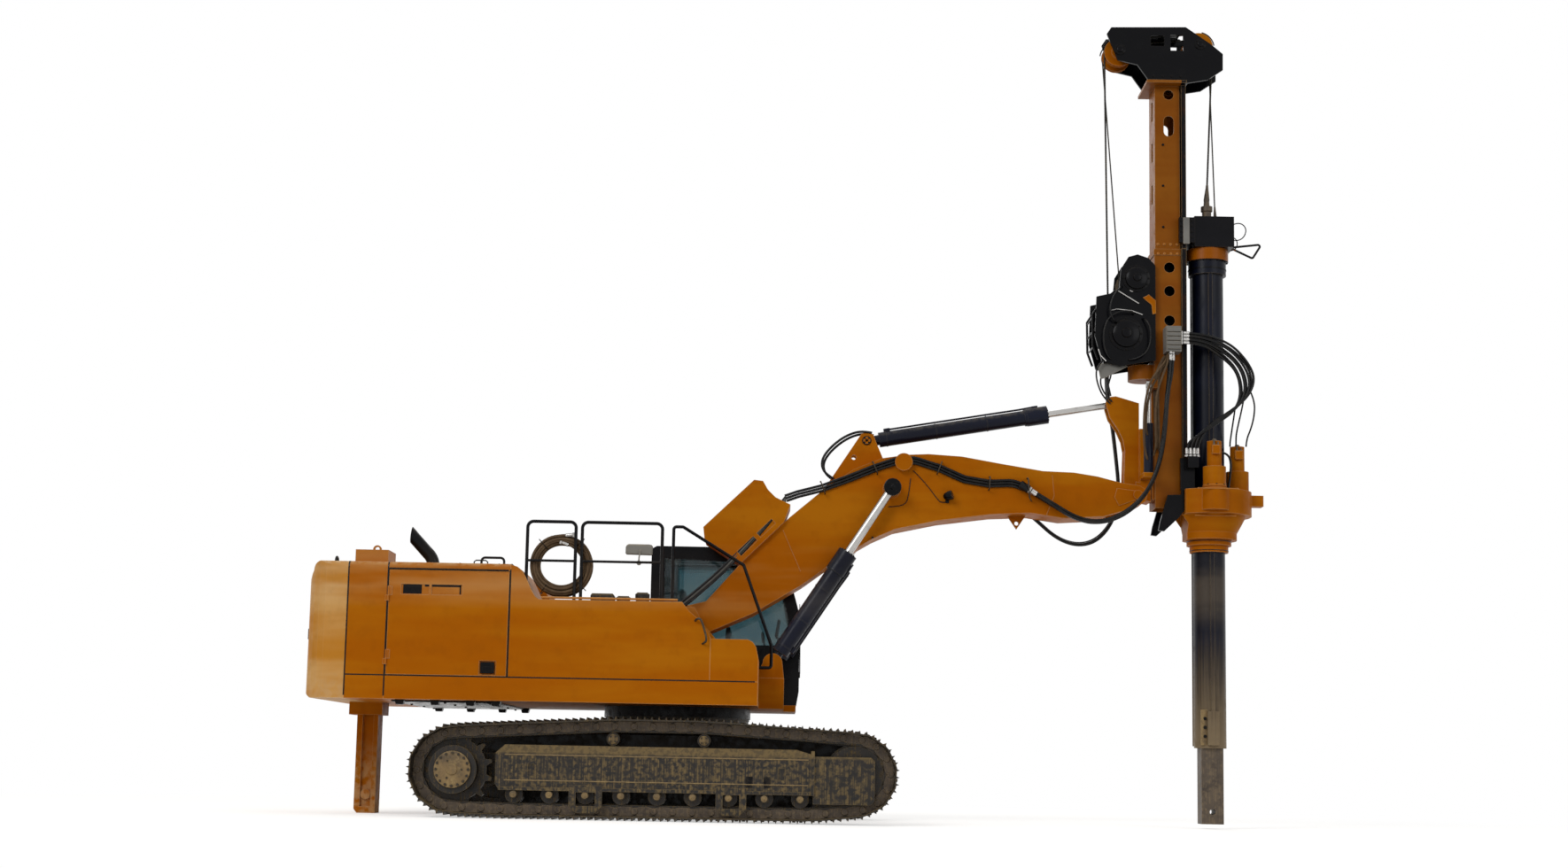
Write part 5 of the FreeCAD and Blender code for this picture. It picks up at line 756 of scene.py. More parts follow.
class RIG_OT_stage(bpy.types.Operator):
    """Pale floor, soft studio light and the camera"""

    bl_idname = "rig.stage"
    bl_label = "Stage"

    def execute(self, context):
        scene = context.scene
        settings = scene.rig_stage
        scene.view_settings.view_transform = "Standard"
        world = bpy.data.worlds.new("studio")
        world.use_nodes = True
        tree = world.node_tree
        tree.nodes.clear()
        strength = add(tree, SPREAD, {"Value": seen_by_camera(tree), "To Min": settings.sky, "To Max": 1.0})
        sky = add(tree, "ShaderNodeBackground", {"Color": srgb("#ffffff"), "Strength": strength})
        add(tree, "ShaderNodeOutputWorld", {"Surface": sky})
        scene.world = world

        mesh = bpy.data.meshes.new("floor")
        reach = 400.0
        mesh.from_pydata(
            [(-reach, -reach, 0), (reach, -reach, 0), (reach, reach, 0), (-reach, reach, 0)], [], [(0, 1, 2, 3)],
        )
        floor = bpy.data.objects.new("floor", mesh)
        scene.collection.objects.link(floor)
        material, tree, place, _ = new_material("pale_studio_floor")
        matte = add(tree, "ShaderNodeBsdfDiffuse", {"Color": srgb("#f4f3f0")})
        half = add(tree, MATH, [seen_by_camera(tree), 0.5], **PRODUCT)
        glow = add(tree, "ShaderNodeEmission", {"Color": srgb("#ffffff"), "Strength": half})
        near = add(tree, "ShaderNodeAddShader", [matte, glow])
        white = add(tree, "ShaderNodeEmission", {"Color": srgb("#ffffff"), "Strength": seen_by_camera(tree)})
        away = add(tree, "ShaderNodeVectorMath", [place], "Value", operation="LENGTH")
        far = add(tree, SPREAD, {"Value": away, "From Min": 7.0, "From Max": 14.0}, **SMOOTH)
        both = add(tree, "ShaderNodeMixShader", [far, near, white])
        add(tree, "ShaderNodeOutputMaterial", {"Surface": both})
        mesh.materials.append(material)

        soft_lamp("key_lamp", (-9.0, -17.0, 15.0), (1.5, 0.0, 3.0), 9.0, settings.key_power)
        soft_lamp("fill_lamp", (15.0, -13.0, 8.0), (2.0, 0.0, 3.0), 9.0, settings.fill_power)
        soft_lamp("back_lamp", (4.0, 16.0, 15.0), (1.5, 0.0, 3.0), 9.0, settings.fill_power)

        data = bpy.data.cameras.new("camera")
        data.lens = settings.lens
        data.sensor_width = 36.0
        data.shift_y = settings.shift
        data.clip_end = 1000.0
        camera = bpy.data.objects.new("camera", data)
        scene.collection.objects.link(camera)
        turn = Matrix.Rotation(radians(90.0) + settings.pitch, 4, "X") @ Matrix.Rotation(settings.roll, 4, "Z")
        camera.matrix_world = Matrix.Translation(settings.camera_place) @ turn
        scene.camera = camera
        return {"FINISHED"}


class RIG_OT_finishes(bpy.types.Operator):
    """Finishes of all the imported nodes"""

    bl_idname = "rig.finishes"
    bl_label = "Finishes"

    def execute(self, context):
        mix_finishes()
        dress_frame()
        return {"FINISHED"}


# ---------------------------------------------------------------- hoses and ropes of the rig

MAST_FEED = [
    (3.742, -0.295, 3.59), (3.992, -0.295, 3.44), (4.26, -0.37, 3.262), (4.52, -0.425, 3.226),
    (4.8, -0.44, 3.35), (5.01, -0.445, 3.58), (5.14, -0.445, 3.88), (5.2, -0.445, 4.25),
    (5.225, -0.43, 4.64), (5.29, -0.365, 4.92), (5.29, -0.365, 5.1117),
]
WINCH_FEED = [
    (3.6, 0.295, 3.56), (3.85, 0.295, 3.36), (4.11, 0.3, 3.125), (4.352, 0.3, 3.045),
    (4.57, 0.3, 3.105), (4.745, 0.3, 3.33), (4.812, 0.3, 3.65), (4.77, 0.3, 4.08),
    (4.725, 0.285, 4.43), (4.65, 0.15, 4.72), (4.65, 0.15, 5.0047),
]
ROTARY_FEED = [
    (5.3763, -0.34, 5.28), (5.59, -0.34, 5.28), (5.84, -0.358, 5.17), (6.035, -0.368, 4.985),
    (6.105, -0.372, 4.76), (6.035, -0.37, 4.56), (5.83, -0.364, 4.4), (5.61, -0.352, 4.26),
    (5.5, -0.34, 4.11), (5.5, -0.34, 3.9703),
]


class HoseSettings(bpy.types.PropertyGroup):
    mast_hose: metres("Mast hose", "Hoses to the valve block", 0.029)
    winch_hose: metres("Winch hose", "Hoses to the winches", 0.038)
    rotary_hose: metres("Rotary hose", "Hoses to the rotary", 0.027)
    pilot_hose: metres("Pilot hose", "Thin hoses", 0.018)
    coil_hose: metres("Coiled hose", "Hose on the rail", 0.03)
    main_rope: metres("Main rope", "Rope that lifts the drill rod", 0.022)
    aux_rope: metres("Service rope", "Rope of the upper winch", 0.016)


def strand(route, shift, sway, splay=1.0):
    """One hose of a bundle: its route moved by a shift that sways a little, with its ends on their faces."""
    points = []
    last = len(route) - 1
    for i, place in enumerate(route):
        share = 1.0 + sway * sin(1.9 * i + 40.0 * shift[1])
        move = Vector(shift)
        if i <= 1 or i >= last - 1:
            a, b = (0, 1) if i <= 1 else (last - 1, last)
            way = (Vector(route[b]) - Vector(route[a])).normalized()
            move -= way * move.dot(way)
            share = splay if i > 1 else 0.8
        points.append(tuple(Vector(place) + move * share))
    return points


def bundle(name, node, route, shifts, diameter, bodies, splay, sway=0.3, finishes=None):
    """The hoses of one bundle with their crimped ends; the first of them stands for the bundle's node."""
    ends = (Shell(), Shell())
    for i, shift in enumerate(shifts):
        finish = FINISHES[finishes[i]] if finishes else None
        line = strand(route, shift, sway, splay)
        piece = hose("%s_%d" % (name, i + 1), line, diameter, bodies, finish=finish)
        for shell, a, b in ((ends[0], 0, 1), (ends[1], -1, -2)):
            ferrule(shell, line[a], Vector(line[b]) - Vector(line[a]), diameter * 0.51)
        if i == 0:
            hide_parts(node)
    for i, shell in enumerate(ends):
        shell.finish("%s_ends_%d" % (name, i + 1), bodies[i], "rod_chrome")


class RIG_OT_hoses(bpy.types.Operator):
    """Free hydraulic hoses between the boom, the mast and the rotary"""

    bl_idname = "rig.hoses"
    bl_label = "Hoses"

    def execute(self, context):
        sizes = context.scene.rig_hoses
        step = sizes.mast_hose * 0.56
        bundle(
            "mast_hose",
            "mast_feed_hoses",
            MAST_FEED,
            [
                (0.0, -step, step), (0.0, step, step * 0.9), (0.0, 0.0, -step * 0.9),
                (-step, -step * 1.6, -step * 0.4), (-step, step * 2.0, -step * 0.5),
            ],
            sizes.mast_hose,
            ("boom", "cradle"),
            1.9,
            # the second hose is pale grey, a painted highlight along the bundle
            finishes=["hose_rubber", "hose_sleeve_grey", "hose_rubber", "hose_rubber", "hose_rubber"],
        )
        step = sizes.winch_hose * 0.53
        bundle(
            "winch_hose",
            "winch_feed_hoses",
            WINCH_FEED,
            [(0.0, -step, 0.0), (0.0, step, step * 0.8)],
            sizes.winch_hose,
            ("boom", "cradle"),
            2.0,
        )
        step = sizes.rotary_hose * 0.56
        turns = [
            (-4.4, -0.7, -4.5), (-3.0, 0.6, -3.0), (-1.5, -0.9, -1.5), (0.0, 0.8, 0.1), (1.5, -0.8, 1.6),
            (3.0, 0.5, 3.1), (4.4, -0.6, 4.5),
        ]
        bundle(
            "rotary_hose",
            "rotary_feed_hoses",
            ROTARY_FEED,
            [(step * a, step * b, step * c) for a, b, c in turns],
            sizes.rotary_hose,
            ("mast", "rotary"),
            0.95,
            sway=0.22,
        )
        self.thin_hoses(sizes.pilot_hose)
        self.boom_foot_hoses(sizes.rotary_hose)
        self.coil(sizes.coil_hose)
        return {"FINISHED"}

    def thin_hoses(self, size):
        """Drain and pilot hoses of the winches, the right motor and the tilt cylinder."""
        falls = [
            [
                (4.552, -0.264, 5.03), (4.48, -0.268, 4.96), (4.476, -0.235, 4.84), (4.53, -0.18, 4.7),
                (4.6, -0.125, 4.62), (4.65, -0.11, 4.58),
            ],
            [
                (4.575, -0.16, 5.004), (4.56, -0.16, 4.92), (4.53, -0.15, 4.81), (4.57, -0.125, 4.71),
                (4.63, -0.112, 4.64), (4.67, -0.11, 4.6),
            ],
            [
                (4.59, -0.1, 5.004), (4.592, -0.1, 4.92), (4.62, -0.09, 4.82), (4.645, -0.085, 4.74),
                (4.66, -0.081, 4.668),
            ],
            [(4.69, 0.06, 5.004), (4.688, 0.06, 4.93), (4.66, 0.07, 4.84), (4.64, 0.078, 4.75), (4.65, 0.081, 4.668)],
        ]
        for i, route in enumerate(falls):
            hose("winch_drain_%d" % (i + 1), route, size, ("mast", "cradle"))
        motor = [
            [
                (6.13, -0.36, 4.7), (6.185, -0.32, 4.6), (6.2, -0.23, 4.46), (6.185, -0.13, 4.33),
                (6.15, -0.05, 4.22), (6.147, -0.04, 4.14),
            ],
            [
                (6.05, -0.37, 4.58), (6.045, -0.31, 4.5), (6.035, -0.2, 4.38), (6.03, -0.09, 4.27),
                (6.035, -0.05, 4.2), (6.035, -0.05, 4.14),
            ],
            [
                (5.96, -0.37, 4.5), (5.965, -0.3, 4.44), (5.97, -0.18, 4.34), (5.975, -0.07, 4.24),
                (5.975, -0.02, 4.18), (5.975, -0.02, 4.14),
            ],
        ]
        for i, route in enumerate(motor):
            hose("motor_hose_%d" % (i + 1), route, size, ("mast", "rotary"))
        valve = [
            [
                (5.245, -0.3, 5.111), (5.235, -0.32, 5.0), (5.15, -0.42, 4.88), (5.05, -0.45, 4.72),
                (5.0, -0.46, 4.55), (4.985, -0.45, 4.38), (4.99, -0.42, 4.24), (5.01, -0.382, 4.2),
            ],
            [
                (5.245, -0.34, 5.111), (5.225, -0.36, 5.02), (5.13, -0.45, 4.92), (5.02, -0.48, 4.76),
                (4.96, -0.49, 4.5), (4.955, -0.47, 4.2), (4.975, -0.43, 4.0), (5.01, -0.382, 3.93),
            ],
            [
                (5.245, -0.38, 5.111), (5.235, -0.4, 5.0), (5.17, -0.47, 4.86), (5.1, -0.49, 4.66),
                (5.075, -0.49, 4.44), (5.085, -0.46, 4.22), (5.1, -0.42, 4.06), (5.082, -0.36, 3.98),
            ],
        ]
        for i, route in enumerate(valve):
            hose(
                "side_tilt_hose_%d" % (i + 1), route, size * 1.35, ("mast", "cradle"),
                finish=FINISHES["dusty_hose"],
            )
        for i in range(4):
            x, y = 5.112 + 0.012 * i, -0.228 - 0.022 * (i % 2)
            loop = [
                (5.236 + 0.012 * i, y, 5.111), (x + 0.06, y - 0.01, 5.02), (x, y - 0.02, 4.84),
                (x - 0.005, y - 0.03, 4.62),
                (x, y - 0.03, 4.4), (x + 0.005, y - 0.02, 4.24), (x + 0.01, y - 0.006, 4.15), (
                    x + 0.02, -0.212, 4.1 - 0.02 * i,
                ),
            ]
            hose("mast_side_hose_%d" % (i + 1), loop, size * 1.4, "mast", finish=FINISHES["dusty_hose"])
        base = [
            (2.05, -0.105, 4.205), (1.95, -0.11, 4.225), (1.8, -0.118, 4.185), (1.65, -0.12, 4.085),
            (1.525, -0.12, 3.945), (1.5, -0.12, 3.83), (1.555, -0.12, 3.735), (1.64, -0.12, 3.69),
        ]
        hose("tilt_cylinder_hose_1", base, size * 1.5, "boom")
        hose("tilt_cylinder_hose_2", moved(base, (0.02, 0.045, -0.02)), size * 1.5, "boom")

    def boom_foot_hoses(self, size):
        """Hoses that leave the deck beside the boom's foot and climb its right side to the guard."""
        for i in range(3):
            y = -0.283
            up = 0.034 * i
            route = [
                (-0.33, -0.42, 1.785 + up), (-0.22, -0.41, 2.0 + up), (-0.06, -0.385, 2.16 + up),
                (0.12, -0.37, 2.3 + up),
                (0.34, -0.33, 2.5 + up), (0.5, y - 0.01, 2.66 + up), (0.68, y, 2.86 + up), (0.86, y, 3.06 + up),
                (1.0, y, 3.24 + up), (1.12, y, 3.42 + up * 0.6),
            ]
            # the middle hose is pale grey, a painted highlight along the bundle
            grey = FINISHES["hose_sleeve_grey"] if i == 1 else None
            hose(
                "boom_foot_hose_%d" % (i + 1), route, size, (UPPER, "boom"),
                finish=grey,
            )

    def coil(self, size):
        """Spare hose wound in a coil that hangs on the rail, tied with straps."""
        low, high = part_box("hose_hank")
        centre = [(a + b) / 2.0 for a, b in zip(low, high)]
        turns, per_turn = 15, 14
        mean = 0.288
        rows = [(-1.5, 1.0), (-0.5, 1.0), (0.5, 1.0), (1.5, 1.0), (2.0, 0.0), (1.0, 0.0), (0.0, 0.0), (-1.0, 0.0),
                (-2.0, 0.0), (-1.5, -1.0), (-0.5, -1.0), (0.5, -1.0), (1.5, -1.0),
                (0.6, -1.9), (-0.6, -1.9), (-1.2, -1.9)]
        route = []
        for k in range(turns * per_turn + 1):
            turn = k / per_turn
            here, nearly = int(turn), turn - int(turn)
            share = max(0.0, nearly - 0.6) / 0.4
            a, b = rows[here], rows[min(here + 1, len(rows) - 1)]
            out = (a[1] + (b[1] - a[1]) * share) * size * 0.9
            side = (a[0] + (b[0] - a[0]) * share) * size
            angle = tau * (turn + 0.22)
            fan = 1.0 + 0.16 * max(0.0, -sin(angle)) + 0.08 * sin(3.1 * here)
            radius = mean + out * fan + 0.006 * sin(2.7 * here + angle)
            route.append(
                (
                    centre[0] + radius * cos(angle), centre[1] + side * fan * 0.82,
                    centre[2] + radius * 0.985 * sin(angle),
                )
            )
        line = smooth_line(route, 4)
        mesh = Shell().tube(line, size / 2.0, 10).to_mesh("coiled_hose")
        piece = placed("coiled_hose", mesh, "dusty_hose", UPPER)
        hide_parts("hose_hank")
        coupling = Shell()
        for end, before in ((line[0], line[2]), (line[-1], line[-3])):
            way = (end - before).normalized()
            ferrule(coupling, end + way * 0.07, -way, size * 0.55)
        fitting = coupling.finish("coiled_hose_couplings", UPPER, "rod_chrome")
        straps = Shell()
        for angle in (0.9, 2.3, 4.1, 5.5):
            middle = Vector((centre[0] + mean * cos(angle), centre[1], centre[2] + mean * sin(angle)))
            out = Vector((cos(angle), 0.0, sin(angle)))
            ring = []
            for i in range(20):
                a = tau * i / 20.0
                ring.append(middle + out * (0.071 * cos(a)) + Vector((0.0, 0.066 * sin(a), 0.0)))
            straps.tube(ring, 0.0045, 6, closed=True)
        straps.finish("coil_ties", UPPER)


def belt(circles, start, end):
    """A taut line over a run of circles in side view, each with its height, place, radius and the side it passes."""
    points = [start]
    for (x, y, z), radius, first, last in circles:
        count = max(4, int(abs(last - first) / 0.13))
        for i in range(count + 1):
            angle = first + (last - first) * i / count
            points.append((x + radius * cos(angle), y, z + radius * sin(angle)))
    return points + [end]


def line_mesh(name, points):
    """An open chain of edges through the points, which a tree follows."""
    mesh = bpy.data.meshes.new(name + "_line")
    mesh.from_pydata([tuple(point) for point in points], [(i, i + 1) for i in range(len(points) - 1)], [])
    return mesh


def rope(name, points, diameter, body, slot="worn_steel"):
    """Wire rope through the points; its strands turn once in six and a half diameters."""
    sizes = {"Diameter": diameter, "Lay length": diameter * 6.5}
    return grown(name, line_mesh(name, points), "rope", sizes, slot, body, FINISHES["wire_rope"])


def middle_of(node):
    low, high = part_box(node)
    return [(a + b) / 2.0 for a, b in zip(low, high)]


class RIG_OT_ropes(bpy.types.Operator):
    """Wire ropes on the drums, over the sheaves and down to the drill rod and the rotary"""

    bl_idname = "rig.ropes"
    bl_label = "Ropes"

    def execute(self, context):
        sizes = context.scene.rig_hoses
        guide_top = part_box("kelly_guide")[1][2]
        rod = middle_of("kelly_outer")
        swivel_top = (rod[0], 0.0, guide_top + 0.235)
        self.system("main", sizes.main_rope, 0.168, swivel_top, "kelly_guide")
        self.system("aux", sizes.aux_rope, 0.131, (5.86, 0.12, guide_top + 0.022), "kelly_guide")
        return {"FINISHED"}

    def system(self, name, size, wound, end, end_body):
        drum = middle_of(name + "_winch_drum")
        rear = middle_of(name + "_rear_sheave")
        front = middle_of(name + "_front_sheave")
        low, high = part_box(name + "_winch_drum")
        y = rear[1]
        groove = (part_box(name + "_rear_sheave")[1][2] - rear[2]) - 0.016 + size * 0.5
        leave = pi - 0.02
        head = atan2(front[2] - rear[2], front[0] - rear[0])
        start = (drum[0] + wound * cos(leave), y, drum[2] + wound * sin(leave))
        over = belt(
            [
                ((rear[0], y, rear[2]), groove, pi, pi / 2.0 + head),
                ((front[0], y, front[2]), groove, pi / 2.0 + head, 0.0),
            ],
            start,
            (front[0] + groove, y, front[2] - 0.02),
        )
        rope(name + "_rope_over", over, size, "mast")
        top = over[-1]
        steps = 24
        fall = [tuple(a + (b - a) * i / steps for a, b in zip(top, end)) for i in range(steps + 1)]
        piece = rope(name + "_rope_fall", fall, size, None)
        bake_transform(piece)
        half = high[1] - 0.026 - size / 2.0
        turns = int(2.0 * half / (size * 1.04))
        wraps = []
        for i in range(turns * 20 + 1):
            turn = i / 20.0
            angle = leave - tau * turn
            wraps.append(
                (drum[0] + wound * cos(angle), -half + 2.0 * half * turn / turns, drum[2] + wound * sin(angle))
            )
        rope(name + "_rope_wound", wraps, size, name + "_winch_drum")
        socket = Shell()
        way = (Vector(top) - Vector(end)).normalized()
        socket.lathe(
            Vector(end) - way * 0.02, way,
            [(0.0, size * 1.3), (0.03, size * 1.5), (0.1, size * 1.1), (0.16, size * 0.75), (0.2, size * 0.6)], 16,
        )
        socket.finish(name + "_rope_socket", end_body, "worn_steel")


# ---------------------------------------------------------------- upper structure


class BodySettings(bpy.types.PropertyGroup):
    seam: metres("Seam", "Width of the rubber in the panel seams", 0.014)
    tread_pitch: metres("Tread pitch", "Spacing of the tread plate's lozenges", 0.045)
    grille_pitch: metres("Grille pitch", "Spacing of the roof grille's bars", 0.022)


def hoop(shell, x, half_y, z0, z1, corner, width, depth):
    """A rubber strip that goes up one side, over the roof and down the other."""
    outer = [(-half_y, z0), (-half_y, z1 - corner)]
    for i in range(1, 6):
        a = pi - pi / 2.0 * i / 5.0
        outer.append((-half_y + corner + corner * cos(a), z1 - corner + corner * sin(a)))
    outer += [(-y, z) for y, z in reversed(outer)]
    inner = [(y * (1.0 - depth / half_y), z - depth * (z > z1 - corner * 1.01)) for y, z in outer]
    shell.prism(outer + inner[::-1], x - width / 2.0, x + width / 2.0, "X", 0.0)


class RIG_OT_body_trim(bpy.types.Operator):
    """Seams, latches, caps, handles, mirror and plates of the upper structure"""

    bl_idname = "rig.body_trim"
    bl_label = "Body trim"

    def execute(self, context):
        sizes = context.scene.rig_body
        self.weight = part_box("counterweight")
        self.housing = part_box("leg_housing")
        self.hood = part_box("engine_hood")
        self.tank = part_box("tank_body")
        self.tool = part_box("front_toolbox")
        self.seams(sizes.seam)
        self.latches()
        self.door_slots()
        self.roof(sizes.grille_pitch)
        self.walkway(sizes.tread_pitch)
        self.mirror()
        self.tail()
        self.underside()
        return {"FINISHED"}

    def seams(self, width):
        rubber_strips = Shell()
        half = self.weight[1][1]
        low, high = self.weight[0][2] + 0.03, self.hood[1][2]
        for x in (self.weight[1][0], self.housing[1][0]):
            hoop(rubber_strips, x, half + 0.0025, low, high + 0.0025, 0.062, width, 0.006)
        skirt = self.hood[0][2]
        side_end = {-1.0: self.tool[1][0] - 0.03, 1.0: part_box("left_side_body")[1][0]}

        def lines(side):
            y = side * (half + 0.001)
            rubber_strips.slab(
                (self.weight[1][0], min(y, y - side * 0.01), skirt - width / 2),
                (side_end[side], max(y, y - side * 0.01), skirt + width / 2), 0.001,
            )
            x = self.tank[0][0]
            rubber_strips.slab(
                (x - width / 2, min(y, y - side * 0.01), skirt),
                (x + width / 2, max(y, y - side * 0.01), high - 0.06), 0.001,
            )
            drip = y + side * 0.012
            rubber_strips.slab(
                (self.hood[0][0] + 0.03, min(y, drip), high - 0.078),
                (self.tank[0][0] - 0.02, max(y, drip), high - 0.066), 0.002,
            )

        for side in SIDES:
            lines(side)
        rubber_strips.slab(
            (self.tank[0][0] - width / 2, -half + 0.06, high - 0.004),
            (self.tank[0][0] + width / 2, half - 0.06, high + 0.002), 0.001,
        )
        rubber_strips.finish("panel_seams", UPPER, "hose_rubber")

    def latches(self):
        """Paddle latches low on both engine doors."""
        for side, node in ((-1.0, "hood_door_right"), (1.0, "hood_door_left")):
            low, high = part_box(node)
            y = low[1] if side < 0 else high[1]
            x, z = high[0] - 0.19, low[2] + 0.082
            latch = Shell()
            plate = sorted((y, y - side * 0.012))
            latch.slab((x - 0.072, plate[0], z - 0.058), (x + 0.072, plate[1], z + 0.058), 0.004)
            latch.slab(
                (x - 0.05, y - 0.001 if side < 0 else y - 0.012, z - 0.036),
                (x + 0.052, y + 0.012 if side < 0 else y + 0.001, z + 0.012), 0.005,
            )
            latch.disc((x + 0.046, y - side * 0.01, z + 0.034), (0.0, side, 0.0), 0.011, 0.011, 16)
            latch.finish(node + "_latch", node)

    def door_slots(self):
        """Black sheets in the grip slot in the upper part of both engine doors, with a divider: painted shade in the
        slot.
        """
        for side, node in ((-1.0, "hood_door_right"), (1.0, "hood_door_left")):
            y = from_side(node, -2.45, 2.292, side)[1]
            near, far = sorted((y - side * 0.004, y + side * 0.003))
            # painted shade: black sheets on the door face stand in for the shade in its grip slot
            slot_shade = Shell()
            slot_shade.slab((-2.755, near, 2.245), (-2.565, far, 2.338), 0.001)
            slot_shade.slab((-2.535, near, 2.318), (-2.165, far, 2.338), 0.001)
            slot_shade.slab((-2.18, near, 2.245), (-2.165, far, 2.338), 0.001)
            slot_shade.finish(node + "_slot_shade", node)

    def roof(self, pitch):
        """Two raised lids, a grille over the fan and lifting handles on the hood's roof."""
        top = self.hood[1][2]
        x0, x1 = self.hood[0][0] + 0.16, self.tank[0][0] - 0.12
        middle = (x0 + x1) / 2.0
        lids = Shell()
        lids.slab((x0 + 0.3, 0.24, top - 0.004), (middle - 0.03, 1.3, top + 0.01), 0.004)
        lids.slab((middle + 0.03, 0.24, top - 0.004), (x1, 1.3, top + 0.01), 0.004)
        lids.slab((middle + 0.03, -1.3, top - 0.004), (x1, -0.78, top + 0.01), 0.004)
        lids.finish("hood_lids", UPPER, "orange_paint")
        fan = Shell()
        f0, f1, y0, y1 = middle + 0.02, x1, -0.62, 0.08
        for a, b, c, d in (
            (f0, f1, y0, y0 + 0.03), (f0, f1, y1 - 0.03, y1), (f0, f0 + 0.03, y0, y1), (f1 - 0.03, f1, y0, y1),
        ):
            fan.slab((a, c, top - 0.002), (b, d, top + 0.016), 0.003)
        fan.slab((f0 + 0.02, y0 + 0.02, top - 0.001), (f1 - 0.02, y1 - 0.02, top + 0.002), 0.0)
        fan.finish("fan_grille_frame", UPPER)
        count = int((f1 - f0 - 0.06) / pitch)
        bars = [
            ((f0 + 0.03 + pitch * (i + 0.5), (y0 + y1) / 2.0, top + 0.009), (0.0, 1.0, 0.0))
            for i in range(count)
        ]
        on_stations(
            "fan_grille_bars", "bars", bars, {
                "Length": y1 - y0 - 0.06, "Width": 0.004, "Height": 0.01,
            }, "black_paint", UPPER
        )
        heads = []
        for a, b, c, d in (
            (x0 + 0.3, middle - 0.03, 0.24, 1.3), (middle + 0.03, x1, 0.24, 1.3), (middle + 0.03, x1, -1.3, -0.78),
        ):
            heads += [
                ((x, y, top + 0.009), UP)
                for x in (a + 0.03, b - 0.03)
                for y in (c + 0.04, (c + d) / 2.0, d - 0.04)
            ]
        bolts("hood_lid_bolts", heads, 0.016, UPPER)
        handles = Shell()
        for x, y in ((middle - 0.25, 0.77), (x1 - 0.25, 0.77), (x1 - 0.25, -1.04)):
            grip = [
                (x - 0.07, y, top + 0.008), (x - 0.07, y, top + 0.052), (x - 0.05, y, top + 0.068),
                (x + 0.05, y, top + 0.068), (x + 0.07, y, top + 0.052), (x + 0.07, y, top + 0.008),
            ]
            handles.tube(grip, 0.007, 8)
        handles.finish("lid_handles", UPPER)

    def walkway(self, pitch):
        """Tread plates with raised lozenges, filler caps, a battery box and the step's loop handle."""
        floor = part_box("tank_body")[0][2] + 0.797
        x0, x1 = -1.36, 0.02
        y0, y1 = self.tank[0][1] + 0.1, self.tank[1][1] - 0.05
        plates = Shell()
        gaps = [x0, -0.905, -0.44, x1]
        for a, b in zip(gaps, gaps[1:]):
            plates.slab((a + 0.006, y0, floor - 0.001), (b - 0.006, y1, floor + 0.004), 0.001)
        plates.finish("walkway_plates", UPPER)
        stations = []
        for i in range(int((x1 - x0 - 0.05) / pitch)):
            for j in range(int((y1 - y0 - 0.05) / pitch)):
                way = (0.7, 0.7, 0.0) if (i + j) % 2 else (0.7, -0.7, 0.0)
                stations.append(((x0 + 0.04 + i * pitch, y0 + 0.04 + j * pitch, floor + 0.005), way))
        on_stations(
            "walkway_tread", "bars", stations, {"Length": 0.03, "Width": 0.004, "Height": 0.008}, "black_paint",
            UPPER,
        )
        caps = Shell()
        for x, y, r, h in ((-0.53, -1.22, 0.078, 0.055), (-0.335, -1.22, 0.075, 0.095), (-0.335, -0.86, 0.06, 0.05)):
            caps.lathe(
                (x, y, floor + 0.003), UP,
                [
                    (0.0, r * 1.15), (0.012, r * 1.15), (0.014, r * 0.9), (h * 0.5, r * 0.9), (h * 0.52, r),
                    (h - 0.008, r), (h, r * 0.86),
                ],
                28,
            )
            caps.slab(
                (x - r * 0.75, y - 0.008, floor + h - 0.002), (x + r * 0.75, y + 0.008, floor + h + 0.014), 0.003,
            )
        caps.finish("filler_caps", UPPER, "dusty_steel")
        box_low = Shell()
        box_low.slab((-0.86, -1.34, floor + 0.003), (-0.62, -1.12, floor + 0.075), 0.01)
        box_low.slab((-0.85, -1.33, floor + 0.07), (-0.63, -1.13, floor + 0.084), 0.005)
        box_low.finish("walkway_battery_box", UPPER, "dusty_steel")
        Shell().tube(
            [(-1.35, y0 - 0.075, floor + 0.02), (0.04, y0 - 0.075, floor + 0.02)], 0.012, 10,
        ).finish("walkway_edge_bar", UPPER, "orange_paint")
        step = Shell()
        y = self.tank[0][1] - 0.018
        loop = [
            (0.3, y + 0.03, 1.79), (0.325, y - 0.035, 1.795), (0.352, y - 0.045, 1.83), (0.3, y - 0.045, 2.0),
            (0.275, y - 0.04, 2.045), (0.235, y - 0.03, 2.035), (0.222, y + 0.03, 2.02),
        ]
        step.tube(smooth_line(loop, 5), 0.011, 10)
        step.finish("step_loop_handle", UPPER, "dusty_steel")

    def mirror(self):
        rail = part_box("handrails")
        x, y, z = -0.37, rail[0][1] + 0.02, 2.745
        arm = Shell()
        arm.tube(
            smooth_line(
                [(x, y + 0.017, 2.62), (x, y - 0.01, 2.66), (x + 0.01, y + 0.0, 2.7), (x + 0.01, y + 0.02, z)], 4,
            ),
            0.007, 8,
        )
        arm.disc((x, y - 0.004, 2.61), (0.0, 1.0, 0.0), 0.024, 0.04, 16)
        shape = [
            (x - 0.14, z - 0.05), (x + 0.135, z - 0.055), (x + 0.14, z + 0.048), (x + 0.1, z + 0.058),
            (x - 0.11, z + 0.058), (x - 0.14, z + 0.04),
        ]
        arm.prism(shape, y + 0.02, y + 0.06, "Y", 0.012)
        arm.finish("mirror_housing", UPPER, "grey_paint")
        face = Shell()
        inner = [(x + (a - x) * 0.9, z + (b - z) * 0.86) for a, b in shape]
        face.prism(inner, y + 0.058, y + 0.063, "Y", 0.001)
        face.finish("mirror_glass", UPPER, "rod_chrome")

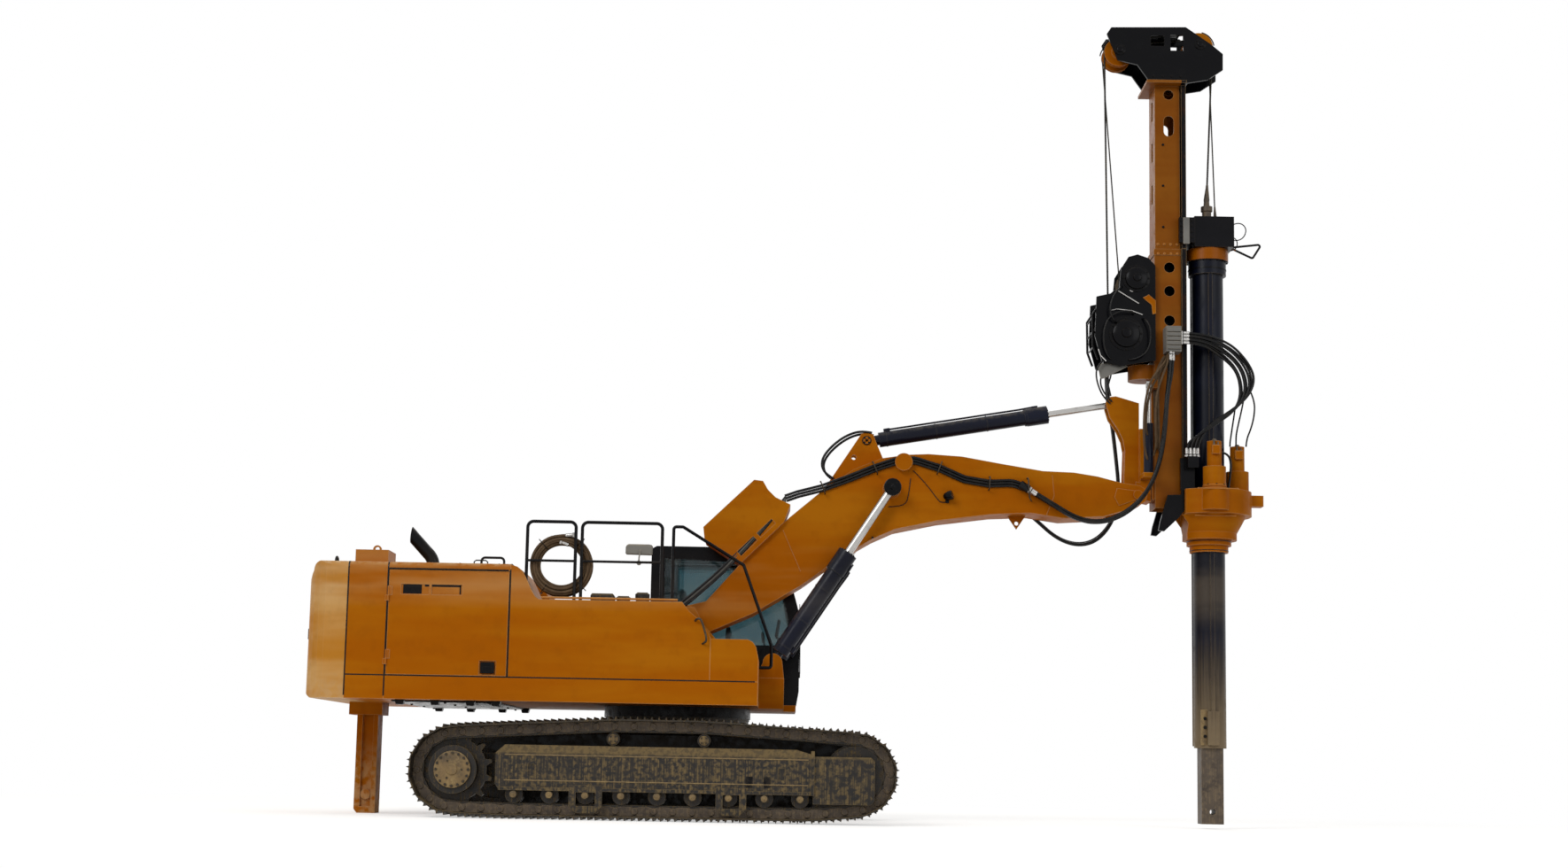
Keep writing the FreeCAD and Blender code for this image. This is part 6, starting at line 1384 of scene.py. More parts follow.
    def tail(self):
        """Rear lamps, lifting eyes and a blank bolted plate on the counterweight."""
        back = self.weight[0][0]
        top = self.weight[1][2]
        lamp = Shell()
        lens = Shell()
        for side in SIDES:
            y = side * 0.93
            lamp.slab((back - 0.0, y - 0.1, 1.78), (back + 0.05, y + 0.1, 1.9), 0.01)
            lens.slab((back - 0.0015, y - 0.085, 1.795), (back + 0.02, y + 0.085, 1.885), 0.006)
        lamp.finish("rear_lamp_housings", UPPER)
        lens.finish("rear_lamp_lenses", UPPER, "cab_glass", FINISHES["red_lens"])
        eyes = Shell()
        for side in SIDES:
            x = back + 0.22
            ring = [
                (x, side * 0.8 + 0.045 * cos(tau * i / 20), top + 0.052 + 0.045 * sin(tau * i / 20))
                for i in range(20)
            ]
            eyes.tube(ring, 0.014, 10, closed=True)
            eyes.lathe((x, side * 0.8, top - 0.002), UP, [(0.0, 0.04), (0.012, 0.04), (0.018, 0.02)], 16)
        eyes.finish("counterweight_eyes", UPPER)
        Shell().slab(
            (back - 0.002, -0.42, 1.42), (back + 0.01, 0.42, 1.66), 0.004,
        ).finish("counterweight_plate", UPPER, "orange_paint")
        corners = [((back - 0.001, y, z), (-1.0, 0.0, 0.0)) for y in (-0.38, 0.0, 0.38) for z in (1.45, 1.63)]
        bolts("counterweight_plate_bolts", corners, 0.018, UPPER)

    def underside(self):
        """Brackets and a hose guard below the hood, and the bolts of the belly covers."""
        low = self.weight[0][2]
        brackets = Shell()
        for x in (-2.82, -2.46, -2.1, -1.84):
            for side in SIDES:
                y = side * 1.3
                brackets.prism(
                    [(x, low + 0.002), (x + 0.1, low + 0.002), (x + 0.085, low - 0.05), (x + 0.015, low - 0.05)],
                    y - 0.05, y + 0.05, "Y", 0.004,
                )
        brackets.slab((-2.88, -1.2, low - 0.018), (-1.8, 1.2, low + 0.001), 0.004)
        brackets.finish("belly_brackets", UPPER)
        stations = [((x, y, low - 0.018), DOWN) for x in (-2.8, -2.34, -1.88) for y in (-1.1, -0.4, 0.4, 1.1)]
        bolts("belly_bolts", stations, 0.022, UPPER)


class RIG_OT_cab(bpy.types.Operator):
    """Seat, controls, wiper and lamps of the cab"""

    bl_idname = "rig.cab"
    bl_label = "Cab"

    def execute(self, context):
        self.shell_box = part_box("cab_shell")
        self.seat()
        self.controls()
        self.outside()
        return {"FINISHED"}

    def pad(self, name, low, high, tip, fill):
        block = Shell()
        outline = [(low[0], low[2]), (high[0], low[2]), (high[0] + tip, high[2]), (low[0] + tip, high[2])]
        block.prism(outline, low[1], high[1], "Y", 0.03)
        mesh = block.to_mesh(name)
        piece = bpy.data.objects.new(name, mesh)
        bpy.context.scene.collection.objects.link(piece)
        remesh = piece.modifiers.new("remesh", "REMESH")
        remesh.mode = "VOXEL"
        remesh.voxel_size = 0.012
        graph = bpy.context.evaluated_depsgraph_get()
        piece.data = bpy.data.meshes.new_from_object(piece.evaluated_get(graph), depsgraph=graph)
        piece.modifiers.clear()
        start = [vertex.co.copy() for vertex in piece.data.vertices]
        cloth = piece.modifiers.new("cloth", "CLOTH")
        cloth.settings.use_pressure = True
        cloth.settings.uniform_pressure_force = 4.0
        cloth.settings.effector_weights.gravity = 0.0
        for number in range(1, 21):
            bpy.context.scene.frame_set(number)
        graph = bpy.context.evaluated_depsgraph_get()
        swollen = bpy.data.meshes.new_from_object(piece.evaluated_get(graph), depsgraph=graph)
        piece.modifiers.clear()
        bpy.context.scene.frame_set(1)
        for vertex, was, now in zip(piece.data.vertices, start, swollen.vertices):
            move = now.co - was
            vertex.co = was + move * min(1.0, 0.018 / max(move.length, 1e-6))
        bpy.data.meshes.remove(swollen)
        smooth = piece.modifiers.new("smooth", "SUBSURF")
        smooth.levels = smooth.render_levels = 1
        graph = bpy.context.evaluated_depsgraph_get()
        mesh = bpy.data.meshes.new_from_object(piece.evaluated_get(graph), depsgraph=graph)
        bpy.data.objects.remove(piece)
        for face in mesh.polygons:
            face.use_smooth = True
        cushion = placed(name, mesh, "seat_fabric", UPPER)
        return cushion

    def seat(self):
        low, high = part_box("operator_seat")
        floor = low[2]
        mid = (low[1] + high[1]) / 2.0
        half = 0.215
        cushion = self.pad(
            "seat_cushion", (0.035, mid - half, floor + 0.315), (0.5, mid + half, floor + 0.405), 0.0, 0.7,
        )
        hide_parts("operator_seat")
        self.pad("seat_back", (-0.02, mid - half, floor + 0.44), (0.08, mid + half, floor + 1.06), -0.04, 0.7)
        self.pad("head_rest", (-0.055, mid - 0.13, floor + 1.09), (0.025, mid + 0.13, floor + 1.25), -0.01, 0.8)
        base = Shell()
        base.slab((0.06, mid - 0.2, floor), (0.46, mid + 0.2, floor + 0.06), 0.01)
        for i in range(7):
            z = floor + 0.06 + i * 0.03
            base.slab(
                (0.085 + 0.012 * (i % 2), mid - 0.175 + 0.012 * (i % 2), z),
                (0.435 - 0.012 * (i % 2), mid + 0.175 - 0.012 * (i % 2), z + 0.03), 0.006,
            )
        base.slab((0.02, mid - 0.235, floor + 0.27), (0.5, mid + 0.235, floor + 0.312), 0.012)
        base.prism(
            [(-0.035, floor + 0.4), (0.0, floor + 0.38), (-0.055, floor + 1.05), (-0.09, floor + 1.05)], mid - 0.2,
            mid + 0.2, "Y", 0.01,
        )
        for side in SIDES:
            base.tube([(-0.04, mid + side * 0.06, floor + 1.02), (-0.05, mid + side * 0.06, floor + 1.14)], 0.007, 8)
            base.slab(
                (-0.01, mid + side * 0.262 - 0.03, floor + 0.56), (0.3, mid + side * 0.262 + 0.03, floor + 0.6),
                0.012,
            )
        for side in SIDES:
            y0, y1 = sorted((mid + side * 0.275, mid + side * 0.385))
            base.prism(
                [
                    (0.1, floor), (0.6, floor), (0.62, floor + 0.42), (0.56, floor + 0.56), (0.16, floor + 0.52),
                    (0.1, floor + 0.44),
                ],
                y0, y1, "Y", 0.015,
            )
        base.finish("seat_base_consoles", UPPER, "black_paint", FINISHES["moulded_grey"])

    def controls(self):
        """Levers with boots, pedals, a blank monitor and the floor mat."""
        low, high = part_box("operator_seat")
        floor = low[2]
        mid = (low[1] + high[1]) / 2.0
        sticks = Shell()
        for side in SIDES:
            y = mid + side * 0.33
            foot = (0.48, y, floor + 0.545)
            sticks.lathe(
                foot, (0.1, 0.0, 1.0),
                [
                    (0.0, 0.045), (0.015, 0.042), (0.022, 0.034), (0.036, 0.034), (0.044, 0.024), (0.06, 0.022),
                    (0.068, 0.011), (0.16, 0.01),
                ],
                20,
            )
            sticks.lathe(
                (0.496, y, floor + 0.69), (0.15, 0.0, 1.0),
                [(0.0, 0.012), (0.01, 0.02), (0.05, 0.022), (0.085, 0.026), (0.115, 0.024), (0.125, 0.012)], 18,
            )
        for y in (-0.12, -0.04, 0.06, 0.14):
            sticks.prism(
                [(0.86, floor + 0.05), (1.02, floor + 0.13), (1.015, floor + 0.145), (0.855, floor + 0.065)],
                mid + y - 0.03, mid + y + 0.03, "Y", 0.004,
            )
            sticks.tube([(0.94, mid + y, floor + 0.09), (0.99, mid + y, floor + 0.02)], 0.008, 8)
        for y in (-0.06, 0.08):
            sticks.tube(
                smooth_line(
                    [
                        (0.97, mid + y, floor + 0.11), (0.97, mid + y, floor + 0.45), (0.92, mid + y, floor + 0.62),
                        (0.9, mid + y, floor + 0.68),
                    ],
                    4,
                ),
                0.009, 10,
            )
            sticks.lathe(
                (0.9, mid + y, floor + 0.67), (-0.1, 0.0, 1.0),
                [(0.0, 0.012), (0.01, 0.018), (0.1, 0.017), (0.115, 0.008)], 14,
            )
        screen = Shell()
        screen.prism(
            [(1.03, floor + 0.72), (1.06, floor + 0.7), (1.09, floor + 0.9), (1.06, floor + 0.915)], mid - 0.36,
            mid - 0.12, "Y", 0.008,
        )
        screen.tube(
            [(1.07, mid - 0.24, floor + 0.71), (1.09, mid - 0.24, floor + 0.45), (1.1, mid - 0.24, floor + 0.02)],
            0.014, 10,
        )
        screen.finish("cab_monitor", UPPER, "black_paint", FINISHES["moulded_grey"])
        sticks.finish("cab_controls", UPPER, "black_paint", FINISHES["moulded_grey"])
        Shell().prism(
            [(1.0275, floor + 0.735), (1.0295, floor + 0.735), (1.0595, floor + 0.895), (1.0575, floor + 0.895)],
            mid - 0.345, mid - 0.135, "Y", 0.0,
        ).finish("monitor_glass", UPPER, "cab_glass", FINISHES["dark_screen"])
        mat = Shell()
        mat.slab((0.1, mid - 0.43, floor - 0.001), (1.12, mid + 0.4, floor + 0.012), 0.004)
        for i in range(9):
            mat.slab(
                (0.66 + i * 0.045, mid - 0.22, floor + 0.011), (0.675 + i * 0.045, mid + 0.24, floor + 0.018), 0.002,
            )
        mat.finish("cab_floor_mat", UPPER, "hose_rubber")

    def outside(self):
        low, high = self.shell_box
        trim = Shell()
        mid = (low[1] + high[1]) / 2.0
        for side in (-0.42, 0.42):
            x, y, z = high[0] - 0.3, mid + side, high[2]
            trim.slab((x - 0.03, y - 0.015, z - 0.002), (x + 0.03, y + 0.015, z + 0.03), 0.004)
            trim.lathe(
                (x - 0.03, y, z + 0.075), (1.0, 0.0, 0.0),
                [(0.0, 0.03), (0.03, 0.055), (0.075, 0.058), (0.085, 0.054)], 24,
            )
        trim.finish("cab_work_lamps", UPPER)
        lens = Shell()
        for side in (-0.42, 0.42):
            x, y, z = high[0] - 0.3, mid + side, high[2]
            lens.lathe((x + 0.053, y, z + 0.075), (1.0, 0.0, 0.0), [(0.0, 0.05), (0.006, 0.046), (0.009, 0.0)], 24)
        lens.finish("cab_lamp_lenses", UPPER, "cab_glass")
        wiper = Shell()
        wiper.tube([(1.318, mid + 0.05, 1.62), (1.314, mid + 0.16, 2.1)], 0.006, 8)
        wiper.tube([(1.312, mid + 0.1, 1.86), (1.306, mid + 0.25, 2.42)], 0.004, 6)
        wiper.slab((1.3, mid + 0.03, 1.57), (1.322, mid + 0.07, 1.64), 0.006)
        wiper.finish("windscreen_wiper", UPPER)
        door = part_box("cab_door")
        grip = Shell()
        x, y = door[0][0] + 1.2, door[1][1]
        grip.slab((x - 0.07, y - 0.012, 1.86), (x + 0.05, y + 0.004, 1.95), 0.005)
        grip.slab((x - 0.05, y - 0.0, 1.885), (x + 0.035, y + 0.018, 1.912), 0.005)
        grip.finish("cab_door_handle", "cab_door")
        Shell().slab(
            (low[0] + 0.16, low[1] + 0.16, high[2] - 0.002), (low[0] + 0.44, high[1] - 0.2, high[2] + 0.012), 0.004,
        ).finish("cab_roof_plate", UPPER)
        heads = [
            ((low[0] + x, y, high[2] + 0.011), UP)
            for x in (0.19, 0.41)
            for y in (low[1] + 0.19, mid, high[1] - 0.23)
        ]
        bolts("cab_roof_bolts", heads, 0.014, UPPER)


# ---------------------------------------------------------------- boom and cylinders


def skin(node, place, way, made={}):
    """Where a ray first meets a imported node."""
    if node not in made:
        mesh = frame["nodes"][node].data
        made[node] = BVHTree.FromPolygons([v.co for v in mesh.vertices], [p.vertices for p in mesh.polygons])
    hit = made[node].ray_cast(Vector(place), Vector(way))[0]
    if hit is None:
        raise RuntimeError("nothing of %s on the way from %s" % (node, tuple(place)))
    return hit


def from_side(node, x, z, side):
    """The point of a node's side at a place in side view."""
    return skin(node, (x, side * 3.0, z), (0.0, -side, 0.0))


def met(node, rays):
    """Stations where rays, each a place and a way, first meet a node; they face back along the ray."""
    found = []
    for place, way in rays:
        try:
            found.append((skin(node, place, way), tuple(-part for part in way)))
        except RuntimeError:
            continue
    return found


def bead(shell, node, corners, side, radius):
    """A weld along corners in side view, laid on the node's own surface."""
    line = []
    for (xa, za), (xb, zb) in zip(corners, corners[1:]):
        steps = max(2, int(hypot(xb - xa, zb - za) / 0.02))
        line += [
            from_side(node, xa + (xb - xa) * i / steps, za + (zb - za) * i / steps, side)
            for i in range(steps + 1)
        ]
    shell.tube([point for i, point in enumerate(line) if i == 0 or (point - line[i - 1]).length > 1e-4], radius, 8)


class BoomSettings(bpy.types.PropertyGroup):
    bead: metres("Weld", "Radius of the weld beads", 0.006)
    pipe: metres("Pipe", "Radius of the steel pipes on the cylinders", 0.011)


class RIG_OT_boom(bpy.types.Operator):
    """Welds, pin caps, hose clamps, lamp, and the fittings of the boom's cylinders"""

    bl_idname = "rig.boom"
    bl_label = "Boom and cylinders"

    def execute(self, context):
        sizes = context.scene.rig_boom
        self.welds(sizes.bead)
        self.pins()
        self.clamps()
        self.lamp()
        for side, name in ((-1.0, "right"), (1.0, "left")):
            self.cylinder(
                "lift_%s" % name, "lift_barrels", (1.014, side * 0.385, 1.658), (1.251, 0.0, 1.911), 0.092, 1.434,
                (0.8367, 0.0, -0.5477), sizes.pipe,
            )
        self.cylinder(
            "tilt", "tilt_barrel", (1.993, 0.0, 4.119), (2.7, 0.0, 0.466), 0.082, 2.012, (-0.1701, 0.0, 0.9854),
            sizes.pipe,
        )
        return {"FINISHED"}

    def welds(self, radius):
        shell = Shell()
        for side in SIDES:
            bead(shell, "boom", [(1.099, 3.1), (1.295, 2.66)], side, radius)
            bead(shell, "boom", [(4.002, 3.755), (4.022, 3.53), (3.94, 3.32)], side, radius)
        shell.finish("boom_welds", "boom", "orange_paint")
        plates = Shell()
        for side in SIDES:
            y = from_side("boom", 4.8, 3.55, side)[1]
            outline = [(4.7, 3.63), (4.9, 3.605), (4.955, 3.56), (4.9, 3.5), (4.72, 3.435), (4.67, 3.53)]
            plates.prism(outline, min(y, y + side * 0.01), max(y, y + side * 0.01), "Y", 0.003)
        plates.finish("boom_tip_doublers", "boom", "orange_paint")
        studs = Shell()
        y = from_side("boom", 2.065, 3.038, -1.0)[1]
        studs.disc((2.065, y + 0.001, 3.038), (0.0, -1.0, 0.0), 0.012, 0.03, 10)
        studs.finish("boom_stud", "boom")

    def pins(self):
        """End caps of the pins, each held by bolts; the upper lift pins carry a grease nipple."""
        heads = {"boom": [], "lift_rods": []}
        caps = {"boom": Shell(), "lift_rods": Shell()}
        places = [
            ("boom", "boom", 0.072, 2.13, 0.08), ("boom", "boom", 1.993, 4.119, 0.05),
            ("lift_rods", "lift_cylinder_rods", 2.265, 3.569, 0.094),
        ]
        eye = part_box("lift_cylinder_rods")[1][0] - 2.265
        for body, node, x, z, radius in places:
            for side in SIDES:
                foot = Vector((x, from_side(node, x + radius * 0.85, z, side)[1], z))
                out = (0.0, side, 0.0)
                edge, rise = radius, 0.0
                if body == "lift_rods":
                    edge, rise = eye - 0.001, abs(from_side(node, x + 0.03, z, side)[1] - foot.y)
                caps[body].lathe(
                    foot - Vector(out) * 0.002, out,
                    [
                        (0.0, edge), (rise + 0.006, edge), (rise + 0.012, radius), (rise + 0.016, radius * 0.9),
                        (rise + 0.017, radius * 0.35), (rise + 0.03, radius * 0.2), (rise + 0.034, radius * 0.1),
                    ],
                    28,
                )
                heads[body] += circle_stations(foot + Vector(out) * (rise + 0.013), out, radius * 0.66, 4, 0.5)
        for body, shell in caps.items():
            shell.finish(body + "_pin_caps", body)
            bolts(body + "_pin_bolts", heads[body], 0.018, body)

    def clamps(self):
        """Round-bar clamps over the hoses on the boom's side."""
        shell = Shell()
        for (x, z), slope in (
            ((1.518, 3.567), 0.37), ((2.079, 3.794), 0.4), ((2.777, 3.808), -0.36), ((3.316, 3.65), -0.05),
        ):
            up = Vector((-sin(slope), 0.0, cos(slope)))
            middle = Vector((x, 0.0, z))
            line = []
            for rise, y in (
                (0.072, -0.25), (0.072, -0.325), (0.055, -0.347), (-0.055, -0.347), (-0.072, -0.325),
                (-0.072, -0.25),
            ):
                line.append(middle + up * rise + Vector((0.0, y, 0.0)))
            shell.tube(smooth_line(line, 4), 0.007, 8)
        loop = [
            (3.728, -0.25, 3.712), (3.728, -0.335, 3.722), (3.731, -0.375, 3.66), (3.737, -0.38, 3.55),
            (3.745, -0.345, 3.482), (3.777, -0.25, 3.471),
        ]
        shell.tube(smooth_line(loop, 5), 0.008, 8)
        shell.finish("boom_hose_clamps", "boom", "dusty_steel")

    def lamp(self):
        """Work lamp on the boom's side with its cable, and the grease line beside it."""
        wall = from_side("boom", 2.86, 3.49, -1.0)[1]
        shell = Shell()
        shell.slab((2.845, wall - 0.03, 3.43), (2.885, wall + 0.002, 3.475), 0.004)
        shell.lathe(
            (2.825, wall - 0.045, 3.49), (0.82, -0.3, 0.2),
            [(0.0, 0.02), (0.012, 0.034), (0.05, 0.048), (0.092, 0.052), (0.098, 0.047)], 22,
        )
        shell.finish("boom_lamp", "boom")
        Shell().lathe(
            Vector((2.825, wall - 0.045, 3.49)) + Vector((0.82, -0.3, 0.2)).normalized() * 0.096, (0.82, -0.3, 0.2),
            [(0.0, 0.044), (0.004, 0.04), (0.006, 0.0)], 22,
        ).finish("boom_lamp_lens", "boom", "cab_glass")
        lines = Shell()
        cable = [(2.495, 3.778), (2.582, 3.693), (2.679, 3.579), (2.757, 3.474), (2.8, 3.43), (2.85, 3.44)]
        arc = [(2.468, 3.692), (2.451, 3.518), (2.423, 3.411), (2.319, 3.38), (2.232, 3.378)]
        for run in (cable, arc):
            lines.tube(
                smooth_line([tuple(from_side("boom", x, z, -1.0) - Vector((0.0, 0.004, 0.0))) for x, z in run], 5),
                0.0045, 8,
            )
        lines.finish("boom_thin_lines", "boom", "hose_rubber")

    def cylinder(self, name, body, base, way, radius, length, out, pipe):
        """Gland bolts, clamp bands, steel pipe and port blocks of one hydraulic cylinder."""
        base, way, out = Vector(base), Vector(way).normalized(), Vector(out)
        trim = Shell()
        for at in (0.215, length * 0.38, length * 0.66):
            trim.lathe(
                base + way * at, way,
                [(0.0, radius - 0.004), (0.0, radius + 0.004), (0.014, radius + 0.004), (0.014, radius - 0.004)], 32,
                ring=True,
            )
        trim.lathe(
            base + way * (length - 0.26), way,
            [
                (0.0, radius - 0.004), (0.0, radius + 0.009), (0.01, radius + 0.012), (0.246, radius + 0.012),
                (0.256, radius + 0.007), (0.256, radius - 0.004),
            ],
            36, ring=True,
        )
        side = way.cross(out)
        for at in (0.24, length - 0.13):
            middle = base + way * at + out * (radius + 0.006)
            corners = [
                middle + way * a + side * b
                for a, b in ((-0.035, -0.026), (0.035, -0.026), (0.035, 0.026), (-0.035, 0.026))
            ]
            block = [corner + out * rise for rise in (-0.01, 0.026) for corner in corners]
            verts = [trim.mesh.verts.new(point) for point in block]
            faces = [
                trim.mesh.faces.new([verts[i] for i in face])
                for face in ((0, 1, 2, 3), (4, 5, 6, 7), (0, 1, 5, 4), (1, 2, 6, 5), (2, 3, 7, 6), (3, 0, 4, 7))
            ]
            trim.close(faces, 0.004)
        trim.finish(name + "_cylinder_trim", body, "navy_paint")
        bolts(
            name + "_gland_bolts", circle_stations(base + way * (length - 0.001), way, radius * 0.8, 10), 0.016,
            body,
        )
        lift = out * (radius + 0.018)
        run = [
            base + way * 0.24 + lift, base + way * 0.27 + lift, base + way * (length - 0.3) + lift,
            base + way * (length - 0.13) + lift * 1.06,
        ]
        Shell().tube(run, pipe, 10).finish(name + "_cylinder_pipe", body, "navy_paint")


# ---------------------------------------------------------------- mast, winches and rod guide


class MastSettings(bpy.types.PropertyGroup):
    cover: metres("Winch cover", "How far the winch covers stand out", 0.055)
    bolt: metres("Bolt", "Size across flats of the mast's bolts", 0.03)


class RIG_OT_mast(bpy.types.Operator):
    """Bolts of the mast, painted shade in its ports and holes, covers and frames of the winches, fittings of the
    rod's guide
    """

    bl_idname = "rig.mast"
    bl_label = "Mast and winches"

    def execute(self, context):
        sizes = context.scene.rig_mast
        self.box(sizes.bolt)
        self.winches(sizes.cover)
        self.guide()
        self.head()
        return {"FINISHED"}

    def box(self, flats):
        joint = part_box("mast_lower")[1][2]
        heads = []
        for side in SIDES:
            for x in (5.165, 5.235, 5.305, 5.375):
                for z in (joint - 0.055, joint + 0.055):
                    node = "mast_lower" if z < joint else "mast_upper"
                    heads.append((from_side(node, x, z, side), (0.0, side, 0.0)))
        bolts("mast_joint_bolts", heads, flats * 0.72, "mast", "orange_paint")
        # painted shade: black oblongs on the mast's back face stand in for the dark insides of its holes
        ports = Shell()
        for low, high in ((7.797, 8.052), (7.31, 7.543), (6.835, 7.067)):
            x = skin("mast_upper", (4.6, 0.02, (low + high) / 2.0), (1.0, 0.0, 0.0))[0]
            shape = [
                (-0.065, low + 0.04), (-0.025, low), (0.025, low), (0.065, low + 0.04), (0.065, high - 0.04),
                (0.025, high), (-0.025, high), (-0.065, high - 0.04),
            ]
            ports.prism(shape, x - 0.003, x + 0.004, "X", 0.001)
        ports.finish("mast_back_hole_shades", "mast")
        # painted shade: a black sheet down the middle of the mast, with cross strips, so that its side holes look
        # dark inside
        shade_core = Shell()
        shade_core.slab((5.152, -0.004, 3.6), (5.392, 0.004, joint - 0.03), 0.001)
        for z in (3.9, 4.6, 5.3, 6.0):
            shade_core.slab((5.152, -0.05, z), (5.392, 0.05, z + 0.01), 0.001)
        shade_core.finish("mast_shade_core_plate", "mast")
        studs = [
            (from_side("mast_upper", 5.225, z, side), (0.0, side, 0.0))
            for z in (7.486, 7.02, 6.553)
            for side in SIDES
        ]
        on_stations("mast_studs", "bosses", studs, {"Radius": 0.014, "Height": 0.012}, "black_paint", "mast")

    def winches(self, cover):
        """Bolted round covers over the gearboxes, guard frame, brackets and pipes."""
        heads, trim = [], Shell()
        for (x, z), radius in (((4.8, 5.33), 0.185), ((4.915, 5.95), 0.15)):
            for side in SIDES:
                foot = Vector((x, side * 0.253, z))
                out = Vector((0.0, side, 0.0))
                profile = [
                    (0.0, radius), (0.012, radius), (0.016, radius * 0.84), (cover * 0.8, radius * 0.8),
                    (cover, radius * 0.7), (cover + 0.004, radius * 0.3), (cover + 0.02, radius * 0.26),
                    (cover + 0.024, radius * 0.18),
                ]
                trim.lathe(foot, out, profile, 36)
                heads += circle_stations(foot + out * 0.012, out, radius * 0.92, 12)
        trim.finish("winch_covers", "mast")
        bolts("winch_cover_bolts", heads, 0.018, "mast")
        lattice = Shell()
        for y in (-0.215, 0.215):
            lattice.tube(
                [(4.69, y, 5.815), (4.52, y, 5.665), (4.44, y, 5.545), (4.445, y, 5.2), (4.5, y, 5.05)], 0.013, 10,
            )
            lattice.tube([(4.62, y, 5.72), (4.5, y, 5.4), (4.47, y, 5.36)], 0.009, 8)
        for x, z in ((4.6, 5.735), (4.444, 5.52), (4.447, 5.36), (4.452, 5.19)):
            lattice.tube([(x, -0.215, z), (x, 0.215, z)], 0.009, 8)
        lattice.finish("winch_guard_frame", "mast")
        marks = Shell()
        ring = [(4.869 + 0.026 * cos(tau * i / 20), -0.256, 5.83 + 0.026 * sin(tau * i / 20)) for i in range(20)]
        marks.tube(ring, 0.0055, 8, closed=True)
        marks.slab((5.02, -0.262, 5.925), (5.04, -0.254, 5.985), 0.002)
        marks.tube([(4.7, -0.268, 5.815), (4.8, -0.272, 5.752), (4.94, -0.268, 5.668)], 0.008, 10)
        marks.tube([(4.5, -0.266, 5.15), (4.52, -0.276, 5.08), (4.58, -0.272, 5.02)], 0.007, 10)
        marks.tube(
            [(4.62, -0.264, 5.58), (4.7, -0.275, 5.6), (4.86, -0.275, 5.585), (4.98, -0.264, 5.545)], 0.006, 10,
        )
        marks.finish("winch_pipes", "mast", "rod_chrome")
        Shell().prism(
            [(4.985, 5.735), (5.05, 5.77), (5.128, 5.705), (5.128, 5.56), (5.09, 5.55), (5.08, 5.655), (5.03, 5.695)],
            -0.268, -0.253, "Y", 0.003,
        ).finish("winch_bracket", "mast", "orange_paint")
        Shell().prism(
            [(4.5, 4.972), (4.528, 4.838), (4.556, 4.836), (4.83, 4.975), (4.78, 5.003), (4.54, 5.003)], -0.215,
            -0.2, "Y", 0.003,
        ).finish("winch_skid", "mast", "grey_paint")
        loops = [
            [
                (4.88, -0.262, 5.545), (4.87, -0.32, 5.565), (4.74, -0.345, 5.57), (4.6, -0.335, 5.5),
                (4.545, -0.325, 5.35), (4.55, -0.315, 5.18), (4.6, -0.29, 5.06), (4.64, -0.262, 5.045),
            ],
            [
                (4.98, -0.262, 5.5), (5.0, -0.32, 5.49), (5.05, -0.345, 5.4), (5.06, -0.345, 5.25),
                (5.02, -0.335, 5.12), (4.94, -0.32, 5.06), (4.86, -0.29, 5.04), (4.83, -0.262, 5.04),
            ],
            [
                (4.76, -0.262, 5.85), (4.745, -0.325, 5.845), (4.68, -0.35, 5.78), (4.625, -0.352, 5.68),
                (4.61, -0.35, 5.56), (4.645, -0.335, 5.47), (4.705, -0.262, 5.44),
            ],
        ]
        for i, route in enumerate(loops):
            hose("winch_side_hose_%d" % (i + 1), route, 0.019, "mast")

    def guide(self):
        """Swivel for the main rope, bolted clamp plate and wire loops on the rod's guide."""
        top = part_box("kelly_guide")[1][2]
        Shell().lathe(
            (ROD_X, 0.0, top - 0.004), UP,
            [
                (0.0, 0.08), (0.028, 0.08), (0.034, 0.052), (0.11, 0.05), (0.116, 0.064), (0.17, 0.064),
                (0.176, 0.034), (0.236, 0.03),
            ],
            28,
        ).finish("rope_swivel", "kelly_guide", "worn_steel")
        face = from_side("kelly_guide", 5.46, 6.5, -1.0)[1]
        Shell().slab(
            (5.428, face - 0.014, 6.345), (5.498, face + 0.002, 6.64), 0.003,
        ).finish("guide_clamp_plate", "kelly_guide", "grey_paint")
        heads = met(
            "kelly_guide",
            [((x, -3.0, 6.365 + 0.062 * i), (0.0, 1.0, 0.0)) for x in (5.408, 5.524) for i in range(5)],
        )
        bolts("guide_bolts", heads, 0.024, "kelly_guide")
        loops = Shell()
        wires = (
            [
                (5.975, -0.14, 6.585), (6.03, -0.15, 6.622), (6.11, -0.155, 6.61), (6.15, -0.155, 6.545),
                (6.12, -0.155, 6.455), (6.04, -0.15, 6.415), (5.975, -0.14, 6.43),
            ],
            [
                (5.965, -0.17, 6.455), (6.02, -0.175, 6.45), (6.048, -0.175, 6.38), (6.02, -0.175, 6.31),
                (5.965, -0.17, 6.3),
            ],
        )
        for wire in wires:
            loops.tube(smooth_line(wire, 6), 0.006, 8)
        loops.finish("guide_wire_loops", "kelly_guide")
        Shell().lathe(
            (ROD_X, 0.0, 6.1), UP, [(0.0, 0.204), (0.0, 0.211), (0.012, 0.211), (0.012, 0.204)], 40, ring=True,
        ).finish("guide_collar_band", "kelly_guide")
        bolts("guide_ring_bolts", circle_stations((ROD_X, 0.0, 6.196), DOWN, 0.219, 16), 0.016, "kelly_guide")

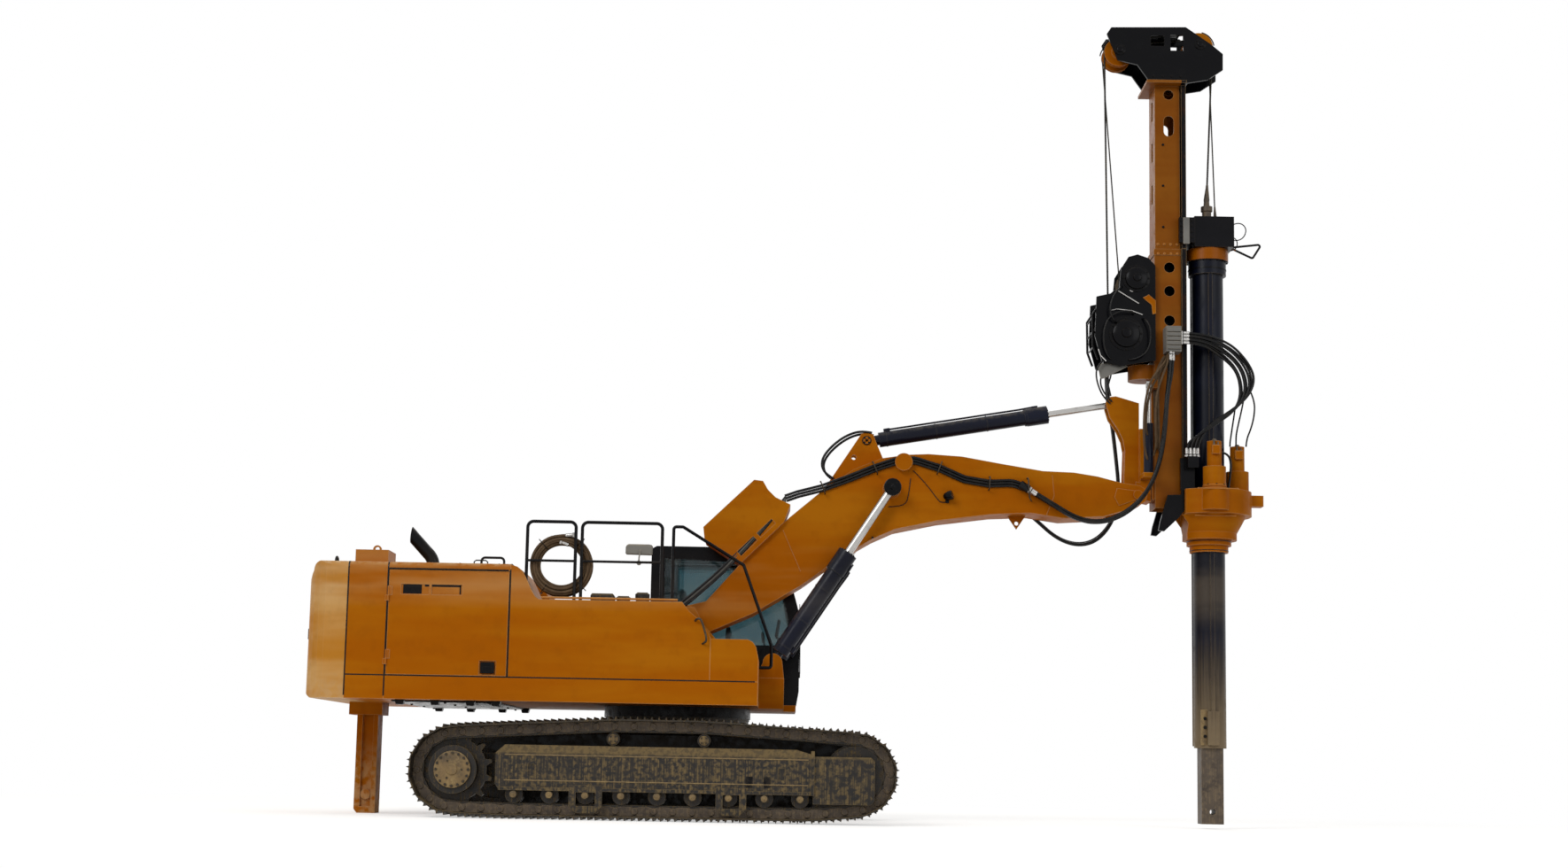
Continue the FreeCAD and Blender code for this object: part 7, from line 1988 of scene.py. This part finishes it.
    def head(self):
        """Axle caps of the sheaves and bolts over the mast head's side plates."""
        heads = []
        caps = Shell()
        for x, z in ((4.745, 8.56), (5.64, 8.64)):
            for side in SIDES:
                foot = Vector((x, from_side("mast_head", x + 0.055, z, side)[1], z))
                out = Vector((0.0, side, 0.0))
                caps.lathe(
                    foot - out * 0.001, out,
                    [(0.0, 0.062), (0.01, 0.062), (0.014, 0.04), (0.03, 0.034), (0.034, 0.026)], 24,
                )
                heads += circle_stations(foot + out * 0.009, out, 0.05, 4, 0.5)
        for x in (5.12, 5.22, 5.32, 5.42):
            for side in SIDES:
                heads.append((from_side("mast_head", x, 8.262, side), (0.0, side, 0.0)))
        caps.finish("sheave_axle_caps", "mast")
        bolts("mast_head_bolts", heads, 0.02, "mast")
        guards = Shell()
        for x, z, a0, a1 in ((4.745, 8.56, 1.75, 3.0), (5.64, 8.64, 0.15, 1.35)):
            for y in (-0.095, 0.095):
                line = [
                    (x + 0.178 * cos(a0 + (a1 - a0) * i / 12), y, z + 0.178 * sin(a0 + (a1 - a0) * i / 12))
                    for i in range(13)
                ]
                guards.tube(line, 0.007, 8)
        guards.finish("rope_keepers", "mast")


# ---------------------------------------------------------------- rotary drive and drill rod


class DriveSettings(bpy.types.PropertyGroup):
    lid_bolt: metres("Lid bolt", "Size across flats of the case's bolts", 0.03)
    rod_bolt: metres("Rod bolt", "Size across flats of the drive plate's bolts", 0.026)


class RIG_OT_drive(bpy.types.Operator):
    """Bolts, motor fittings and drive plates of the rotary and the drill rod"""

    bl_idname = "rig.drive"
    bl_label = "Rotary and rod"

    def execute(self, context):
        sizes = context.scene.rig_drive
        self.case(sizes.lid_bolt)
        self.motors()
        self.rod(sizes.rod_bolt)
        return {"FINISHED"}

    def case(self, flats):
        motors = ((5.73, -0.385), (5.73, 0.385), (6.057, 0.0))
        rays = []
        for i in range(26):
            angle = tau * (i + 0.5) / 26.0
            x, y = ROD_X + 0.3 * cos(angle), 0.3 * sin(angle)
            if min(hypot(x - a, y - b) for a, b in motors) > 0.155:
                rays.append(((x, y, 5.0), DOWN))
        heads = met("rotary_gearcase", rays)
        bolts("case_lid_bolts", heads, flats, "rotary", "orange_paint")
        gaskets = Shell()
        for z in (3.245, 3.085, 2.985):
            radius = -from_side("rotary_sleeve", ROD_X, z, -1.0)[1]
            ring = [(0.0, radius - 0.003), (0.0, radius + 0.003), (0.008, radius + 0.003), (0.008, radius - 0.003)]
            gaskets.lathe((ROD_X, 0.0, z - 0.004), UP, ring, 48, ring=True)
        gaskets.finish("rotary_sleeve_gaskets", "rotary_sleeve", "hose_rubber")
        rims = Shell()
        for z in (3.61, 3.335):
            y = from_side("rotary_gearcase", ROD_X, z - 0.004, -1.0)[1]
            rims.tube([(5.52, y + 0.002, z), (ROD_X, y + 0.002, z), (5.96, y + 0.002, z)], 0.007, 8)
        rims.finish("case_weld", "rotary", "orange_paint")

    def motors(self):
        """Port blocks with fittings, bolted flanges and drain caps of the three motors."""
        ports, steel, heads = Shell(), Shell(), []
        for x, y in ((5.73, -0.385), (5.73, 0.385), (6.057, 0.0)):
            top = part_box("rotary_motors")[1][2] if x < 6.0 else skin("rotary_motors", (x, y, 5.0), DOWN)[2]
            if y:
                ports.disc((x, y, 3.64), UP, 0.128, 0.022, 32)
                heads += circle_stations((x, y, 3.661), UP, 0.117, 8)
            side = -1.0 if y <= 0.0 else 1.0
            reach = abs((from_side("rotary_motors", x, top - 0.1, side)[1]))
            face = side * reach
            ports.slab(
                (x - 0.045, min(face - side * 0.01, face + side * 0.035), top - 0.15),
                (x + 0.045, max(face - side * 0.01, face + side * 0.035), top - 0.05), 0.006,
            )
            steel.lathe(
                (x - 0.022, face + side * 0.016, top - 0.052), UP,
                [(0.0, 0.014), (0.012, 0.014), (0.014, 0.01), (0.05, 0.01), (0.052, 0.013), (0.066, 0.013)], 12,
            )
            steel.lathe(
                (x + 0.022, face + side * 0.016, top - 0.052), UP,
                [(0.0, 0.012), (0.012, 0.012), (0.014, 0.008), (0.035, 0.008)], 12,
            )
            steel.lathe(
                (x, y, top - 0.002), UP,
                [(0.0, 0.045), (0.008, 0.045), (0.012, 0.026), (0.026, 0.024), (0.03, 0.014)], 6,
            )
        ports.finish("motor_port_blocks", "rotary", "orange_paint")
        steel.finish("motor_fittings", "rotary", "worn_steel")
        bolts("motor_flange_bolts", heads, 0.018, "rotary")
        hose(
            "motor_drain_hose",
            [
                (5.812, -0.385, 4.02), (5.885, -0.365, 4.01), (5.925, -0.32, 3.91), (5.915, -0.29, 3.76),
                (5.9, -0.28, 3.65), (5.9, -0.28, 3.63),
            ],
            0.024, "rotary",
        )

    def rod(self, flats):
        """Bolted drive plates low on the outer rod, both sides."""
        plates, heads = Shell(), []
        for side in SIDES:
            middle = ROD_X + side * 0.085
            y = from_side("kelly_outer", middle, 1.08, side)[1]
            edge = sorted((y - side * 0.012, y + side * 0.014))
            plates.slab((middle - 0.045, edge[0], 0.885), (middle + 0.045, edge[1], 1.266), 0.004)
            heads += [((middle, y + side * 0.014, z), (0.0, side, 0.0)) for z in (0.98, 1.075, 1.17)]
        plates.finish("rod_drive_plates", "kelly_outer", "dusty_steel", FINISHES["dried_clay"])
        bolts("rod_drive_bolts", heads, flats, "kelly_outer")


# ---------------------------------------------------------------- undercarriage


class TrackSettings(bpy.types.PropertyGroup):
    shoe_bolt: metres("Shoe bolt", "Size across flats of the shoe bolts", 0.028)
    boss: metres("Pin boss", "Radius of the link bosses", 0.036)


GAUGE_HALF = 1.295
SHOE_CIRCLES = [
    (-1.6936, 0.2453, 0.2163), (1.4506, 0.2453, 0.2163), (1.875, 0.5, 0.424),
    (0.34, 0.815, 0.196), (-0.58, 0.815, 0.196), (-2.18, 0.48, 0.44),
]


def track_joints(count):
    """Places of the track pins on the shoe plates' outer faces, with the outward directions, round the loop."""
    normals = []
    for (xa, za, ra), (xb, zb, rb) in zip(SHOE_CIRCLES, SHOE_CIRCLES[1:] + SHOE_CIRCLES[:1]):
        heading = atan2(zb - za, xb - xa)
        normals.append(heading - pi / 2.0 - asin((rb - ra) / hypot(xb - xa, zb - za)))
    runs = []
    for i, (x, z, r) in enumerate(SHOE_CIRCLES):
        came, leaves = normals[i - 1], normals[i]
        while leaves < came:
            leaves += tau
        for k in range(60):
            angle = came + (leaves - came) * k / 60.0
            runs.append((x + r * cos(angle), z + r * sin(angle), angle))
        runs.append((x + r * cos(leaves), z + r * sin(leaves), leaves))
    lengths = [hypot(b[0] - a[0], b[1] - a[1]) for a, b in zip(runs, runs[1:] + runs[:1])]
    pitch = sum(lengths) / count
    joints, passed, k = [], 0.0, 0
    for i in range(count):
        while passed + lengths[k] < i * pitch:
            passed += lengths[k]
            k += 1
        share = (i * pitch - passed) / max(lengths[k], 1e-9)
        a, b = runs[k], runs[(k + 1) % len(runs)]
        turn = b[2] - a[2]
        while turn > pi:
            turn -= tau
        while turn < -pi:
            turn += tau
        joints.append((a[0] + (b[0] - a[0]) * share, a[1] + (b[1] - a[1]) * share, a[2] + turn * share))
    return joints


class RIG_OT_running_gear(bpy.types.Operator):
    """Shoe bolts, link plates, hub bolts and guards of the tracks"""

    bl_idname = "rig.running_gear"
    bl_label = "Running gear"

    def execute(self, context):
        sizes = context.scene.rig_tracks
        joints = track_joints(56)
        self.chain(joints, sizes.shoe_bolt, sizes.boss)
        self.hubs()
        self.frames()
        return {"FINISHED"}

    def chain(self, joints, flats, boss):
        heads, pins, links = [], [], Shell()
        for (xa, za, aa), (xb, zb, _) in zip(joints, joints[1:] + joints[:1]):
            along = Vector((xb - xa, 0.0, zb - za)).normalized()
            out = Vector((along[2], 0.0, -along[0]))
            middle = Vector(((xa + xb) / 2.0, 0.0, (za + zb) / 2.0))
            for y in (-GAUGE_HALF, GAUGE_HALF):
                for step in (-0.036, 0.036):
                    heads += [
                        (middle + along * step + Vector((0.0, y + s, 0.0)), tuple(out))
                        for s in (-0.115, -0.055, 0.055, 0.115)
                    ]
                side = 1.0 if y > 0 else -1.0
                face = y + side * 0.102
                shape = []
                for a, depth in (
                    (-0.092, 0.03), (-0.06, 0.016), (0.06, 0.016), (0.092, 0.03), (0.104, 0.062), (0.088, 0.1),
                    (0.04, 0.112), (-0.04, 0.112), (-0.088, 0.1), (-0.104, 0.062),
                ):
                    shape.append(middle + along * a - out * depth)
                low, high = face - side * 0.001, face + side * 0.007
                rings = [[links.mesh.verts.new((p[0], at, p[2])) for p in shape] for at in (low, high)]
                faces = [links.mesh.faces.new(ring) for ring in rings]
                for i in range(len(shape)):
                    j = (i + 1) % len(shape)
                    faces.append(links.mesh.faces.new((rings[0][i], rings[0][j], rings[1][j], rings[1][i])))
                links.close(faces, 0.002)
                x, z, angle = xa, za, aa
                inner = Vector((x - cos(angle) * 0.066, face + side * 0.008, z - sin(angle) * 0.066))
                pins.append((inner, (0.0, side, 0.0)))
        bolts("track_shoe_bolts", heads, flats, "undercarriage", "dusty_steel")
        links.finish("track_link_plates", "undercarriage", "worn_steel")
        on_stations(
            "track_pin_bosses", "bosses", pins, {"Radius": boss, "Height": 0.01}, "worn_steel", "undercarriage",
        )

    def hubs(self):
        """Final drive covers with their bolts and plugs, idler and roller end caps."""
        heads, small = [], []
        discs, tan = Shell(), Shell()
        for side in SIDES:
            out = Vector((0.0, side, 0.0))
            drive = Vector((-2.18, side * (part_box("sprockets")[1][1] - 0.002), 0.48))
            tan.lathe(
                drive, out,
                [
                    (0.0, 0.182), (0.006, 0.186), (0.014, 0.182), (0.02, 0.13), (0.022, 0.058), (0.034, 0.052),
                    (0.036, 0.03),
                ],
                44,
            )
            heads += circle_stations(drive + out * 0.014, out, 0.162, 16)
            small += circle_stations(drive + out * 0.02, out, 0.098, 3)
            idler = Vector((1.875, side * (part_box("idlers")[1][1] - 0.001), 0.5))
            discs.lathe(idler, out, [(0.0, 0.06), (0.01, 0.058), (0.014, 0.02), (0.022, 0.018)], 24)
            for i in range(9):
                x = -1.564 + (1.321 + 1.564) * i / 8.0
                discs.lathe(
                    (x, side * (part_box("track_rollers")[1][1] - 0.001), 0.2453), out,
                    [(0.0, 0.034), (0.01, 0.032), (0.013, 0.012), (0.018, 0.01)], 16,
                )
            for x in (-0.58, 0.34):
                discs.lathe(
                    (x, side * (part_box("carrier_rollers")[1][1] - 0.001), 0.815), out,
                    [(0.0, 0.05), (0.01, 0.048), (0.014, 0.016), (0.024, 0.014)], 20,
                )
                small += circle_stations(
                    Vector((x, side * (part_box("carrier_rollers")[1][1] + 0.009), 0.815)), out, 0.034, 4, 0.5,
                )
        tan.finish("final_drive_covers", "undercarriage", "dusty_steel", FINISHES["dried_clay"])
        discs.finish("roller_hub_caps", "undercarriage", "dusty_steel", FINISHES["dried_clay"])
        bolts("final_drive_bolts", heads, 0.024, "undercarriage", "dusty_steel")
        bolts("hub_bolts", small, 0.018, "undercarriage", "dusty_steel")

    def frames(self):
        """Black inner guards of the tracks, which put painted shade in the gaps between the rollers and under the
        upper run, and the ports and welds of their frames.
        """
        inner, edges, slots = Shell(), Shell(), Shell()
        for side in SIDES:
            y = side * (GAUGE_HALF - 0.168)
            low, high = sorted((y, y - side * 0.01))
            inner.prism(
                [(-1.72, 0.165), (1.44, 0.165), (1.48, 0.24), (1.48, 0.6), (-1.76, 0.6), (-1.76, 0.24)], low, high,
                "Y", 0.002,
            )
            for x in (-1.38, -0.66, 0.06, 0.78, 1.3):
                inner.slab((x - 0.03, low - 0.008, 0.17), (x + 0.03, high + 0.008, 0.56), 0.003)
            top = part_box("track_frames")[1][2]
            # painted shade: this upper plate darkens the gap under the track's upper run
            inner.prism(
                [
                    (-1.86, top - 0.06), (1.8, top - 0.06), (1.76, 0.79), (1.3, 0.835), (0.5, 0.868), (-0.74, 0.868),
                    (-1.55, 0.825), (-1.82, 0.8),
                ],
                low, high, "Y", 0.002,
            )
            for x, z in ((0.805, 0.408), (0.985, 0.408)):
                wall = from_side("track_frames", x, z, side)[1]
                a, b = sorted((wall - side * 0.004, wall + side * 0.004))
                slots.slab((x - 0.035, a, z - 0.055), (x + 0.035, b, z + 0.055), 0.002)
            for z in (0.385, 0.64):
                wall = [from_side("track_frames", x, z, side) for x in (-1.66, -0.8, 0.0, 0.8, 1.4)]
                edges.tube([(p[0], p[1], z) for p in wall], 0.006, 8)
        inner.finish("inner_track_shade_guards", "undercarriage")
        edges.finish("track_frame_welds", "undercarriage", "dusty_steel", FINISHES["dried_clay"])
        slots.finish("track_frame_ports", "undercarriage")


SETTINGS = {
    "rig_stage": StageSettings,
    "rig_hoses": HoseSettings,
    "rig_body": BodySettings,
    "rig_boom": BoomSettings,
    "rig_mast": MastSettings,
    "rig_drive": DriveSettings,
    "rig_tracks": TrackSettings,
}
OPERATORS = (
    RIG_OT_stage,
    RIG_OT_finishes,
    RIG_OT_hoses,
    RIG_OT_ropes,
    RIG_OT_body_trim,
    RIG_OT_cab,
    RIG_OT_boom,
    RIG_OT_mast,
    RIG_OT_drive,
    RIG_OT_running_gear,
)


class RIG_PT_sidebar(bpy.types.Panel):
    bl_label = "Drilling Rig"
    bl_idname = "RIG_PT_sidebar"
    bl_space_type = "VIEW_3D"
    bl_region_type = "UI"
    bl_category = "Rig"

    def draw(self, context):
        for name, group in SETTINGS.items():
            for key in group.__annotations__:
                self.layout.prop(getattr(context.scene, name), key)
        for operator in OPERATORS:
            self.layout.operator(operator.bl_idname)


def register():
    for group in SETTINGS.values():
        bpy.utils.register_class(group)
    for name, group in SETTINGS.items():
        setattr(bpy.types.Scene, name, bpy.props.PointerProperty(type=group))
    for operator in OPERATORS:
        bpy.utils.register_class(operator)
    bpy.utils.register_class(RIG_PT_sidebar)


def unregister():
    bpy.utils.unregister_class(RIG_PT_sidebar)
    for operator in reversed(OPERATORS):
        bpy.utils.unregister_class(operator)
    for name, group in SETTINGS.items():
        delattr(bpy.types.Scene, name)
        bpy.utils.unregister_class(group)


def main():
    """Registers the add-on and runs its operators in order."""
    register()
    for operator in OPERATORS:
        getattr(bpy.ops.rig, operator.bl_idname.split(".")[1])()


if __name__ == "__main__":
    main()
